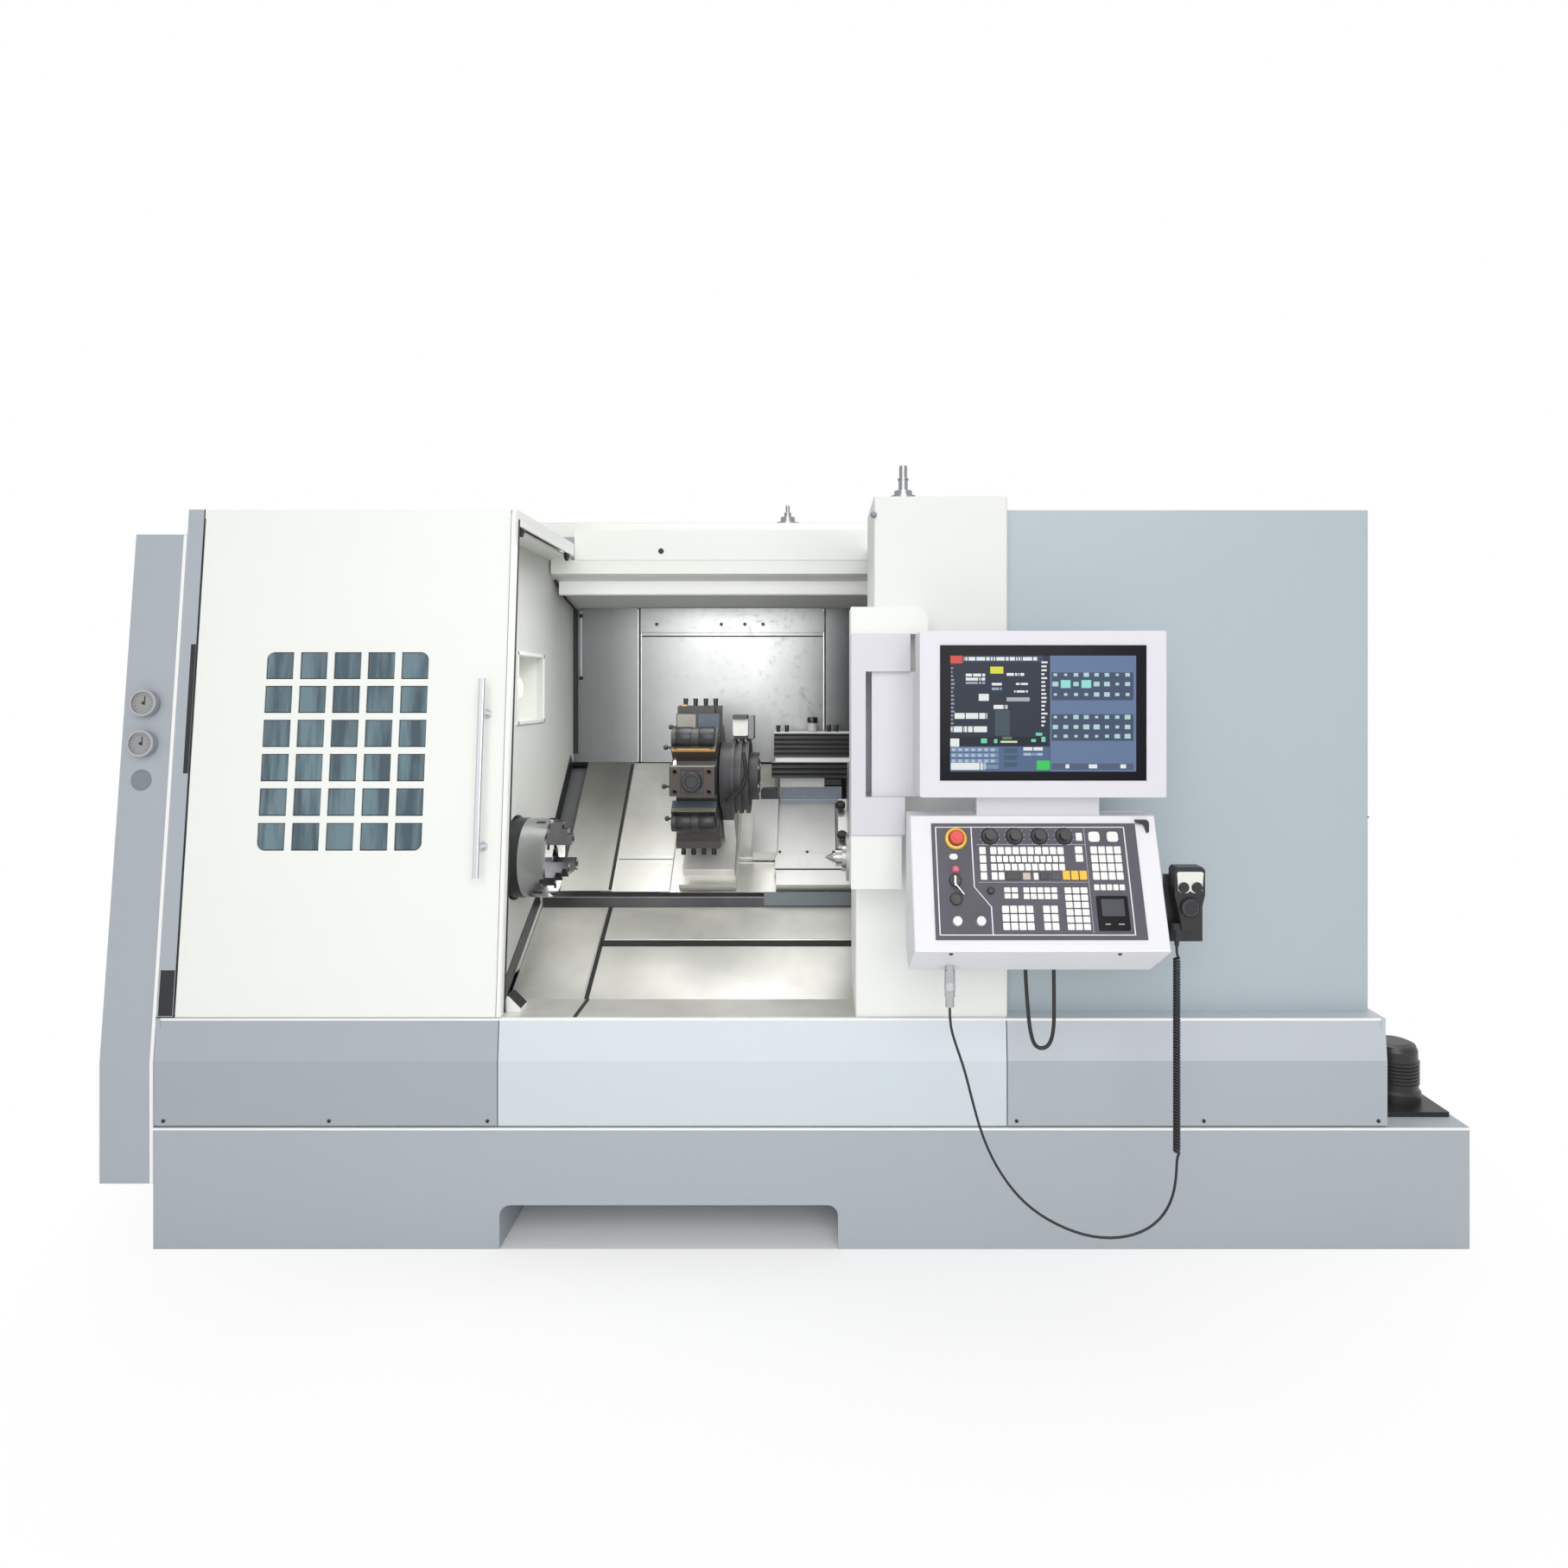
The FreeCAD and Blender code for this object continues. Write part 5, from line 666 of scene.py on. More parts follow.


# ---- Way covers and back wall
# Stainless sheet with a 2B finish: cloudy, softly streaked along each sheet, with dried coolant. Black
# wipers close every lap, and bright folded edges stiffen the sheets. The low sheets are painted paler,
# as painted light, and on the middle sheet two bright strips and a dark line are a painted highlight
# and painted shade of a ridge.
def clouded_steel(name, light, dark, along=(1, 20, 20), patch=2.2, rough=0.30, foot=0.0, metal=0.9):
    """Sheet steel: slow clouds from light to dark, fine drawn lines and matter spots of coolant.

    Light and dark are the red, green and blue of the clouds. Foot is the share of painted light that
    pales the sheet at z 0.86 m, fading out by 1.15 m."""
    made, shader, wire = finish_named(name)
    streak = wire.clouds(wire.place(scale=along), 26.0, 5.0, 0.7)
    cloud = wire.clouds(wire.place(), patch, 4.0, 0.55)
    spots = wire.clouds(wire.place(), 38.0, 3.0, 0.6)
    share = cloud.ramp(0.36, 0.66) * 0.75 + streak * 0.25
    # Painted light: low on the sheet the colour is painted paler, by the foot share.
    pale = wire.part(2, wire.place()).ramp(0.86, 1.15, foot, 0.0)
    sheet = wire.blend(share, (*light, 1), (*dark, 1))
    wire.blend(pale, sheet, (0.93, 0.92, 0.87, 1)).into(shader, "Base Color")
    (rough - 0.05 + streak * 0.08 + spots.ramp(0.55, 0.75) * 0.12).into(shader, "Roughness")
    wire.bump(streak * 0.4 + cloud, 0.25, 0.0012).into(shader, "Normal")
    fixed(made, Metallic=metal)
    return made


stainless_sheet = clouded_steel("stainless_sheet", (0.84, 0.83, 0.785), (0.38, 0.375, 0.35), rough=0.34,
                                foot=0.6, metal=0.6)
# The slope's steel is a darker copy of the stainless, as painted shade, and the chute's a paler copy, as
# painted light for the lamps' reflection.
slope_steel_painted_shade = clouded_steel("slope_steel_painted_shade", (0.44, 0.44, 0.41), (0.19, 0.19, 0.18), patch=2.6, foot=0.7)
chute_steel_painted_light = clouded_steel("chute_steel_painted_light", (0.97, 0.96, 0.91), (0.46, 0.455, 0.42), patch=1.5, rough=0.33,
                            metal=0.4)
dress(stainless_sheet, "stainless", "way_cover_middle", "saddle")
dress(slope_steel_painted_shade, "stainless", "bed_cover_upper")
dress(chute_steel_painted_light, "stainless", "bed_cover_lower")

# The back wall is painted bright round its middle, as painted light, and painted darker to both
# sides, more to the right, as painted shade.
LEFT_OF_ORIGIN = 0.33
wall_sheet = clouded_steel("wall_sheet", (0.50, 0.51, 0.505), (0.32, 0.33, 0.33), along=(20, 20, 1),
                           patch=1.4, rough=0.36)
shader, wire, sheet_tone = reopened(wall_sheet)
across = wire.part(0, wire.place())
aside = wire.sum_of("ABSOLUTE", across + LEFT_OF_ORIGIN, 0.0).ramp(0.10, 0.48)
painted_shade_tone = wire.blend(across.ramp(-0.8, 0.1), (0.21, 0.222, 0.226, 1), (0.06, 0.064, 0.066, 1))
wire.blend(aside, sheet_tone, painted_shade_tone).into(shader, "Base Color")
dress(wall_sheet, "stainless", "back_panels")
X_AXIS = (1, 0, 0)
SLOPE_UP = np.array([0.0, 1.0, 1.0]) / math.sqrt(2)
SLOPE_OUT = np.array([0.0, -1.0, 1.0]) / math.sqrt(2)
ACROSS_SLOPE, DOWN_SLOPE = (SLOPE_UP, SLOPE_OUT), (X_AXIS, SLOPE_OUT)


def sloping(x, u, v=0.0):
    """Points on the 45 degree slope in metres: u mm up the slope from its foot, v mm off its sheet."""
    u = np.asarray(u, float)
    return at(x, 750.0 + (u - v) / math.sqrt(2), 838.0 + (u + v) / math.sqrt(2))


bright_fold = powder_coat("bright_fold", (0.80, 0.80, 0.76, 1), peel=1400.0, gloss=0.3, dust=0.0)
fixed(bright_fold, Metallic=0.85)
new_piece("fixed_sheet_wiper", bar((0.012, 0.0008, 0.0001), sloping(-723, [4, 594], 0.1), DOWN_SLOPE),
          dark_gap, "root")
new_piece("middle_sheet_fold", bar((0.003, 0.004, 0.0008), sloping(-511.6, [4, 594], -3.0), DOWN_SLOPE),
          bright_fold, "way_cover")
# Painted highlight and painted shade: flat bright strips and a dark line between them paint a ridge on the
# middle sheet.
ridge_highlight_strips = [bar((0.012, 0.0007, 0.0001), sloping([-712, -514], u, -4.7), ACROSS_SLOPE) for u in (150, 128)]
new_piece("middle_sheet_ridge_highlights", joined(*ridge_highlight_strips), bright_fold, "way_cover")
new_piece("middle_sheet_ridge_shade_line", bar((0.003, 0.0006, 0.0001), sloping([-712, -514], 138, -4.7), ACROSS_SLOPE),
          dark_gap, "way_cover")
ridge_high = bar((0.013, 0.006, 0.002), sloping([-368, 58], 150, -7.0), ACROSS_SLOPE)
ridge_low = bar((0.008, 0.004, 0.001), sloping([-368, 58], 128, -8.0), ACROSS_SLOPE)
new_piece("saddle_sheet_ridge", joined(ridge_high, ridge_low), bright_fold, "carriage")
new_piece("saddle_sheet_seam", bar((0.003, 0.002, 0.0004), sloping([-548, -480], 380, -9.3), ACROSS_SLOPE),
          dark_gap, "carriage")

dark_steel = clouded_steel("dark_steel", (0.16, 0.16, 0.165), (0.07, 0.07, 0.075), rough=0.4)
# Painted shadow: a dark band along the chip channel's full width, under its edge.
new_piece("chip_channel_shadow_band", bar((0.003, 0.034, 0.001), at([-958, 1498], 736.3, 800.0), ALONG_X),
          dark_steel, "root")
CHUTE_TILT = math.radians(30)
CHUTE_UP = np.array([0.0, math.cos(CHUTE_TILT), math.sin(CHUTE_TILT)])
CHUTE_OUT = np.array([0.0, -math.sin(CHUTE_TILT), math.cos(CHUTE_TILT)])
ACROSS_CHUTE, DOWN_CHUTE = (CHUTE_UP, CHUTE_OUT), (X_AXIS, CHUTE_OUT)


def chute(x, depth, off=0.0):
    """Points on the 30 degree chute in metres: its z at that depth, off mm above its sheet."""
    depth = np.asarray(depth, float)
    z = 786.0 - (744.0 - depth) * math.tan(CHUTE_TILT) + off * 0.866
    return at(x, depth - off * 0.5, z)


grooves = [bar((0.026, 0.003, 0.0006), chute([-716, 520], 584.0, 1.2), ACROSS_CHUTE),
           bar((0.014, 0.003, 0.0006), chute(-716, [318, 735], 1.2), DOWN_CHUTE)]
new_piece("chute_grooves", joined(*grooves), dark_gap, "root")
FOLD = (0.004, 0.003, 0.0006)
folds = [bar(FOLD, chute(-727, [318, 735], 1.4), DOWN_CHUTE),
         bar(FOLD, chute([-706, 520], 600.0, 1.4), ACROSS_CHUTE)]
new_piece("chute_folds", joined(*folds), bright_fold, "root")
# The ledge sheet takes the chute's paler steel: painted light.
ledge_sheet = plates([[-0.164, 0.0935, 1.404, 0.155]], at(0.0, 0.0, 638.0), up=(0, 1, 0), rise=0.0012,
                     corner=0.002, soften=0.0003)
new_piece("ledge_sheet", ledge_sheet, chute_steel_painted_light, "root")
ledge_groove = plates([[-0.662, 0.0935, 0.012, 0.155]], at(0.0, 0.0, 639.0), up=(0, 1, 0), rise=0.0005,
                      corner=0.001, soften=0.0001)
new_piece("ledge_groove", ledge_groove, dark_gap, "root")
FOOT_BAND = (0.003, 0.058, 0.001)
foot_bands = [bar(FOOT_BAND, sloping(-960.2, [8, 590], 32.0), DOWN_SLOPE),
              bar(FOOT_BAND, chute(-960.2, [330, 730], 60.0), DOWN_CHUTE)]
new_piece("wall_foot_bands", joined(*foot_bands), dark_steel, "root")

bolts("back_strip_screws", "root", [(r * 0.8, h * 0.8) for r, h in bolt],
      at([-626, -367, -273, -200], 1168.8, 1818.0), (0, -1, 0), 16)
WALL_FOOT, WALL_TOP = 1268, 1878
panel_folds = [bar(FOLD, at(x, 1176.0, [WALL_FOOT, WALL_TOP]), UPRIGHT) for x in (-701, -689, 43)]
new_piece("back_panel_folds", joined(*panel_folds), bright_fold, "root")
panel_gaps = [bar((0.008, 0.002, 0.0004), at(-696.0, 1176.2, [WALL_FOOT, WALL_TOP]), UPRIGHT),
              bar((0.005, 0.002, 0.0004), at(48.0, 1176.2, [WALL_FOOT, WALL_TOP]), UPRIGHT),
              bar((0.005, 0.002, 0.0004), at([-691, 46], 1176.2, 1770.5), ((0, 0, 1), (0, 1, 0)))]
new_piece("back_panel_gaps", joined(*panel_gaps), dark_gap, "root")


# ---- Spindle, chuck and jaws
# A turned and ground chuck with a blued back ring. Its steps keep the fine lathe rings, and each
# jaw is bolted down with two socket screws over a serrated root.
turned_chrome = drawn_steel("turned_chrome", (0.60, 0.605, 0.615, 1), (60, 1, 1), 0.13, 0.2, 0.35)
ground_steel = drawn_steel("ground_steel", (0.50, 0.50, 0.50, 1), (1, 12, 12), 0.26, 0.2, 0.5)
fitting_steel = drawn_steel("fitting_steel", (0.36, 0.37, 0.38, 1), (1, 1, 12), 0.28, 0.3, 0.5)
jaw_steel = drawn_steel("jaw_steel", (0.22, 0.22, 0.225, 1), (1, 12, 12), 0.3, 0.3, 0.4)
dress(turned_chrome, "chrome", "chuck_body", "pressure_gauges", "cord_connector")
dress(fitting_steel, "chrome", "top_fittings")
dress(jaw_steel, "steel", "jaw_1", "jaw_2", "jaw_3")
dress(ground_steel, "steel", "guide_rails", "z_screw", "spindle", "quill", "live_centre")


def round_spindle(x, radius, angle):
    """Points in metres round the spindle's axis: x and radius in mm, the angle from the front."""
    return at(x, 450 - radius * np.sin(angle), 1010 + radius * np.cos(angle))


back_ring = [(0.1262, 0.0), (0.1282, 0.0012), (0.1282, 0.0390), (0.1262, 0.0405)]
lathed("chuck_back_ring", back_ring, round_spindle(-960.4, 0, 0), X_AXIS, 96, dark_metal, "spindle")
cap_screw = [(0.0095, -0.0008), (0.0095, 0.0018), (0.0085, 0.0024), (0.0050, 0.0024), (0.0046, 0.0002),
             (0.0005, 0.0002)]
face_bolts = round_spindle(-835.0, 92, np.radians(60 + np.arange(3) * 120))
bolts("chuck_face_bolts", "spindle", cap_screw, face_bolts, X_AXIS, 20)
rim_marks = [plates([[0.0, 0.0, 0.030, 0.012]], round_spindle(-868.0, 127.1, a), X_AXIS,
                    (0, math.cos(a), math.sin(a)), rise=0.0008) for a in np.radians([20, 140, 260])]
new_piece("chuck_rim_slots", joined(*rim_marks), dark_gap, "spindle")
jaw_screw = [(r * 0.85, h) for r, h in cap_screw]
for k in range(3):
    a = 2 * math.pi * k / 3
    side, out = np.array([0.0, math.cos(a), math.sin(a)]), np.array([0.0, -math.sin(a), math.cos(a)])
    screw_feet = at([-809.0, -777.0], 450.0, 1010.0) + out * np.array([[0.100], [0.060]])
    bolts(f"jaw_screws_{k + 1}", f"jaw_{k + 1}", jaw_screw, screw_feet, X_AXIS, 18)
    root = at(-834.6, 450.0, 1010.0) + out * 0.1182
    rows = plates(spread(0.006 + np.arange(6) * 0.004, 0.0, 0.0015, 0.028), root, X_AXIS, side,
                  rise=0.0008, corner=0.0005, soften=0.0003)
    new_piece(f"jaw_serrations_{k + 1}", rows, dark_gap, f"jaw_{k + 1}")


# ---- Headstock, bed and slides
# Grey iron castings, filled and painted, with an oily film; ground rails and a ball screw lie
# between them under the sheets.
def iron(name, colour, rough=0.5):
    """Painted and oiled casting: grainy skin, and darker oily patches."""
    made, shader, wire = finish_named(name)
    skin = wire.clouds(wire.place(), 180.0, 4.0, 0.6)
    oil = wire.clouds(wire.place(), 14.0, 3.0)
    darker = tuple(c * 0.6 for c in colour[:3]) + (1,)
    wire.blend(oil * 0.7, colour, darker).into(shader, "Base Color")
    (rough - 0.15 + oil * 0.3).into(shader, "Roughness")
    wire.bump(skin, 0.4, 0.0012).into(shader, "Normal")
    return made


dark_iron = iron("dark_iron", (0.075, 0.072, 0.068, 1), 0.42)
fixed(dark_iron, Metallic=0.6)
grey_iron = iron("grey_iron", (0.22, 0.225, 0.23, 1))
dress(grey_iron, "cast", "bed_casting", "headstock")

# The slide is painted above and covered by a bright sheet below, measured up the slope.
SHEET_TOP = 0.205
slide_skin = iron("slide_skin", (0.050, 0.051, 0.055, 1))
shader, wire, painted = reopened(slide_skin)
spot = wire.place()
lift = (wire.part(2, spot) - wire.part(1, spot) - 0.938) * 0.7071
covered = 1.0 - (lift > SHEET_TOP)
cloudy = wire.clouds(spot, 4.0, 3.0).ramp(0.36, 0.66)
sheet = wire.blend(cloudy, (0.92, 0.91, 0.87, 1), (0.66, 0.655, 0.63, 1))
wire.blend(covered, painted, sheet).into(shader, "Base Color")
(covered * 0.5).into(shader, "Metallic")
dress(slide_skin, "cast", "turret_housing")
dress(dark_iron, "cast", "turret_disc")


# ---- Turret
# Eight stations round an indexing drum. The holders are hardened blocks in different coats, with
# clamp screws, and the drum's case behind them has a bracket, a sensor box and a coolant pipe.
def toned(name, rough=0.45, worn=0.12):
    """Finish whose colour is the piece's own attribute tone, worn a little by noise."""
    made, shader, wire = finish_named(name)
    tone = wire.node("ShaderNodeAttribute", {"attribute_name": "tone"}, {})
    where = wire.place()
    wear = wire.clouds(where, 70.0, 4.0, 0.6)
    wire.blend(wear * (2 * worn), tone, (0.05, 0.05, 0.05, 1)).into(shader, "Base Color")
    (rough - 0.08 + wear * 0.16).into(shader, "Roughness")
    wire.bump(wire.clouds(where, 900.0, 1.0), 0.2, 0.0003).into(shader, "Normal")
    return made


painted_tone = toned("painted_tone")
TURRET = at(-395.0, 692.7, 1253.1)


def station(k):
    """Directions of station k: round the drum, and out from its axis."""
    a = k * math.pi / 4
    return np.array([0.0, math.cos(a), math.sin(a)]), np.array([0.0, -math.sin(a), math.cos(a)])


def holder_plates(k, face, places, rise=0.0015):
    """Thin plates on station k's block. Face is outer, low (behind -t) or high (behind +t)."""
    round_up, out = station(k)
    if face == "outer":
        return plates(places, TURRET + out * 0.2102, X_AXIS, round_up, rise, 0.003)
    if face == "low":
        return plates(places, TURRET - round_up * 0.0481, X_AXIS, out, rise, 0.002)
    places = np.asarray(places) * (1, -1, 1, 1)
    return plates(places, TURRET + round_up * 0.0481, X_AXIS, -out, rise, 0.002)


amber, brown, umber = tint(236, 180, 98), tint(66, 52, 43), tint(46, 39, 36)
slate, pewter, coal = tint(78, 92, 106), tint(160, 158, 150), tint(24, 24, 26)
olive = tint(128, 124, 106)
rim_of_face = [[-0.056, 0, 0.036, 0.090], [0.056, 0, 0.036, 0.090], [0, 0.040, 0.074, 0.010],
               [0, -0.040, 0.074, 0.010]]
faces = []
for k, coat in ((1, amber), (5, amber), (3, slate), (7, slate)):
    band = olive if k == 3 else pewter
    faces.append((k, "low", [[0, 0.1905, 0.146, 0.013], [0, 0.1660, 0.146, 0.032]], [coat, brown]))
    faces.append((k, "high", [[0, 0.1880, 0.146, 0.016], [0, 0.1640, 0.146, 0.028]], [band, slate]))
for k in (2, 6):
    faces.append((k, "outer", rim_of_face, [brown, brown, umber, umber]))
    faces.append((k, "high", [[0, 0.179, 0.146, 0.058]], [pewter]))
    faces.append((k, "low", [[0, 0.179, 0.146, 0.058]], [olive]))
for k in (0, 4):
    faces.append((k, "low", [[-0.040, 0.184, 0.064, 0.066], [0.036, 0.184, 0.072, 0.066]], [pewter, slate]))
    faces.append((k, "high", [[0, 0.184, 0.146, 0.066]], [umber]))
coat_tone = toned("holder_coat", rough=0.38, worn=0.18)
new_piece("holder_faces", joined(*[holder_plates(*face) for *face, _ in faces]), coat_tone, "turret",
          tones=np.concatenate([tones for *_, tones in faces]))

sleeve = [(0.0342, 0.0), (0.0360, 0.003), (0.0360, 0.050), (0.0342, 0.053)]
stud = [(0.0075, -0.004), (0.0075, 0.014), (0.0085, 0.014), (0.0085, 0.024), (0.0072, 0.026),
        (0.0038, 0.026), (0.0034, 0.020), (0.0005, 0.020)]
ring = [(0.0312, 0.006), (0.0335, 0.008), (0.0335, 0.0240), (0.0300, 0.0265), (0.0215, 0.0265),
        (0.0200, 0.022)]


def on_block(k, out_by, aside, along):
    """Points on station k's block, at every pair of the distances aside and along x, in metres."""
    round_up, out = station(k)
    return [TURRET + out * out_by + round_up * t + (x, 0, 0) for t in aside for x in along]


sleeves, clamp_bolts, studs, rings = [], [], [], []
for k in range(8):
    out = station(k)[1]
    if k % 2:
        sleeves += [turned(sleeve, on_block(k, 0.1995, [0], [x]), X_AXIS, 40) for x in (-0.060, 0.016)]
        corners = on_block(k, 0.197, (-0.041, 0.041), (-0.060, 0.060))
        clamp_bolts.append(turned(cap_screw, corners, out, 18))
    elif k % 4 == 2:
        corners = on_block(k, 0.2115, (-0.033, 0.033), (-0.056, 0.056))
        clamp_bolts.append(turned(cap_screw, corners, out, 18))
        rings.append(turned(ring, TURRET + out * 0.2045, out, 40))
    else:
        posts = on_block(k, 0.2455, [0.028], (-0.053, -0.018, 0.018, 0.053))
        studs.append(turned(stud, posts, out, 18))
for name, shapes, slot in [
    ("holder_barrel_sleeves", sleeves, "black_plastic"),
    ("holder_clamp_bolts", clamp_bolts, "steel"),
    ("tool_clamp_studs", studs, "steel"),
    ("socket_rings", rings, "black_plastic"),
]:
    new_piece(name, joined(*shapes), dark_metal, "turret", smooth=35)
hub_cap = [(0.074, 0.0), (0.074, 0.010), (0.068, 0.016), (0.050, 0.018), (0.046, 0.026), (0.024, 0.029),
           (0.001, 0.029)]
lathed("drum_hub_cap", hub_cap, TURRET + (-0.0745, 0, 0), (-1, 0, 0), 64, turned_chrome, "turret")
nozzle = [(0.004, -0.002), (0.004, 0.016), (0.008, 0.018), (0.009, 0.026), (0.005, 0.030), (0.001, 0.030)]
spouts = np.concatenate([on_block(k, 0.172, [-0.02], [-0.075]) for k in range(8)])
bolts("coolant_spouts", "turret", nozzle, spouts, (-1, 0, 0), 18)
tip_seats = [plates([[-0.052, 0.0, 0.020, 0.020]], on_block(k, 0.2448, [-0.009], [0]), X_AXIS, station(k)[0],
                    rise=0.005, corner=0.004, soften=0.001) for k in (0, 4)]
new_piece("cutting_inserts", joined(*tip_seats), coat_tone, "turret", tones=[amber, amber])


def bar_tones(*colours):
    """One colour for each bar of a joined shape, repeated for its two rings of eight points."""
    return np.repeat(colours, 16, axis=0)


casing = [bar(section, at(*line), FRONT_TO_BACK) for section, line in (
    ((0.018, 0.080, 0.003), (-213.0, [655, 745], 1426.0)),
    ((0.070, 0.012, 0.003), (-238.0, [662, 740], 1389.0)),
    ((0.052, 0.058, 0.004), (-250.0, [660, 735], 1424.0)),
    ((0.050, 0.016, 0.003), (-252.0, [652, 742], 1460.0)),
)]
casing_tones = bar_tones(tint(132, 136, 140), coal, tint(236, 236, 232), tint(70, 72, 74))
new_piece("turret_sensor_box", joined(*casing), painted_tone, "cross_slide",
          tones=casing_tones)
pipe_run = at([-232, -226, -222, -226, -246, -276, -290], [551, 547, 546, 546, 546, 550, 560],
              [1345, 1310, 1280, 1245, 1212, 1196, 1180])
spline_piece("turret_coolant_pipe", pipe_run, 0.012, soft_rubber, "cross_slide", 8)
turn = np.radians(np.arange(6) * 60 + 30)
cap_spots = at(-186.8, 692.7 + 64 * np.cos(turn), 1253.1 + 64 * np.sin(turn))
lathed("case_cap_bolts", cap_screw, cap_spots, X_AXIS, 18, ground_steel, "cross_slide")


# ---- Tailstock
# Folded bright covers over the casting, stepping down the slope, with two dark ribbed bars of
# aluminium section across the top, a blue-grey riser and an oil cup on the upper bar.
cover_steel = clouded_steel("cover_steel", (0.54, 0.545, 0.54), (0.36, 0.365, 0.36), patch=3.0, rough=0.42,
                            foot=0.5, metal=0.65)
dress(cover_steel, "stainless", "tailstock_body")


def ribbed(width, height, grooves, deep):
    """Front of an extruded bar: its height is cut by that many rounded grooves, z against depth."""
    rise = np.linspace(-height / 2, height / 2, grooves * 8 + 1)
    wave = 0.5 - 0.5 * np.cos(2 * math.pi * grooves * (rise + height / 2) / height)
    front = np.column_stack([-width - deep * (1.0 - wave), rise])
    back = np.array([(0.0, height / 2), (0.0, -height / 2)])
    return np.vstack([front, back])


bar_black = moulded("bar_black", (0.018, 0.019, 0.020, 1), 0.3)
fixed(bar_black, Specular_IOR_Level=0.3)
ribbed_bars = [
    carried(ribbed(0.006, 0.088, 5, 0.003), at([-146, 141], 990.5, 1343.0), *ALONG_X),
    carried(ribbed(0.012, 0.058, 3, 0.005), at([-155, 132], 985.5, 1249.0), *ALONG_X),
    plates([[0, 0, 0.116, 0.086]], at(-145.0, 1052.0, 1343.0), (0, -1, 0), rise=0.003, corner=0.004),
    plates([[0, 0, 0.116, 0.056]], at(-154.0, 1047.0, 1249.0), (0, -1, 0), rise=0.003, corner=0.010),
]
new_piece("tailstock_ribbed_bars", joined(*ribbed_bars), bar_black, "tailstock", smooth=30)
bar_lids = [bar((0.132, 0.006, 0.002), at([-148, 141], 1052.0, 1390.5), ALONG_X),
            bar((0.010, 0.016, 0.002), at([-142, 141], 971.0, 1287.5), ALONG_X)]
new_piece("tailstock_bar_lids", joined(*bar_lids), bright_edge, "tailstock")
riser = [
    bar((0.003, 0.030, 0.001), at([-124, 109], 1003.8, 1118.0), ALONG_X),
    bar((0.003, 0.046, 0.001), at([-124, 109], 1003.8, 1158.5), ALONG_X),
    bar((0.003, 0.034, 0.001), at([-122, 40], 1003.4, 1201.0), ALONG_X),
    bar((0.050, 0.034, 0.006), at([46, 108], 1030.0, 1201.0), ALONG_X),
]
riser_tones = bar_tones(tint(150, 160, 172), tint(128, 139, 153), tint(224, 226, 230), coal)
new_piece("tailstock_riser_plates", joined(*riser), painted_tone, "tailstock",
          tones=riser_tones)
cover_sheets = [
    bar((0.236, 0.0016, 0.0005), sloping([-128, 84], 258, 21.0), ACROSS_SLOPE),
    bar((0.246, 0.0016, 0.0005), sloping([-217, -131], 255, 47.0), ACROSS_SLOPE),
    bar((0.074, 0.0016, 0.0005), sloping([-135, 140], 100, 31.0), ACROSS_SLOPE),
]
new_piece("tailstock_cover_sheets", joined(*cover_sheets), cover_steel, "tailstock")
cover_gaps = [
    bar(FOLD, sloping([-129, 139], 140, 22.0), ACROSS_SLOPE),
    bar(FOLD, sloping([-134, 139], 61, 45.5), ACROSS_SLOPE),
    bar((0.003, 0.003, 0.0006), sloping(86, [142, 378], 22.0), DOWN_SLOPE),
]
new_piece("tailstock_cover_gaps", joined(*cover_gaps), dark_gap, "tailstock")
new_piece("tailstock_foot_cover", bar((0.003, 0.048, 0.001), at([-172, 154], 732.0, 814.0), ALONG_X),
          trim_grey, "tailstock")
new_piece("tailstock_clamp_block", bar((0.046, 0.030, 0.006), sloping(112, [146, 376], 35.0), DOWN_SLOPE),
          bright_fold, "tailstock")
new_piece("tailstock_end_block", bar((0.062, 0.056, 0.006), at(-167.0, [985, 1045], 1150.0), FRONT_TO_BACK),
          dark_metal, "tailstock")
clamp_knob = [(0.006, -0.002), (0.006, 0.010), (0.015, 0.012), (0.018, 0.018), (0.018, 0.030),
              (0.014, 0.036), (0.001, 0.037)]
lathed("tailstock_clamp_knobs", clamp_knob, sloping([104, 108], [327, 189], 50.0), SLOPE_OUT, 24,
       dark_metal, "tailstock")
cup_glass = moulded("cup_glass", (0.62, 0.63, 0.60, 1), 0.12)
cup = [(0.014, 0.0), (0.018, 0.004), (0.018, 0.030), (0.013, 0.036), (0.012, 0.040), (0.001, 0.040)]
cup_cap = [(0.0135, 0.034), (0.0195, 0.036), (0.0195, 0.052), (0.017, 0.056), (0.001, 0.056)]
cup_foot = at(-2.0, 1050.0, 1393.0)
Z_AXIS = (0, 0, 1)
lathed("oil_cup", cup, cup_foot, Z_AXIS, 28, cup_glass, "tailstock")
lathed("oil_cup_cap", cup_cap, cup_foot, Z_AXIS, 28, dark_metal, "tailstock")
bolts("tailstock_bar_studs", "tailstock", stud, at([62, 92, -133, -100], [1046, 1050, 1020, 1025], 1393.0),
      Z_AXIS, 18)
bolts("tailstock_cover_screws", "tailstock", small_bolt, sloping([-120, -20, 76], 152, 22.0), SLOPE_OUT, 14)


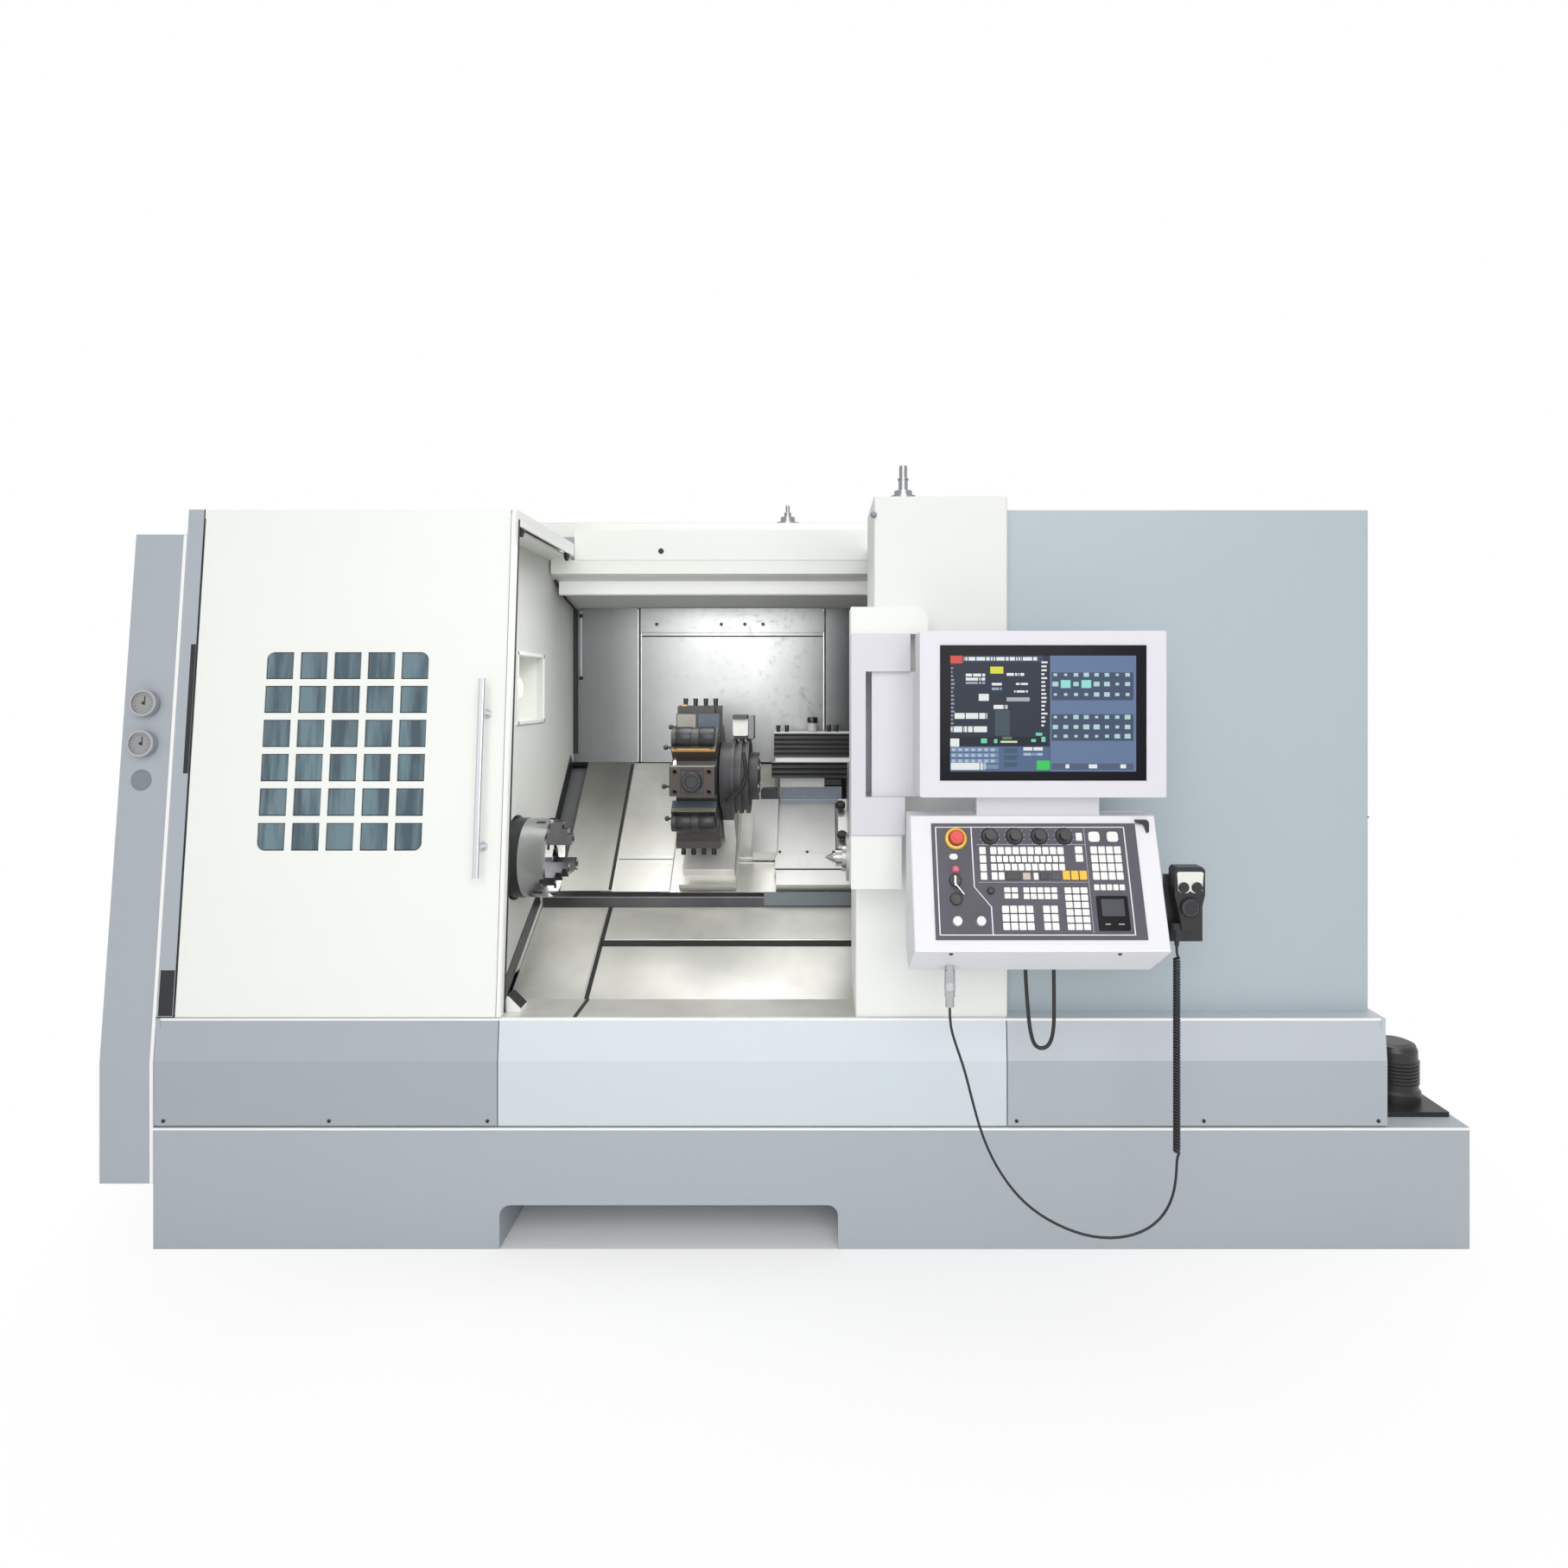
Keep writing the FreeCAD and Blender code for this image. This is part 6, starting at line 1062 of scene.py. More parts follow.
# ---- Monitor
# A steel case with a black glass front and a display behind it. Its picture is a plain page of the
# generic kind: blocks for words, rows of square icons, and no writing.
black_glass = moulded("black_glass", (0.006, 0.006, 0.009, 1), 0.15)
fixed(black_glass, Specular_IOR_Level=0.12)
dress(black_glass, "screen", "screen_panel")
picture, shader, wire = finish_named("lit_picture")
tone = wire.node("ShaderNodeAttribute", {"attribute_name": "tone"}, {})
mesh_dots = wire.clouds(wire.place(), 420.0, 1.0)
shown = wire.blend(mesh_dots * 0.16, tone, (0.02, 0.03, 0.06, 1))
wire.blend(mesh_dots * 0.1 + 0.8, shown, (0, 0, 0, 1)).into(shader, "Base Color")
shown.into(shader, "Emission Color")
fixed(picture, Emission_Strength=0.85, Roughness=0.3, Specular_IOR_Level=0.15)
picture_foot = at(346.0, -282.0, 1350.6)
PAGE = np.array([0.461, 0.2875])


def shown_at(left, top, right, bottom):
    """Place on the display from shares of its width and height, counted from its top left corner."""
    box = np.stack(np.broadcast_arrays(left, top, right, bottom), -1).astype(float).reshape(-1, 4)
    middle = np.column_stack([(box[:, 0] + box[:, 2]) / 2, 1 - (box[:, 1] + box[:, 3]) / 2]) * PAGE
    size = np.column_stack([box[:, 2] - box[:, 0], box[:, 3] - box[:, 1]]) * PAGE
    return np.hstack([middle, size])


def layer(name, foot, up, rise, corner, soften, rows, material):
    """Plates of one height on the panel: each row has the places of some plates and their colour."""
    places = np.vstack([r[0] for r in rows])
    tones = np.vstack([np.repeat([r[1]], len(r[0]), axis=0) for r in rows])
    shape = plates(places, foot, up=up, rise=rise, corner=corner, soften=soften)
    new_piece(name, shape, material, "panel", tones=tones)


def page(name, rise, rows):
    """One layer of the picture."""
    layer(name, picture_foot, (0, 0, 1), rise, 0.0008, 0.0001, rows, picture)


navy, steel_blue, pale_blue = tint(46, 52, 66), tint(104, 124, 158), tint(86, 106, 140)
ink, paper, mint = tint(72, 84, 108), tint(232, 238, 236), tint(150, 226, 216)
page("screen_ground", 0.0005, [
    (shown_at(0.0, 0.0, 0.535, 0.785), navy),
    (shown_at(0.0, 0.785, 0.535, 1.0), pale_blue),
    (shown_at(0.537, 0.0, 1.0, 1.0), steel_blue),
])
page("screen_bands", 0.0009, [
    (shown_at(0.0, 0.0, 0.50, 0.055), tint(64, 74, 100)),
    (shown_at(0.545, 0.145, 0.985, 0.385), ink),
    (shown_at(0.545, 0.505, 0.985, 0.735), ink),
    (shown_at(0.0, 0.700, 0.52, 0.775), tint(34, 38, 46)),
    (shown_at(0.24, 0.47, 0.32, 0.69), tint(70, 84, 92)),
    (shown_at(0.0, 0.79 + 0.05 * np.arange(4), 0.26, 0.826 + 0.05 * np.arange(4)), tint(122, 142, 172)),
    (shown_at(0.29, 0.80 + 0.06 * np.arange(3), 0.36, 0.84 + 0.06 * np.arange(3)), tint(70, 92, 110)),
    (shown_at(0.545, 0.93, 0.985, 0.985), tint(84, 98, 124)),
])
dice = np.random.RandomState(11)


def words(left, right, top, tall, count):
    """A row of blocks that stand for words: their widths vary, their gaps don't."""
    cuts = np.sort(dice.uniform(left, right, count - 1))
    edges = np.concatenate([[left], cuts, [right]])
    return shown_at(edges[:-1] + 0.003, top, np.maximum(edges[1:] - 0.003, edges[:-1] + 0.006), top + tall)


icon_column = 0.565 + 0.0555 * np.arange(8)
icons = np.array([(c, r) for r in (0.165, 0.245, 0.335, 0.530, 0.615, 0.695) for c in icon_column])
size = dice.uniform(0.010, 0.021, len(icons))


def squares(spots, wide, high):
    """Places that reach that far to both sides of their spots."""
    return shown_at(spots[:, 0] - wide, spots[:, 1] - high, spots[:, 0] + wide, spots[:, 1] + high)


icon_places = squares(icons, size * 0.8, size)
bright_icons = np.array([9, 11])
plain_icons = np.setdiff1d(np.arange(48), bright_icons)
big = squares(icons[bright_icons], 0.026, 0.034)
ladder = 0.05 + 0.034 * np.arange(17)
table_x, table_z = grid(0.035 * np.arange(7) + 0.008, 0.80 + 0.048 * np.arange(3))
page("screen_marks", 0.0014, [
    (words(0.07, 0.47, 0.012, 0.030, 16), paper),
    (words(0.08, 0.19, 0.155, 0.025, 3), paper),
    (words(0.08, 0.19, 0.190, 0.025, 3), paper),
    (words(0.08, 0.19, 0.225, 0.020, 3), tint(150, 170, 190)),
    (words(0.15, 0.21, 0.330, 0.060, 1), paper),
    (words(0.02, 0.20, 0.495, 0.050, 5), paper),
    (words(0.0, 0.20, 0.610, 0.050, 6), paper),
    (words(0.22, 0.28, 0.235, 0.022, 2), paper),
    (words(0.22, 0.28, 0.275, 0.022, 2), tint(150, 170, 190)),
    (words(0.30, 0.40, 0.150, 0.024, 4), paper),
    (words(0.35, 0.42, 0.235, 0.018, 3), paper),
    (words(0.34, 0.42, 0.300, 0.018, 3), paper),
    (words(0.30, 0.43, 0.360, 0.034, 1), tint(170, 178, 186)),
    (words(0.23, 0.31, 0.425, 0.035, 3), paper),
    (shown_at(0.490, ladder, 0.490 + dice.uniform(0.012, 0.036, 17), ladder + 0.016), paper),
    (shown_at(0.004, ladder + 0.05, 0.004 + dice.uniform(0.006, 0.02, 17), ladder + 0.066),
     tint(150, 160, 176)),
    (shown_at(0.0, 0.0, 0.065, 0.068), tint(214, 84, 72)),
    (shown_at(0.215, 0.095, 0.285, 0.155), tint(222, 222, 66)),
    (shown_at(0.0, 0.715, 0.048, 0.785), paper),
    (shown_at([0.165, 0.235, 0.46, 0.49, 0.435], [0.715, 0.72, 0.665, 0.70, 0.72],
              [0.197, 0.253, 0.495, 0.512, 0.46], [0.755, 0.755, 0.69, 0.745, 0.745]), tint(110, 214, 170)),
    (shown_at(0.27, 0.735, 0.36, 0.752), tint(214, 226, 190)),
    (shown_at(0.28, 0.700, 0.33, 0.722), tint(96, 130, 96)),
    (shown_at(table_x, table_z, table_x + 0.020, table_z + 0.024), tint(176, 194, 214)),
    (words(0.39, 0.50, 0.79, 0.028, 3), paper),
    (words(0.39, 0.50, 0.84, 0.022, 4), tint(170, 190, 206)),
    (words(0.0, 0.19, 0.925, 0.060, 4), paper),
    (shown_at(0.465, 0.905, 0.535, 0.985), tint(64, 206, 92)),
    (icon_places[plain_icons], tint(178, 214, 214)),
    (big, mint),
    (shown_at([0.62, 0.745, 0.915], 0.938, [0.640, 0.790, 0.945], 0.972), paper),
])
case_vents = plates(spread(*grid(0.018 * np.arange(12), 0.024 * np.arange(5)), 0.005, 0.018),
                    at(720.0, -170.0, 1580.0), (-1, 0, 0), rise=0.0008, corner=0.002, soften=0.0003)
new_piece("monitor_vents", case_vents, dark_gap, "panel")
bolts("monitor_back_screws", "panel", small_bolt,
      at([290, 864, 290, 864], -170.0, [1304, 1304, 1682, 1682]), (0, 1, 0), 14)


# ---- Key desk
# A film keyboard on a steel plate: raised square keys in blocks, white border lines, a touch pad, a
# key switch and the stop button's yellow ring round its red cap.
DESK_RUN, DESK_DROP = 116.0, 310.0
DESK_SLANT = np.array([0.0, DESK_RUN, DESK_DROP]) / math.hypot(DESK_RUN, DESK_DROP)
DESK_OUT = np.array([0.0, -DESK_DROP, DESK_RUN]) / math.hypot(DESK_RUN, DESK_DROP)
key_film = moulded("key_film", tint(80, 77, 88), 0.55)
dress(key_film, "key_grey", "key_plate")
film_corner = at(301.0, -256.83, 1217.75) + DESK_OUT * 0.003
FILM = np.array([0.510, 0.284])


def film_at(left, top, right, bottom, columns=1, rows=1, gap=0.0030):
    """Blocks of keys on the film, from shares of its width and height counted from its top left."""
    wide = (right - left) * FILM[0] / columns
    tall = (bottom - top) * FILM[1] / rows
    across, down = grid(np.arange(columns) + 0.5, np.arange(rows) + 0.5)
    return spread(left * FILM[0] + across * wide, -top * FILM[1] - down * tall, wide - gap, tall - gap)


def film_piece(name, rise, corner, blocks, gap=0.0030):
    """Keys or lines of one height on the film: each colour comes with its blocks."""
    rows = [(film_at(*block, gap=gap), tone) for tone, *group in blocks for block in group]
    layer(name, film_corner, DESK_SLANT, rise, corner, 0.0004, rows, key_face)


def on_film(u, v, lift=0.0):
    """Point on the film at those shares of its width and height, in metres, lifted off it."""
    return film_corner + np.array([u * FILM[0], 0, 0]) - DESK_SLANT * (v * FILM[1]) + DESK_OUT * lift


key_white, key_black, key_yellow = tint(236, 236, 234), tint(30, 30, 34), tint(240, 188, 44)
line_white, line_grey, pad_grey = tint(236, 236, 240), tint(176, 174, 184), tint(200, 200, 204)
key_face = toned("key_face", rough=0.36, worn=0.05)
film_piece("film_keys", 0.0028, 0.0016, [
    (key_white, (0.225, 0.205, 0.262, 0.500, 1, 4), (0.278, 0.205, 0.640, 0.280, 10, 1),
     (0.278, 0.284, 0.640, 0.348, 12, 1), (0.278, 0.352, 0.640, 0.420, 11, 1),
     (0.278, 0.425, 0.345, 0.500, 2, 1)),
    (key_black, (0.348, 0.430, 0.425, 0.500)),
    (tint(190, 180, 168), (0.428, 0.430, 0.470, 0.500)),
    (key_white, (0.480, 0.430, 0.508, 0.500)),
    (key_black, (0.512, 0.430, 0.560, 0.500)),
    (tint(60, 58, 66), (0.565, 0.430, 0.615, 0.500)),
    (key_yellow, (0.620, 0.412, 0.742, 0.500, 3, 1)),
    (key_white, (0.690, 0.200, 0.732, 0.345, 1, 2), (0.765, 0.200, 0.918, 0.500, 4, 4),
     (0.765, 0.530, 0.918, 0.590, 5, 1), (0.700, 0.080, 0.736, 0.160, 1, 1),
     (0.333, 0.555, 0.404, 0.660, 2, 2), (0.425, 0.555, 0.592, 0.665, 5, 2),
     (0.622, 0.555, 0.737, 0.924, 3, 6), (0.317, 0.710, 0.471, 0.924, 4, 3),
     (0.512, 0.710, 0.588, 0.924, 2, 3)),
])
film_piece("film_round_keys", 0.0030, 0.007, [
    (key_white, (0.762, 0.070, 0.822, 0.170), (0.852, 0.070, 0.912, 0.170), (0.078, 0.265, 0.125, 0.325)),
])
film_piece("film_lines", 0.0006, 0.0004, [
    (line_white, (0.018, 0.030, 0.945, 0.038), (0.018, 0.955, 0.945, 0.963), (0.018, 0.030, 0.0235, 0.963),
     (0.9395, 0.030, 0.945, 0.963), (0.192, 0.038, 0.1975, 0.560), (0.268, 0.720, 0.2735, 0.955)),
    (line_grey, (0.745, 0.045, 0.748, 0.945), (0.215, 0.185, 0.745, 0.190), (0.215, 0.512, 0.745, 0.517)),
], gap=0.0)
link_line = [on_film(0.1948, 0.556, 0.0003), on_film(0.2705, 0.724, 0.0003)]
new_piece("film_link_line", bar((0.0024, 0.0010, 0.0003), link_line, (X_AXIS, DESK_OUT)), bright_edge,
          "panel")
touch_pad = plates(film_at(0.770, 0.628, 0.925, 0.930), film_corner, up=DESK_SLANT, rise=0.003,
                   corner=0.004, soften=0.001)
new_piece("touch_pad", touch_pad, black_glass, "panel")
film_piece("touch_pad_parts", 0.0038, 0.002, [
    (tint(44, 46, 58), (0.790, 0.655, 0.905, 0.810)),
    (pad_grey, (0.800, 0.862, 0.832, 0.880), (0.862, 0.862, 0.898, 0.880)),
])


def axis_on_film(name):
    """Where that round CAD piece's axis meets the film: the middle of its reach both ways."""
    piece = nodes[name]
    spots = np.array([piece.matrix_world @ spot.co for spot in piece.data.vertices]) - film_corner
    across, down = spots[:, 0], spots @ DESK_SLANT
    middle = np.array([(across.min() + across.max()) / 2, 0, 0])
    return film_corner + middle + DESK_SLANT * ((down.min() + down.max()) / 2)


def film_rings(name, profile, pieces, count, material):
    """Turned rings round CAD pieces. The profile closes on itself, so no disc closes the rings."""
    feet = [axis_on_film(piece) for piece in pieces]
    points, faces = turned(profile + profile[:1], feet, DESK_OUT, count)
    shape = points, [face for face in faces if len(face) == 4]
    new_piece(name, shape, material, "panel", smooth=35)
    return feet


black_plastic = moulded("black_plastic", (0.018, 0.018, 0.020, 1), 0.36)
white_plastic = moulded("white_plastic", (0.80, 0.80, 0.80, 1), 0.32)
red_plastic = moulded("red_plastic", (0.70, 0.040, 0.025, 1), 0.28)
yellow_plastic = moulded("yellow_plastic", (0.86, 0.56, 0.04, 1), 0.32)
KNOBS = [f"knob_{k + 1}" for k in range(4)]
dress(red_plastic, "red_plastic", "e_stop")
dress(black_plastic, "black_plastic", *KNOBS, "handset", "handset_holder", "handset_knob_left",
      "handset_knob_right", "coolant_pump")
dress(white_plastic, "white_plastic", "start_button", "hold_button")
stop_ring = [(0.0275, -0.0002), (0.0275, 0.0016), (0.0258, 0.0050), (0.0200, 0.0062), (0.0194, 0.0040),
             (0.0194, -0.0002)]
knob_ring = [(0.0215, -0.0002), (0.0215, 0.0006), (0.0203, 0.0012), (0.0186, 0.0006), (0.0186, -0.0002)]
button_rim = [(0.0135, -0.0002), (0.0135, 0.0016), (0.0128, 0.0024), (0.0117, 0.0020), (0.0117, -0.0002)]
film_rings("stop_button_ring", stop_ring, ["e_stop"], 48, yellow_plastic)
knob_feet = film_rings("knob_rings", knob_ring, KNOBS, 40, dark_metal)
film_rings("button_rims", button_rim, ["start_button", "hold_button"], 36, turned_chrome)
scale = dots(0.0245, np.radians(np.linspace(-135, 135, 11)), 0.0016)
scales = [plates(scale, foot, up=DESK_SLANT, rise=0.0007, corner=0.0008, soften=0.0002) for foot in knob_feet]
new_piece("knob_scales", joined(*scales), bright_edge, "panel")
lamp_cap = [(0.0095, -0.0002), (0.0095, 0.003), (0.0080, 0.004), (0.0078, 0.009), (0.0055, 0.0115),
            (0.0010, 0.0120)]
lock_body = [(0.0150, -0.0002), (0.0150, 0.004), (0.0135, 0.007), (0.0100, 0.0075), (0.0098, 0.011),
             (0.0010, 0.011)]
selector = [(0.0085, -0.0002), (0.0085, 0.006), (0.0075, 0.010), (0.0055, 0.011), (0.0010, 0.011)]
pink = moulded("pink_lens", tint(206, 96, 118), 0.2)
for name, profile, spots, count, material, slot in [
    ("alarm_lamp", lamp_cap, [on_film(0.108, 0.405)], 28, pink, "red_plastic"),
    ("key_switch", lock_body, [on_film(0.105, 0.50), on_film(0.105, 0.66)], 32, black_plastic,
     "black_plastic"),
    ("mode_selector", selector, [on_film(0.272, 0.590)], 28, black_plastic, "black_plastic"),
]:
    lathed(name, profile, spots, DESK_OUT, count, material, "panel")
key_blade = plates([[0, 0, 0.0050, 0.026]], on_film(0.098, 0.515, 0.011), up=DESK_SLANT, rise=0.016,
                   corner=0.0024, soften=0.0010)
turned_right = (0.8, 0.6 * DESK_SLANT[1], 0.6 * DESK_SLANT[2])
turned_up = (-0.6, 0.8 * DESK_SLANT[1], 0.8 * DESK_SLANT[2])
key_bow = plates([[0, 0, 0.0028, 0.040]], on_film(0.115, 0.575, 0.011), turned_right, turned_up,
                 rise=0.012, corner=0.0014, soften=0.0006)
new_piece("keys_in_switch", joined(key_blade, key_bow), turned_chrome, "panel")
clip = [(-0.016, 0.006), (0.012, 0.006), (0.016, 0.000), (0.016, -0.024), (0.010, -0.026), (0.004, -0.006),
        (-0.016, -0.001)]
new_piece("cable_clip", carried(clip, at(828.0, [-252.0, -268.0], 1222.0), *FRONT_TO_BACK), black_plastic,
          "panel")
HEEL_OUT = np.array([0.0, -86.0, -150.0]) / math.hypot(150.0, 86.0)
bolts("desk_heel_screws", "panel", small_bolt, at([338, 745], -352.0, 918.0), HEEL_OUT, 16)
new_piece("desk_front_edge", bar((0.002, 0.0012, 0.0003), at([250, 863], -365.0, 928.5), ALONG_X),
          bright_edge, "panel")


# ---- Handset
# A black moulded case in its holder: a pale face plate round the two selectors, a marked wheel below
# them, and soft sleeves over both ends of the cord. Bright nuts hold the hose under the desk.
face_plate = [(-0.033, 0.030), (-0.029, 0.033), (0.029, 0.033), (0.033, 0.030), (0.030, -0.014),
              (0.022, -0.019), (0.008, -0.020), (0.0, -0.015), (-0.008, -0.020), (-0.022, -0.019),
              (-0.030, -0.014)]
new_piece("handset_face", carried(face_plate, at(947.0, [-266.0, -268.6], 1066.0), *FRONT_TO_BACK),
          bright_fold, "panel")
FORWARD, DOWN = (0, -1, 0), (0, 0, -1)
knob_seat = [(0.0135, -0.0005), (0.0135, 0.0012), (0.0122, 0.0018), (0.0050, 0.0018)]
wheel_rim = [(0.0240, -0.001), (0.0245, 0.002), (0.0235, 0.0035), (0.0215, 0.0035), (0.0205, 0.0015),
             (0.0010, 0.0015)]
sleeve_taper = [(0.0090, 0.0), (0.0088, 0.004), (0.0070, 0.006), (0.0078, 0.009), (0.0062, 0.012),
                (0.0070, 0.015), (0.0054, 0.019), (0.0060, 0.022), (0.0044, 0.030)]
boot_ribs = [(0.0092, 0.0), (0.0098, 0.004), (0.0080, 0.008), (0.0090, 0.012), (0.0074, 0.016),
             (0.0082, 0.020), (0.0066, 0.026)]
for name, profile, foot, axis, count, material, slot in [
    ("handset_knob_rings", knob_seat, ([930.5, 963.5], -268.6, 1060.0), FORWARD, 32, black_plastic,
     "black_plastic"),
    ("handset_wheel", wheel_rim, (947.0, -272.0, 1010.0), FORWARD, 48, dark_metal, "black_plastic"),
    ("handset_cord_sleeve", sleeve_taper, (920.0, -250.0, 938.5), DOWN, 28, soft_rubber, "rubber"),
    ("connector_boot", boot_ribs, (349.0, -250.0, 783.0), DOWN, 28, soft_rubber, "rubber"),
]:
    lathed(name, profile, at(*foot), axis, count, material, "panel")
wheel_marks = plates(dots(0.0190, np.radians(np.arange(20) * 18), 0.0012), at(947.0, -273.5, 1010.0),
                     rise=0.0006, corner=0.0006, soften=0.0002)
new_piece("handset_wheel_marks", wheel_marks, bright_edge, "panel")
knurl = [(0.0131, 0.0), (0.0138, 0.001), (0.0138, 0.018), (0.0131, 0.019)]
gland_nut = [(0.0056, 0.0), (0.0100, 0.001), (0.0100, 0.012), (0.0080, 0.016), (0.0056, 0.017)]
new_piece("connector_knurl", turned(knurl, at(349.0, -250.0, 800.0), Z_AXIS, 30), satin_aluminium,
          "panel")
new_piece("hose_gland_nuts", turned(gland_nut, at([553, 627], -185.0, 838.0), Z_AXIS, 6), satin_aluminium,
          "panel")


# ---- Rear cabinet, covers and pump
# The back is plain steel: seams and bolts in its sheets, louvres, a fan grille and a turn latch in the
# cabinet's door, and the switchgear behind it. The finned pump and the small screws of the bar port,
# the skirt and the column come last.
LEFT, BACK = (-1, 0, 0), (0, 1, 0)
ON_BACK, ON_SIDE, SIDE_UP = ALONG_X, ((0, 1, 0), (1, 0, 0)), ((0, 0, 1), (1, 0, 0))
WIDE_SEAM, TALL_SEAM = (0.004, 0.0012, 0.0003), (0.0012, 0.004, 0.0003)


def seams(name, body, lines):
    """Dark lines along joints between two sheets, as one piece."""
    new_piece(name, joined(*[bar(*line) for line in lines]), dark_gap, body)


LEAF = at(0.0, 1675.6, 0.0)
LEAF_LEFT, LEAF_RIGHT, LEAF_FOOT, LEAF_TOP = 696, -722, 650.0, 1890.0
FAN_Z = 1.62
louvre_x, louvre_z = grid([0.34, -0.34], 0.86 + 0.030 * np.arange(9))
louvres = plates(spread(louvre_x, louvre_z, 0.260, 0.012), LEAF, LEFT, rise=0.007, corner=0.005, soften=0.005)
new_piece("cabinet_louvres", louvres, grey_coat, "cabinet_door")
slots = plates(spread(louvre_x, louvre_z - 0.009, 0.250, 0.005), LEAF, LEFT, rise=0.001, corner=0.002,
               soften=0.0003)
hole_x, hole_z = grid(0.020 * np.arange(-5, 6), 0.020 * np.arange(-5, 6))
inside = np.hypot(hole_x, hole_z) < 0.108
fan_holes = plates(spread(hole_x[inside], FAN_Z + hole_z[inside], 0.013, 0.013), LEAF + (0, 0.0045, 0), LEFT,
                   rise=0.0006, corner=0.006, soften=0.0002)
new_piece("cabinet_slots_and_grille", joined(slots, fan_holes), dark_gap, "cabinet_door")
fan_plate = plates([[0, FAN_Z, 0.260, 0.260]], LEAF, LEFT, rise=0.0048, corner=0.02, soften=0.002)
new_piece("cabinet_fan_plate", fan_plate, painted_tone, "cabinet_door",
          tones=[tint(140, 148, 154)])
latch_plate = plates([[-0.640, 1.27, 0.034, 0.150]], LEAF, LEFT, rise=0.004, corner=0.01, soften=0.002)
latch_grip = plates([[-0.640, 1.30, 0.020, 0.100]], LEAF + (0, 0.004, 0), LEFT, rise=0.0055, corner=0.008,
                    soften=0.003)
new_piece("cabinet_latch", joined(latch_plate, latch_grip), dark_metal, "cabinet_door")
seams("cabinet_door_edges", "cabinet_door",
      [(TALL_SEAM, at([LEAF_RIGHT, LEAF_LEFT], 1676.0, z), ON_BACK) for z in (LEAF_FOOT, LEAF_TOP)]
      + [(WIDE_SEAM, at(x, 1676.0, [LEAF_FOOT, LEAF_TOP]), UPRIGHT) for x in (-714.0, 688.0)])
duct_grey = tint(150, 156, 162)
gear = [
    ([[0, 1.27, 1.24, 1.12]], 0.0102, tint(186, 190, 192)),
    ([[0, z, 1.16, 0.055] for z in (0.76, 1.02, 1.28, 1.54, 1.79)], 0.060, duct_grey),
    ([[x, z, 0.055, 0.200] for x in (-0.55, 0.55) for z in (0.89, 1.15, 1.41, 1.665)], 0.058, duct_grey),
    ([[-0.46 + 0.023 * k, 0.89, 0.019, 0.080] for k in range(41)], 0.045, tint(196, 190, 168)),
    ([[-0.44 + 0.088 * k, 1.15, 0.064, 0.100] for k in range(11)], 0.085, tint(48, 50, 54)),
    ([[-0.45 + 0.060 * k, 1.41, 0.050, 0.110] for k in range(16)], 0.070, tint(214, 216, 216)),
    ([[-0.38 + 0.253 * k, 1.665, 0.170, 0.190] for k in range(4)], 0.145, tint(78, 84, 90)),
]
gear_shapes = [plates(places, at(0.0, 1468.3, 0.0), LEFT, rise=rise, corner=0.005, soften=0.003)
               for places, rise, _ in gear]
gear_tones = np.repeat([tone for *_, tone in gear], [len(places) for places, *_ in gear], axis=0)
new_piece("cabinet_gear", joined(*gear_shapes), painted_tone, "root", tones=gear_tones)
leaf_ribs = plates([[-0.36, 1.27, 0.050, 1.060], [0.36, 1.27, 0.050, 1.060], [0, 0.96, 0.300, 0.220]],
                   at(0.0, 1653.6, 0.0), rise=0.014, corner=0.008, soften=0.004)
new_piece("cabinet_door_ribs", leaf_ribs, grey_coat, "cabinet_door")

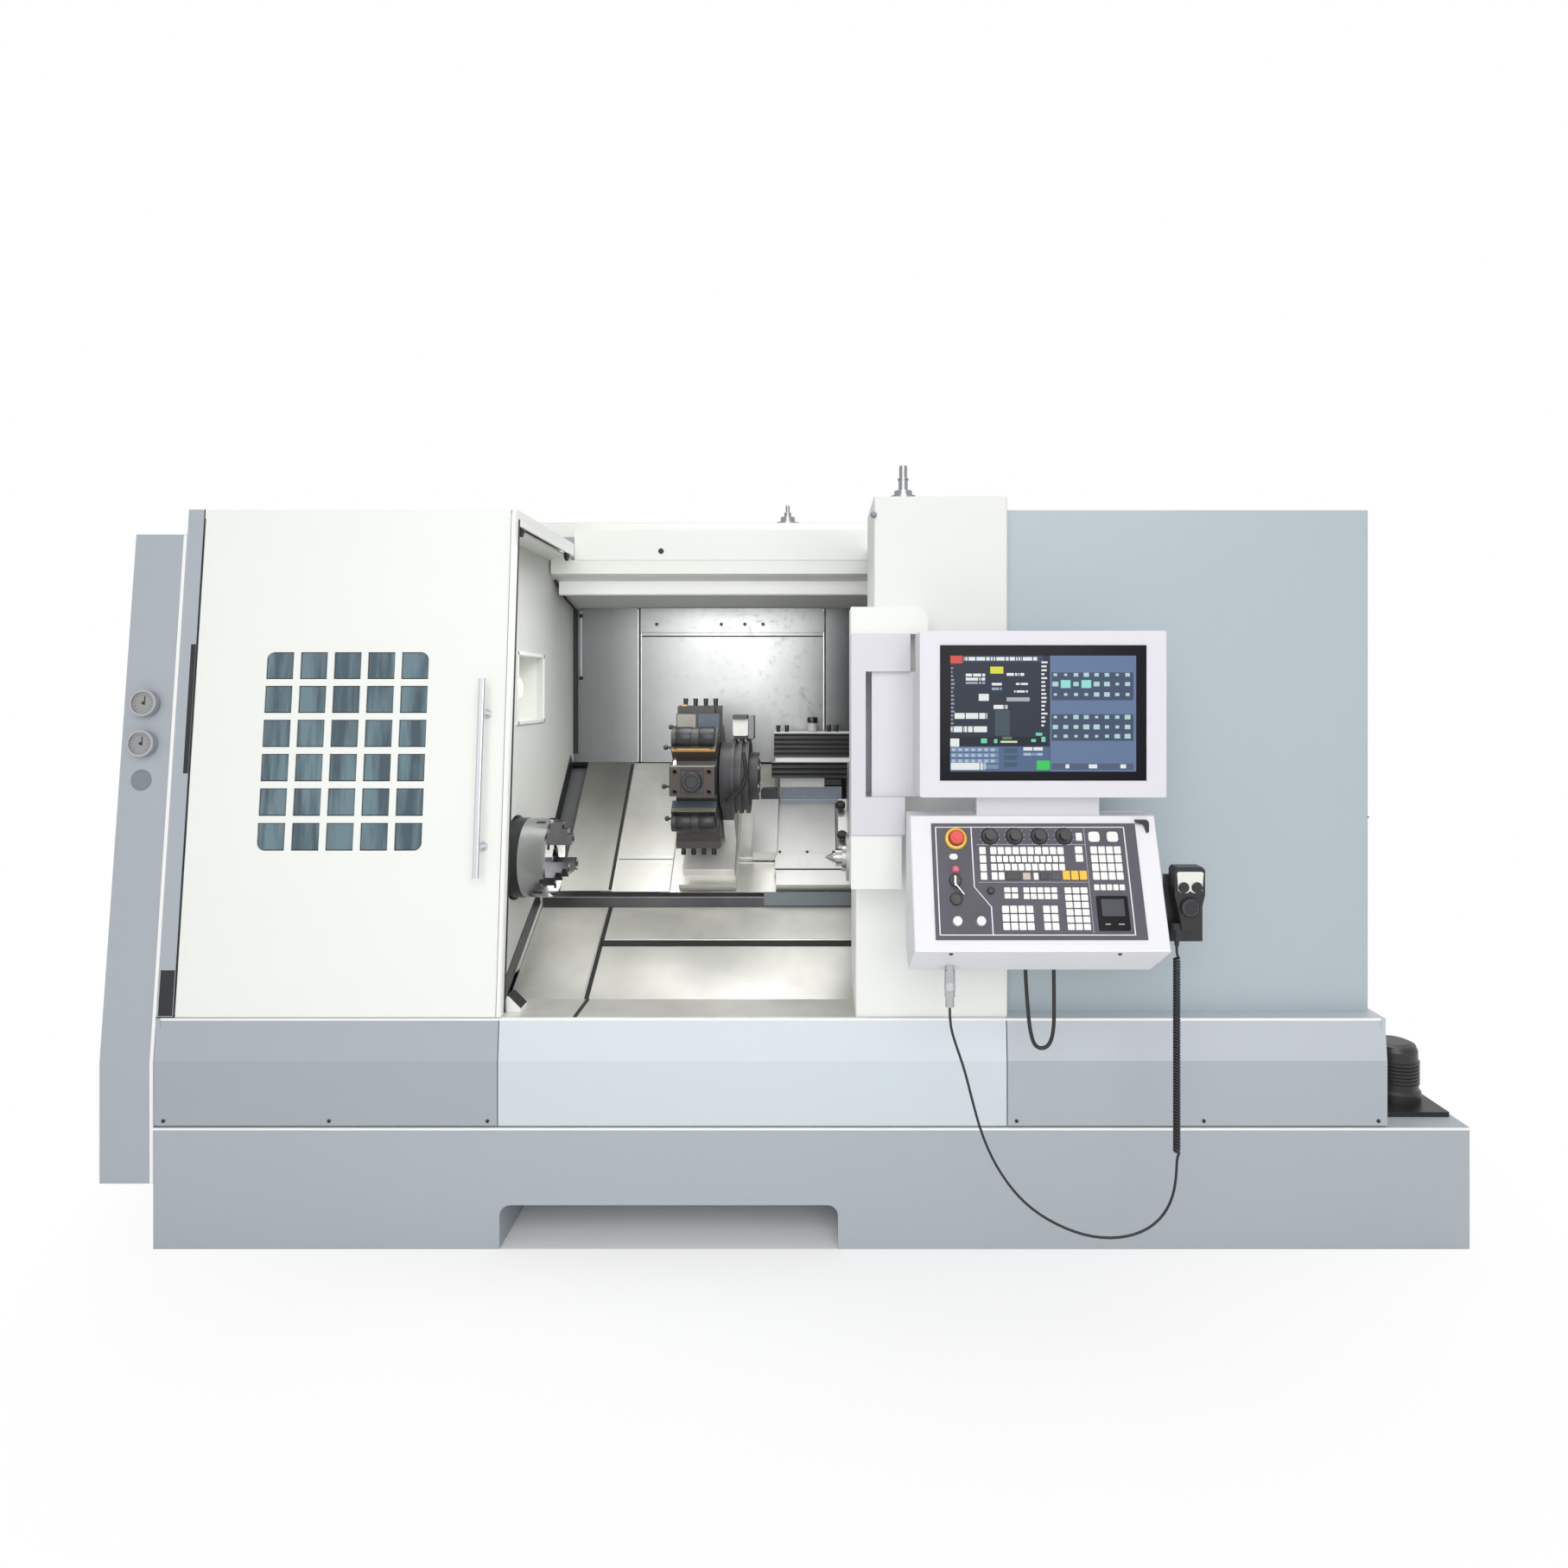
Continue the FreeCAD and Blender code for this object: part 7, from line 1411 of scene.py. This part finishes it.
seams("rear_cover_seams", "root",
      [(WIDE_SEAM, at(x, 1450.3, [345, 2190]), UPRIGHT) for x in (-1280.0, -736.0, 712.0, 1150.0)]
      + [(TALL_SEAM, at(ends, 1450.3, 980.0), ON_BACK) for ends in ([-1826, -726], [702, 1589])]
      + [(WIDE_SEAM, at(x, [1004, 1448], 2195.2), FRONT_TO_BACK) for x in (-1280.0, -480.0, 480.0, 1150.0)]
      + [(WIDE_SEAM, at(1591.2, 1224.0, [345, 2190]), ON_SIDE)])
seams("right_cover_seams", "root", [(WIDE_SEAM, at(1591.2, 560.0, [642, 2062]), ON_SIDE),
                                    (WIDE_SEAM, at(1591.2, [74, 996], 1190.0), SIDE_UP),
                                    (WIDE_SEAM, at([560, 1588], 560, 2066.2), ON_BACK)])
seams("end_cover_seams", "root", [((0.004, 0.0006, 0.0003), at(-1977.6, [front, 1440], z), SIDE_UP)
                                  for front, z in ((140, 1560.0), (60, 640.0))])
side_z = [700, 1130, 1250, 2010]
side_spots = np.vstack([at(1591.0, 100.0, side_z), at(1591.0, 960.0, side_z)])
rear_x, rear_z = grid([-1800, -1310, -1250, -765, 740, 1120, 1180, 1560], [380, 950, 1010, 2160])
for name, spots, axis in [
    ("right_cover_bolts", side_spots, X_AXIS),
    ("rear_cover_bolts", at(rear_x, 1450.0, rear_z), BACK),
    ("pump_plate_bolts", at([1626, 1626, 1799, 1799], [81, 269, 81, 269], 344.0), Z_AXIS),
    ("apron_foot_screws", at([-1800, -1340, -900, 570, 1090, 1575], 0.0, 356.0), FORWARD),
]:
    bolts(name, "root", small_bolt, spots, axis, 16)
turn = np.radians(np.arange(6) * 60)
port_spots = at(-1974.4, 450 + 80 * np.cos(turn), 1010 + 80 * np.sin(turn))
bolts("bar_port_bolts", "root", small_bolt, port_spots, LEFT, 16)

pump_rib = [(r, 0.010 * k + h) for k in range(7)
            for r, h in ((0.0622, 0.0), (0.0665, 0.002), (0.0665, 0.006), (0.0622, 0.008))]
lathed("pump_fins", pump_rib, at(1723.0, 175.0, 400.0), Z_AXIS, 48, black_plastic, "root")
column_knob = [(0.009, -0.0004), (0.009, 0.003), (0.007, 0.005), (0.007, 0.013), (0.0045, 0.016),
               (0.001, 0.016)]
lathed("column_knob", column_knob, at(174.0, 20.0, 2043.0), FORWARD, 24, trim_grey, "root")

gallery = [node for node in ("handset_cord", "curly_cord", "hose_loop") if node in nodes]
dress(soft_rubber, "rubber", *gallery)
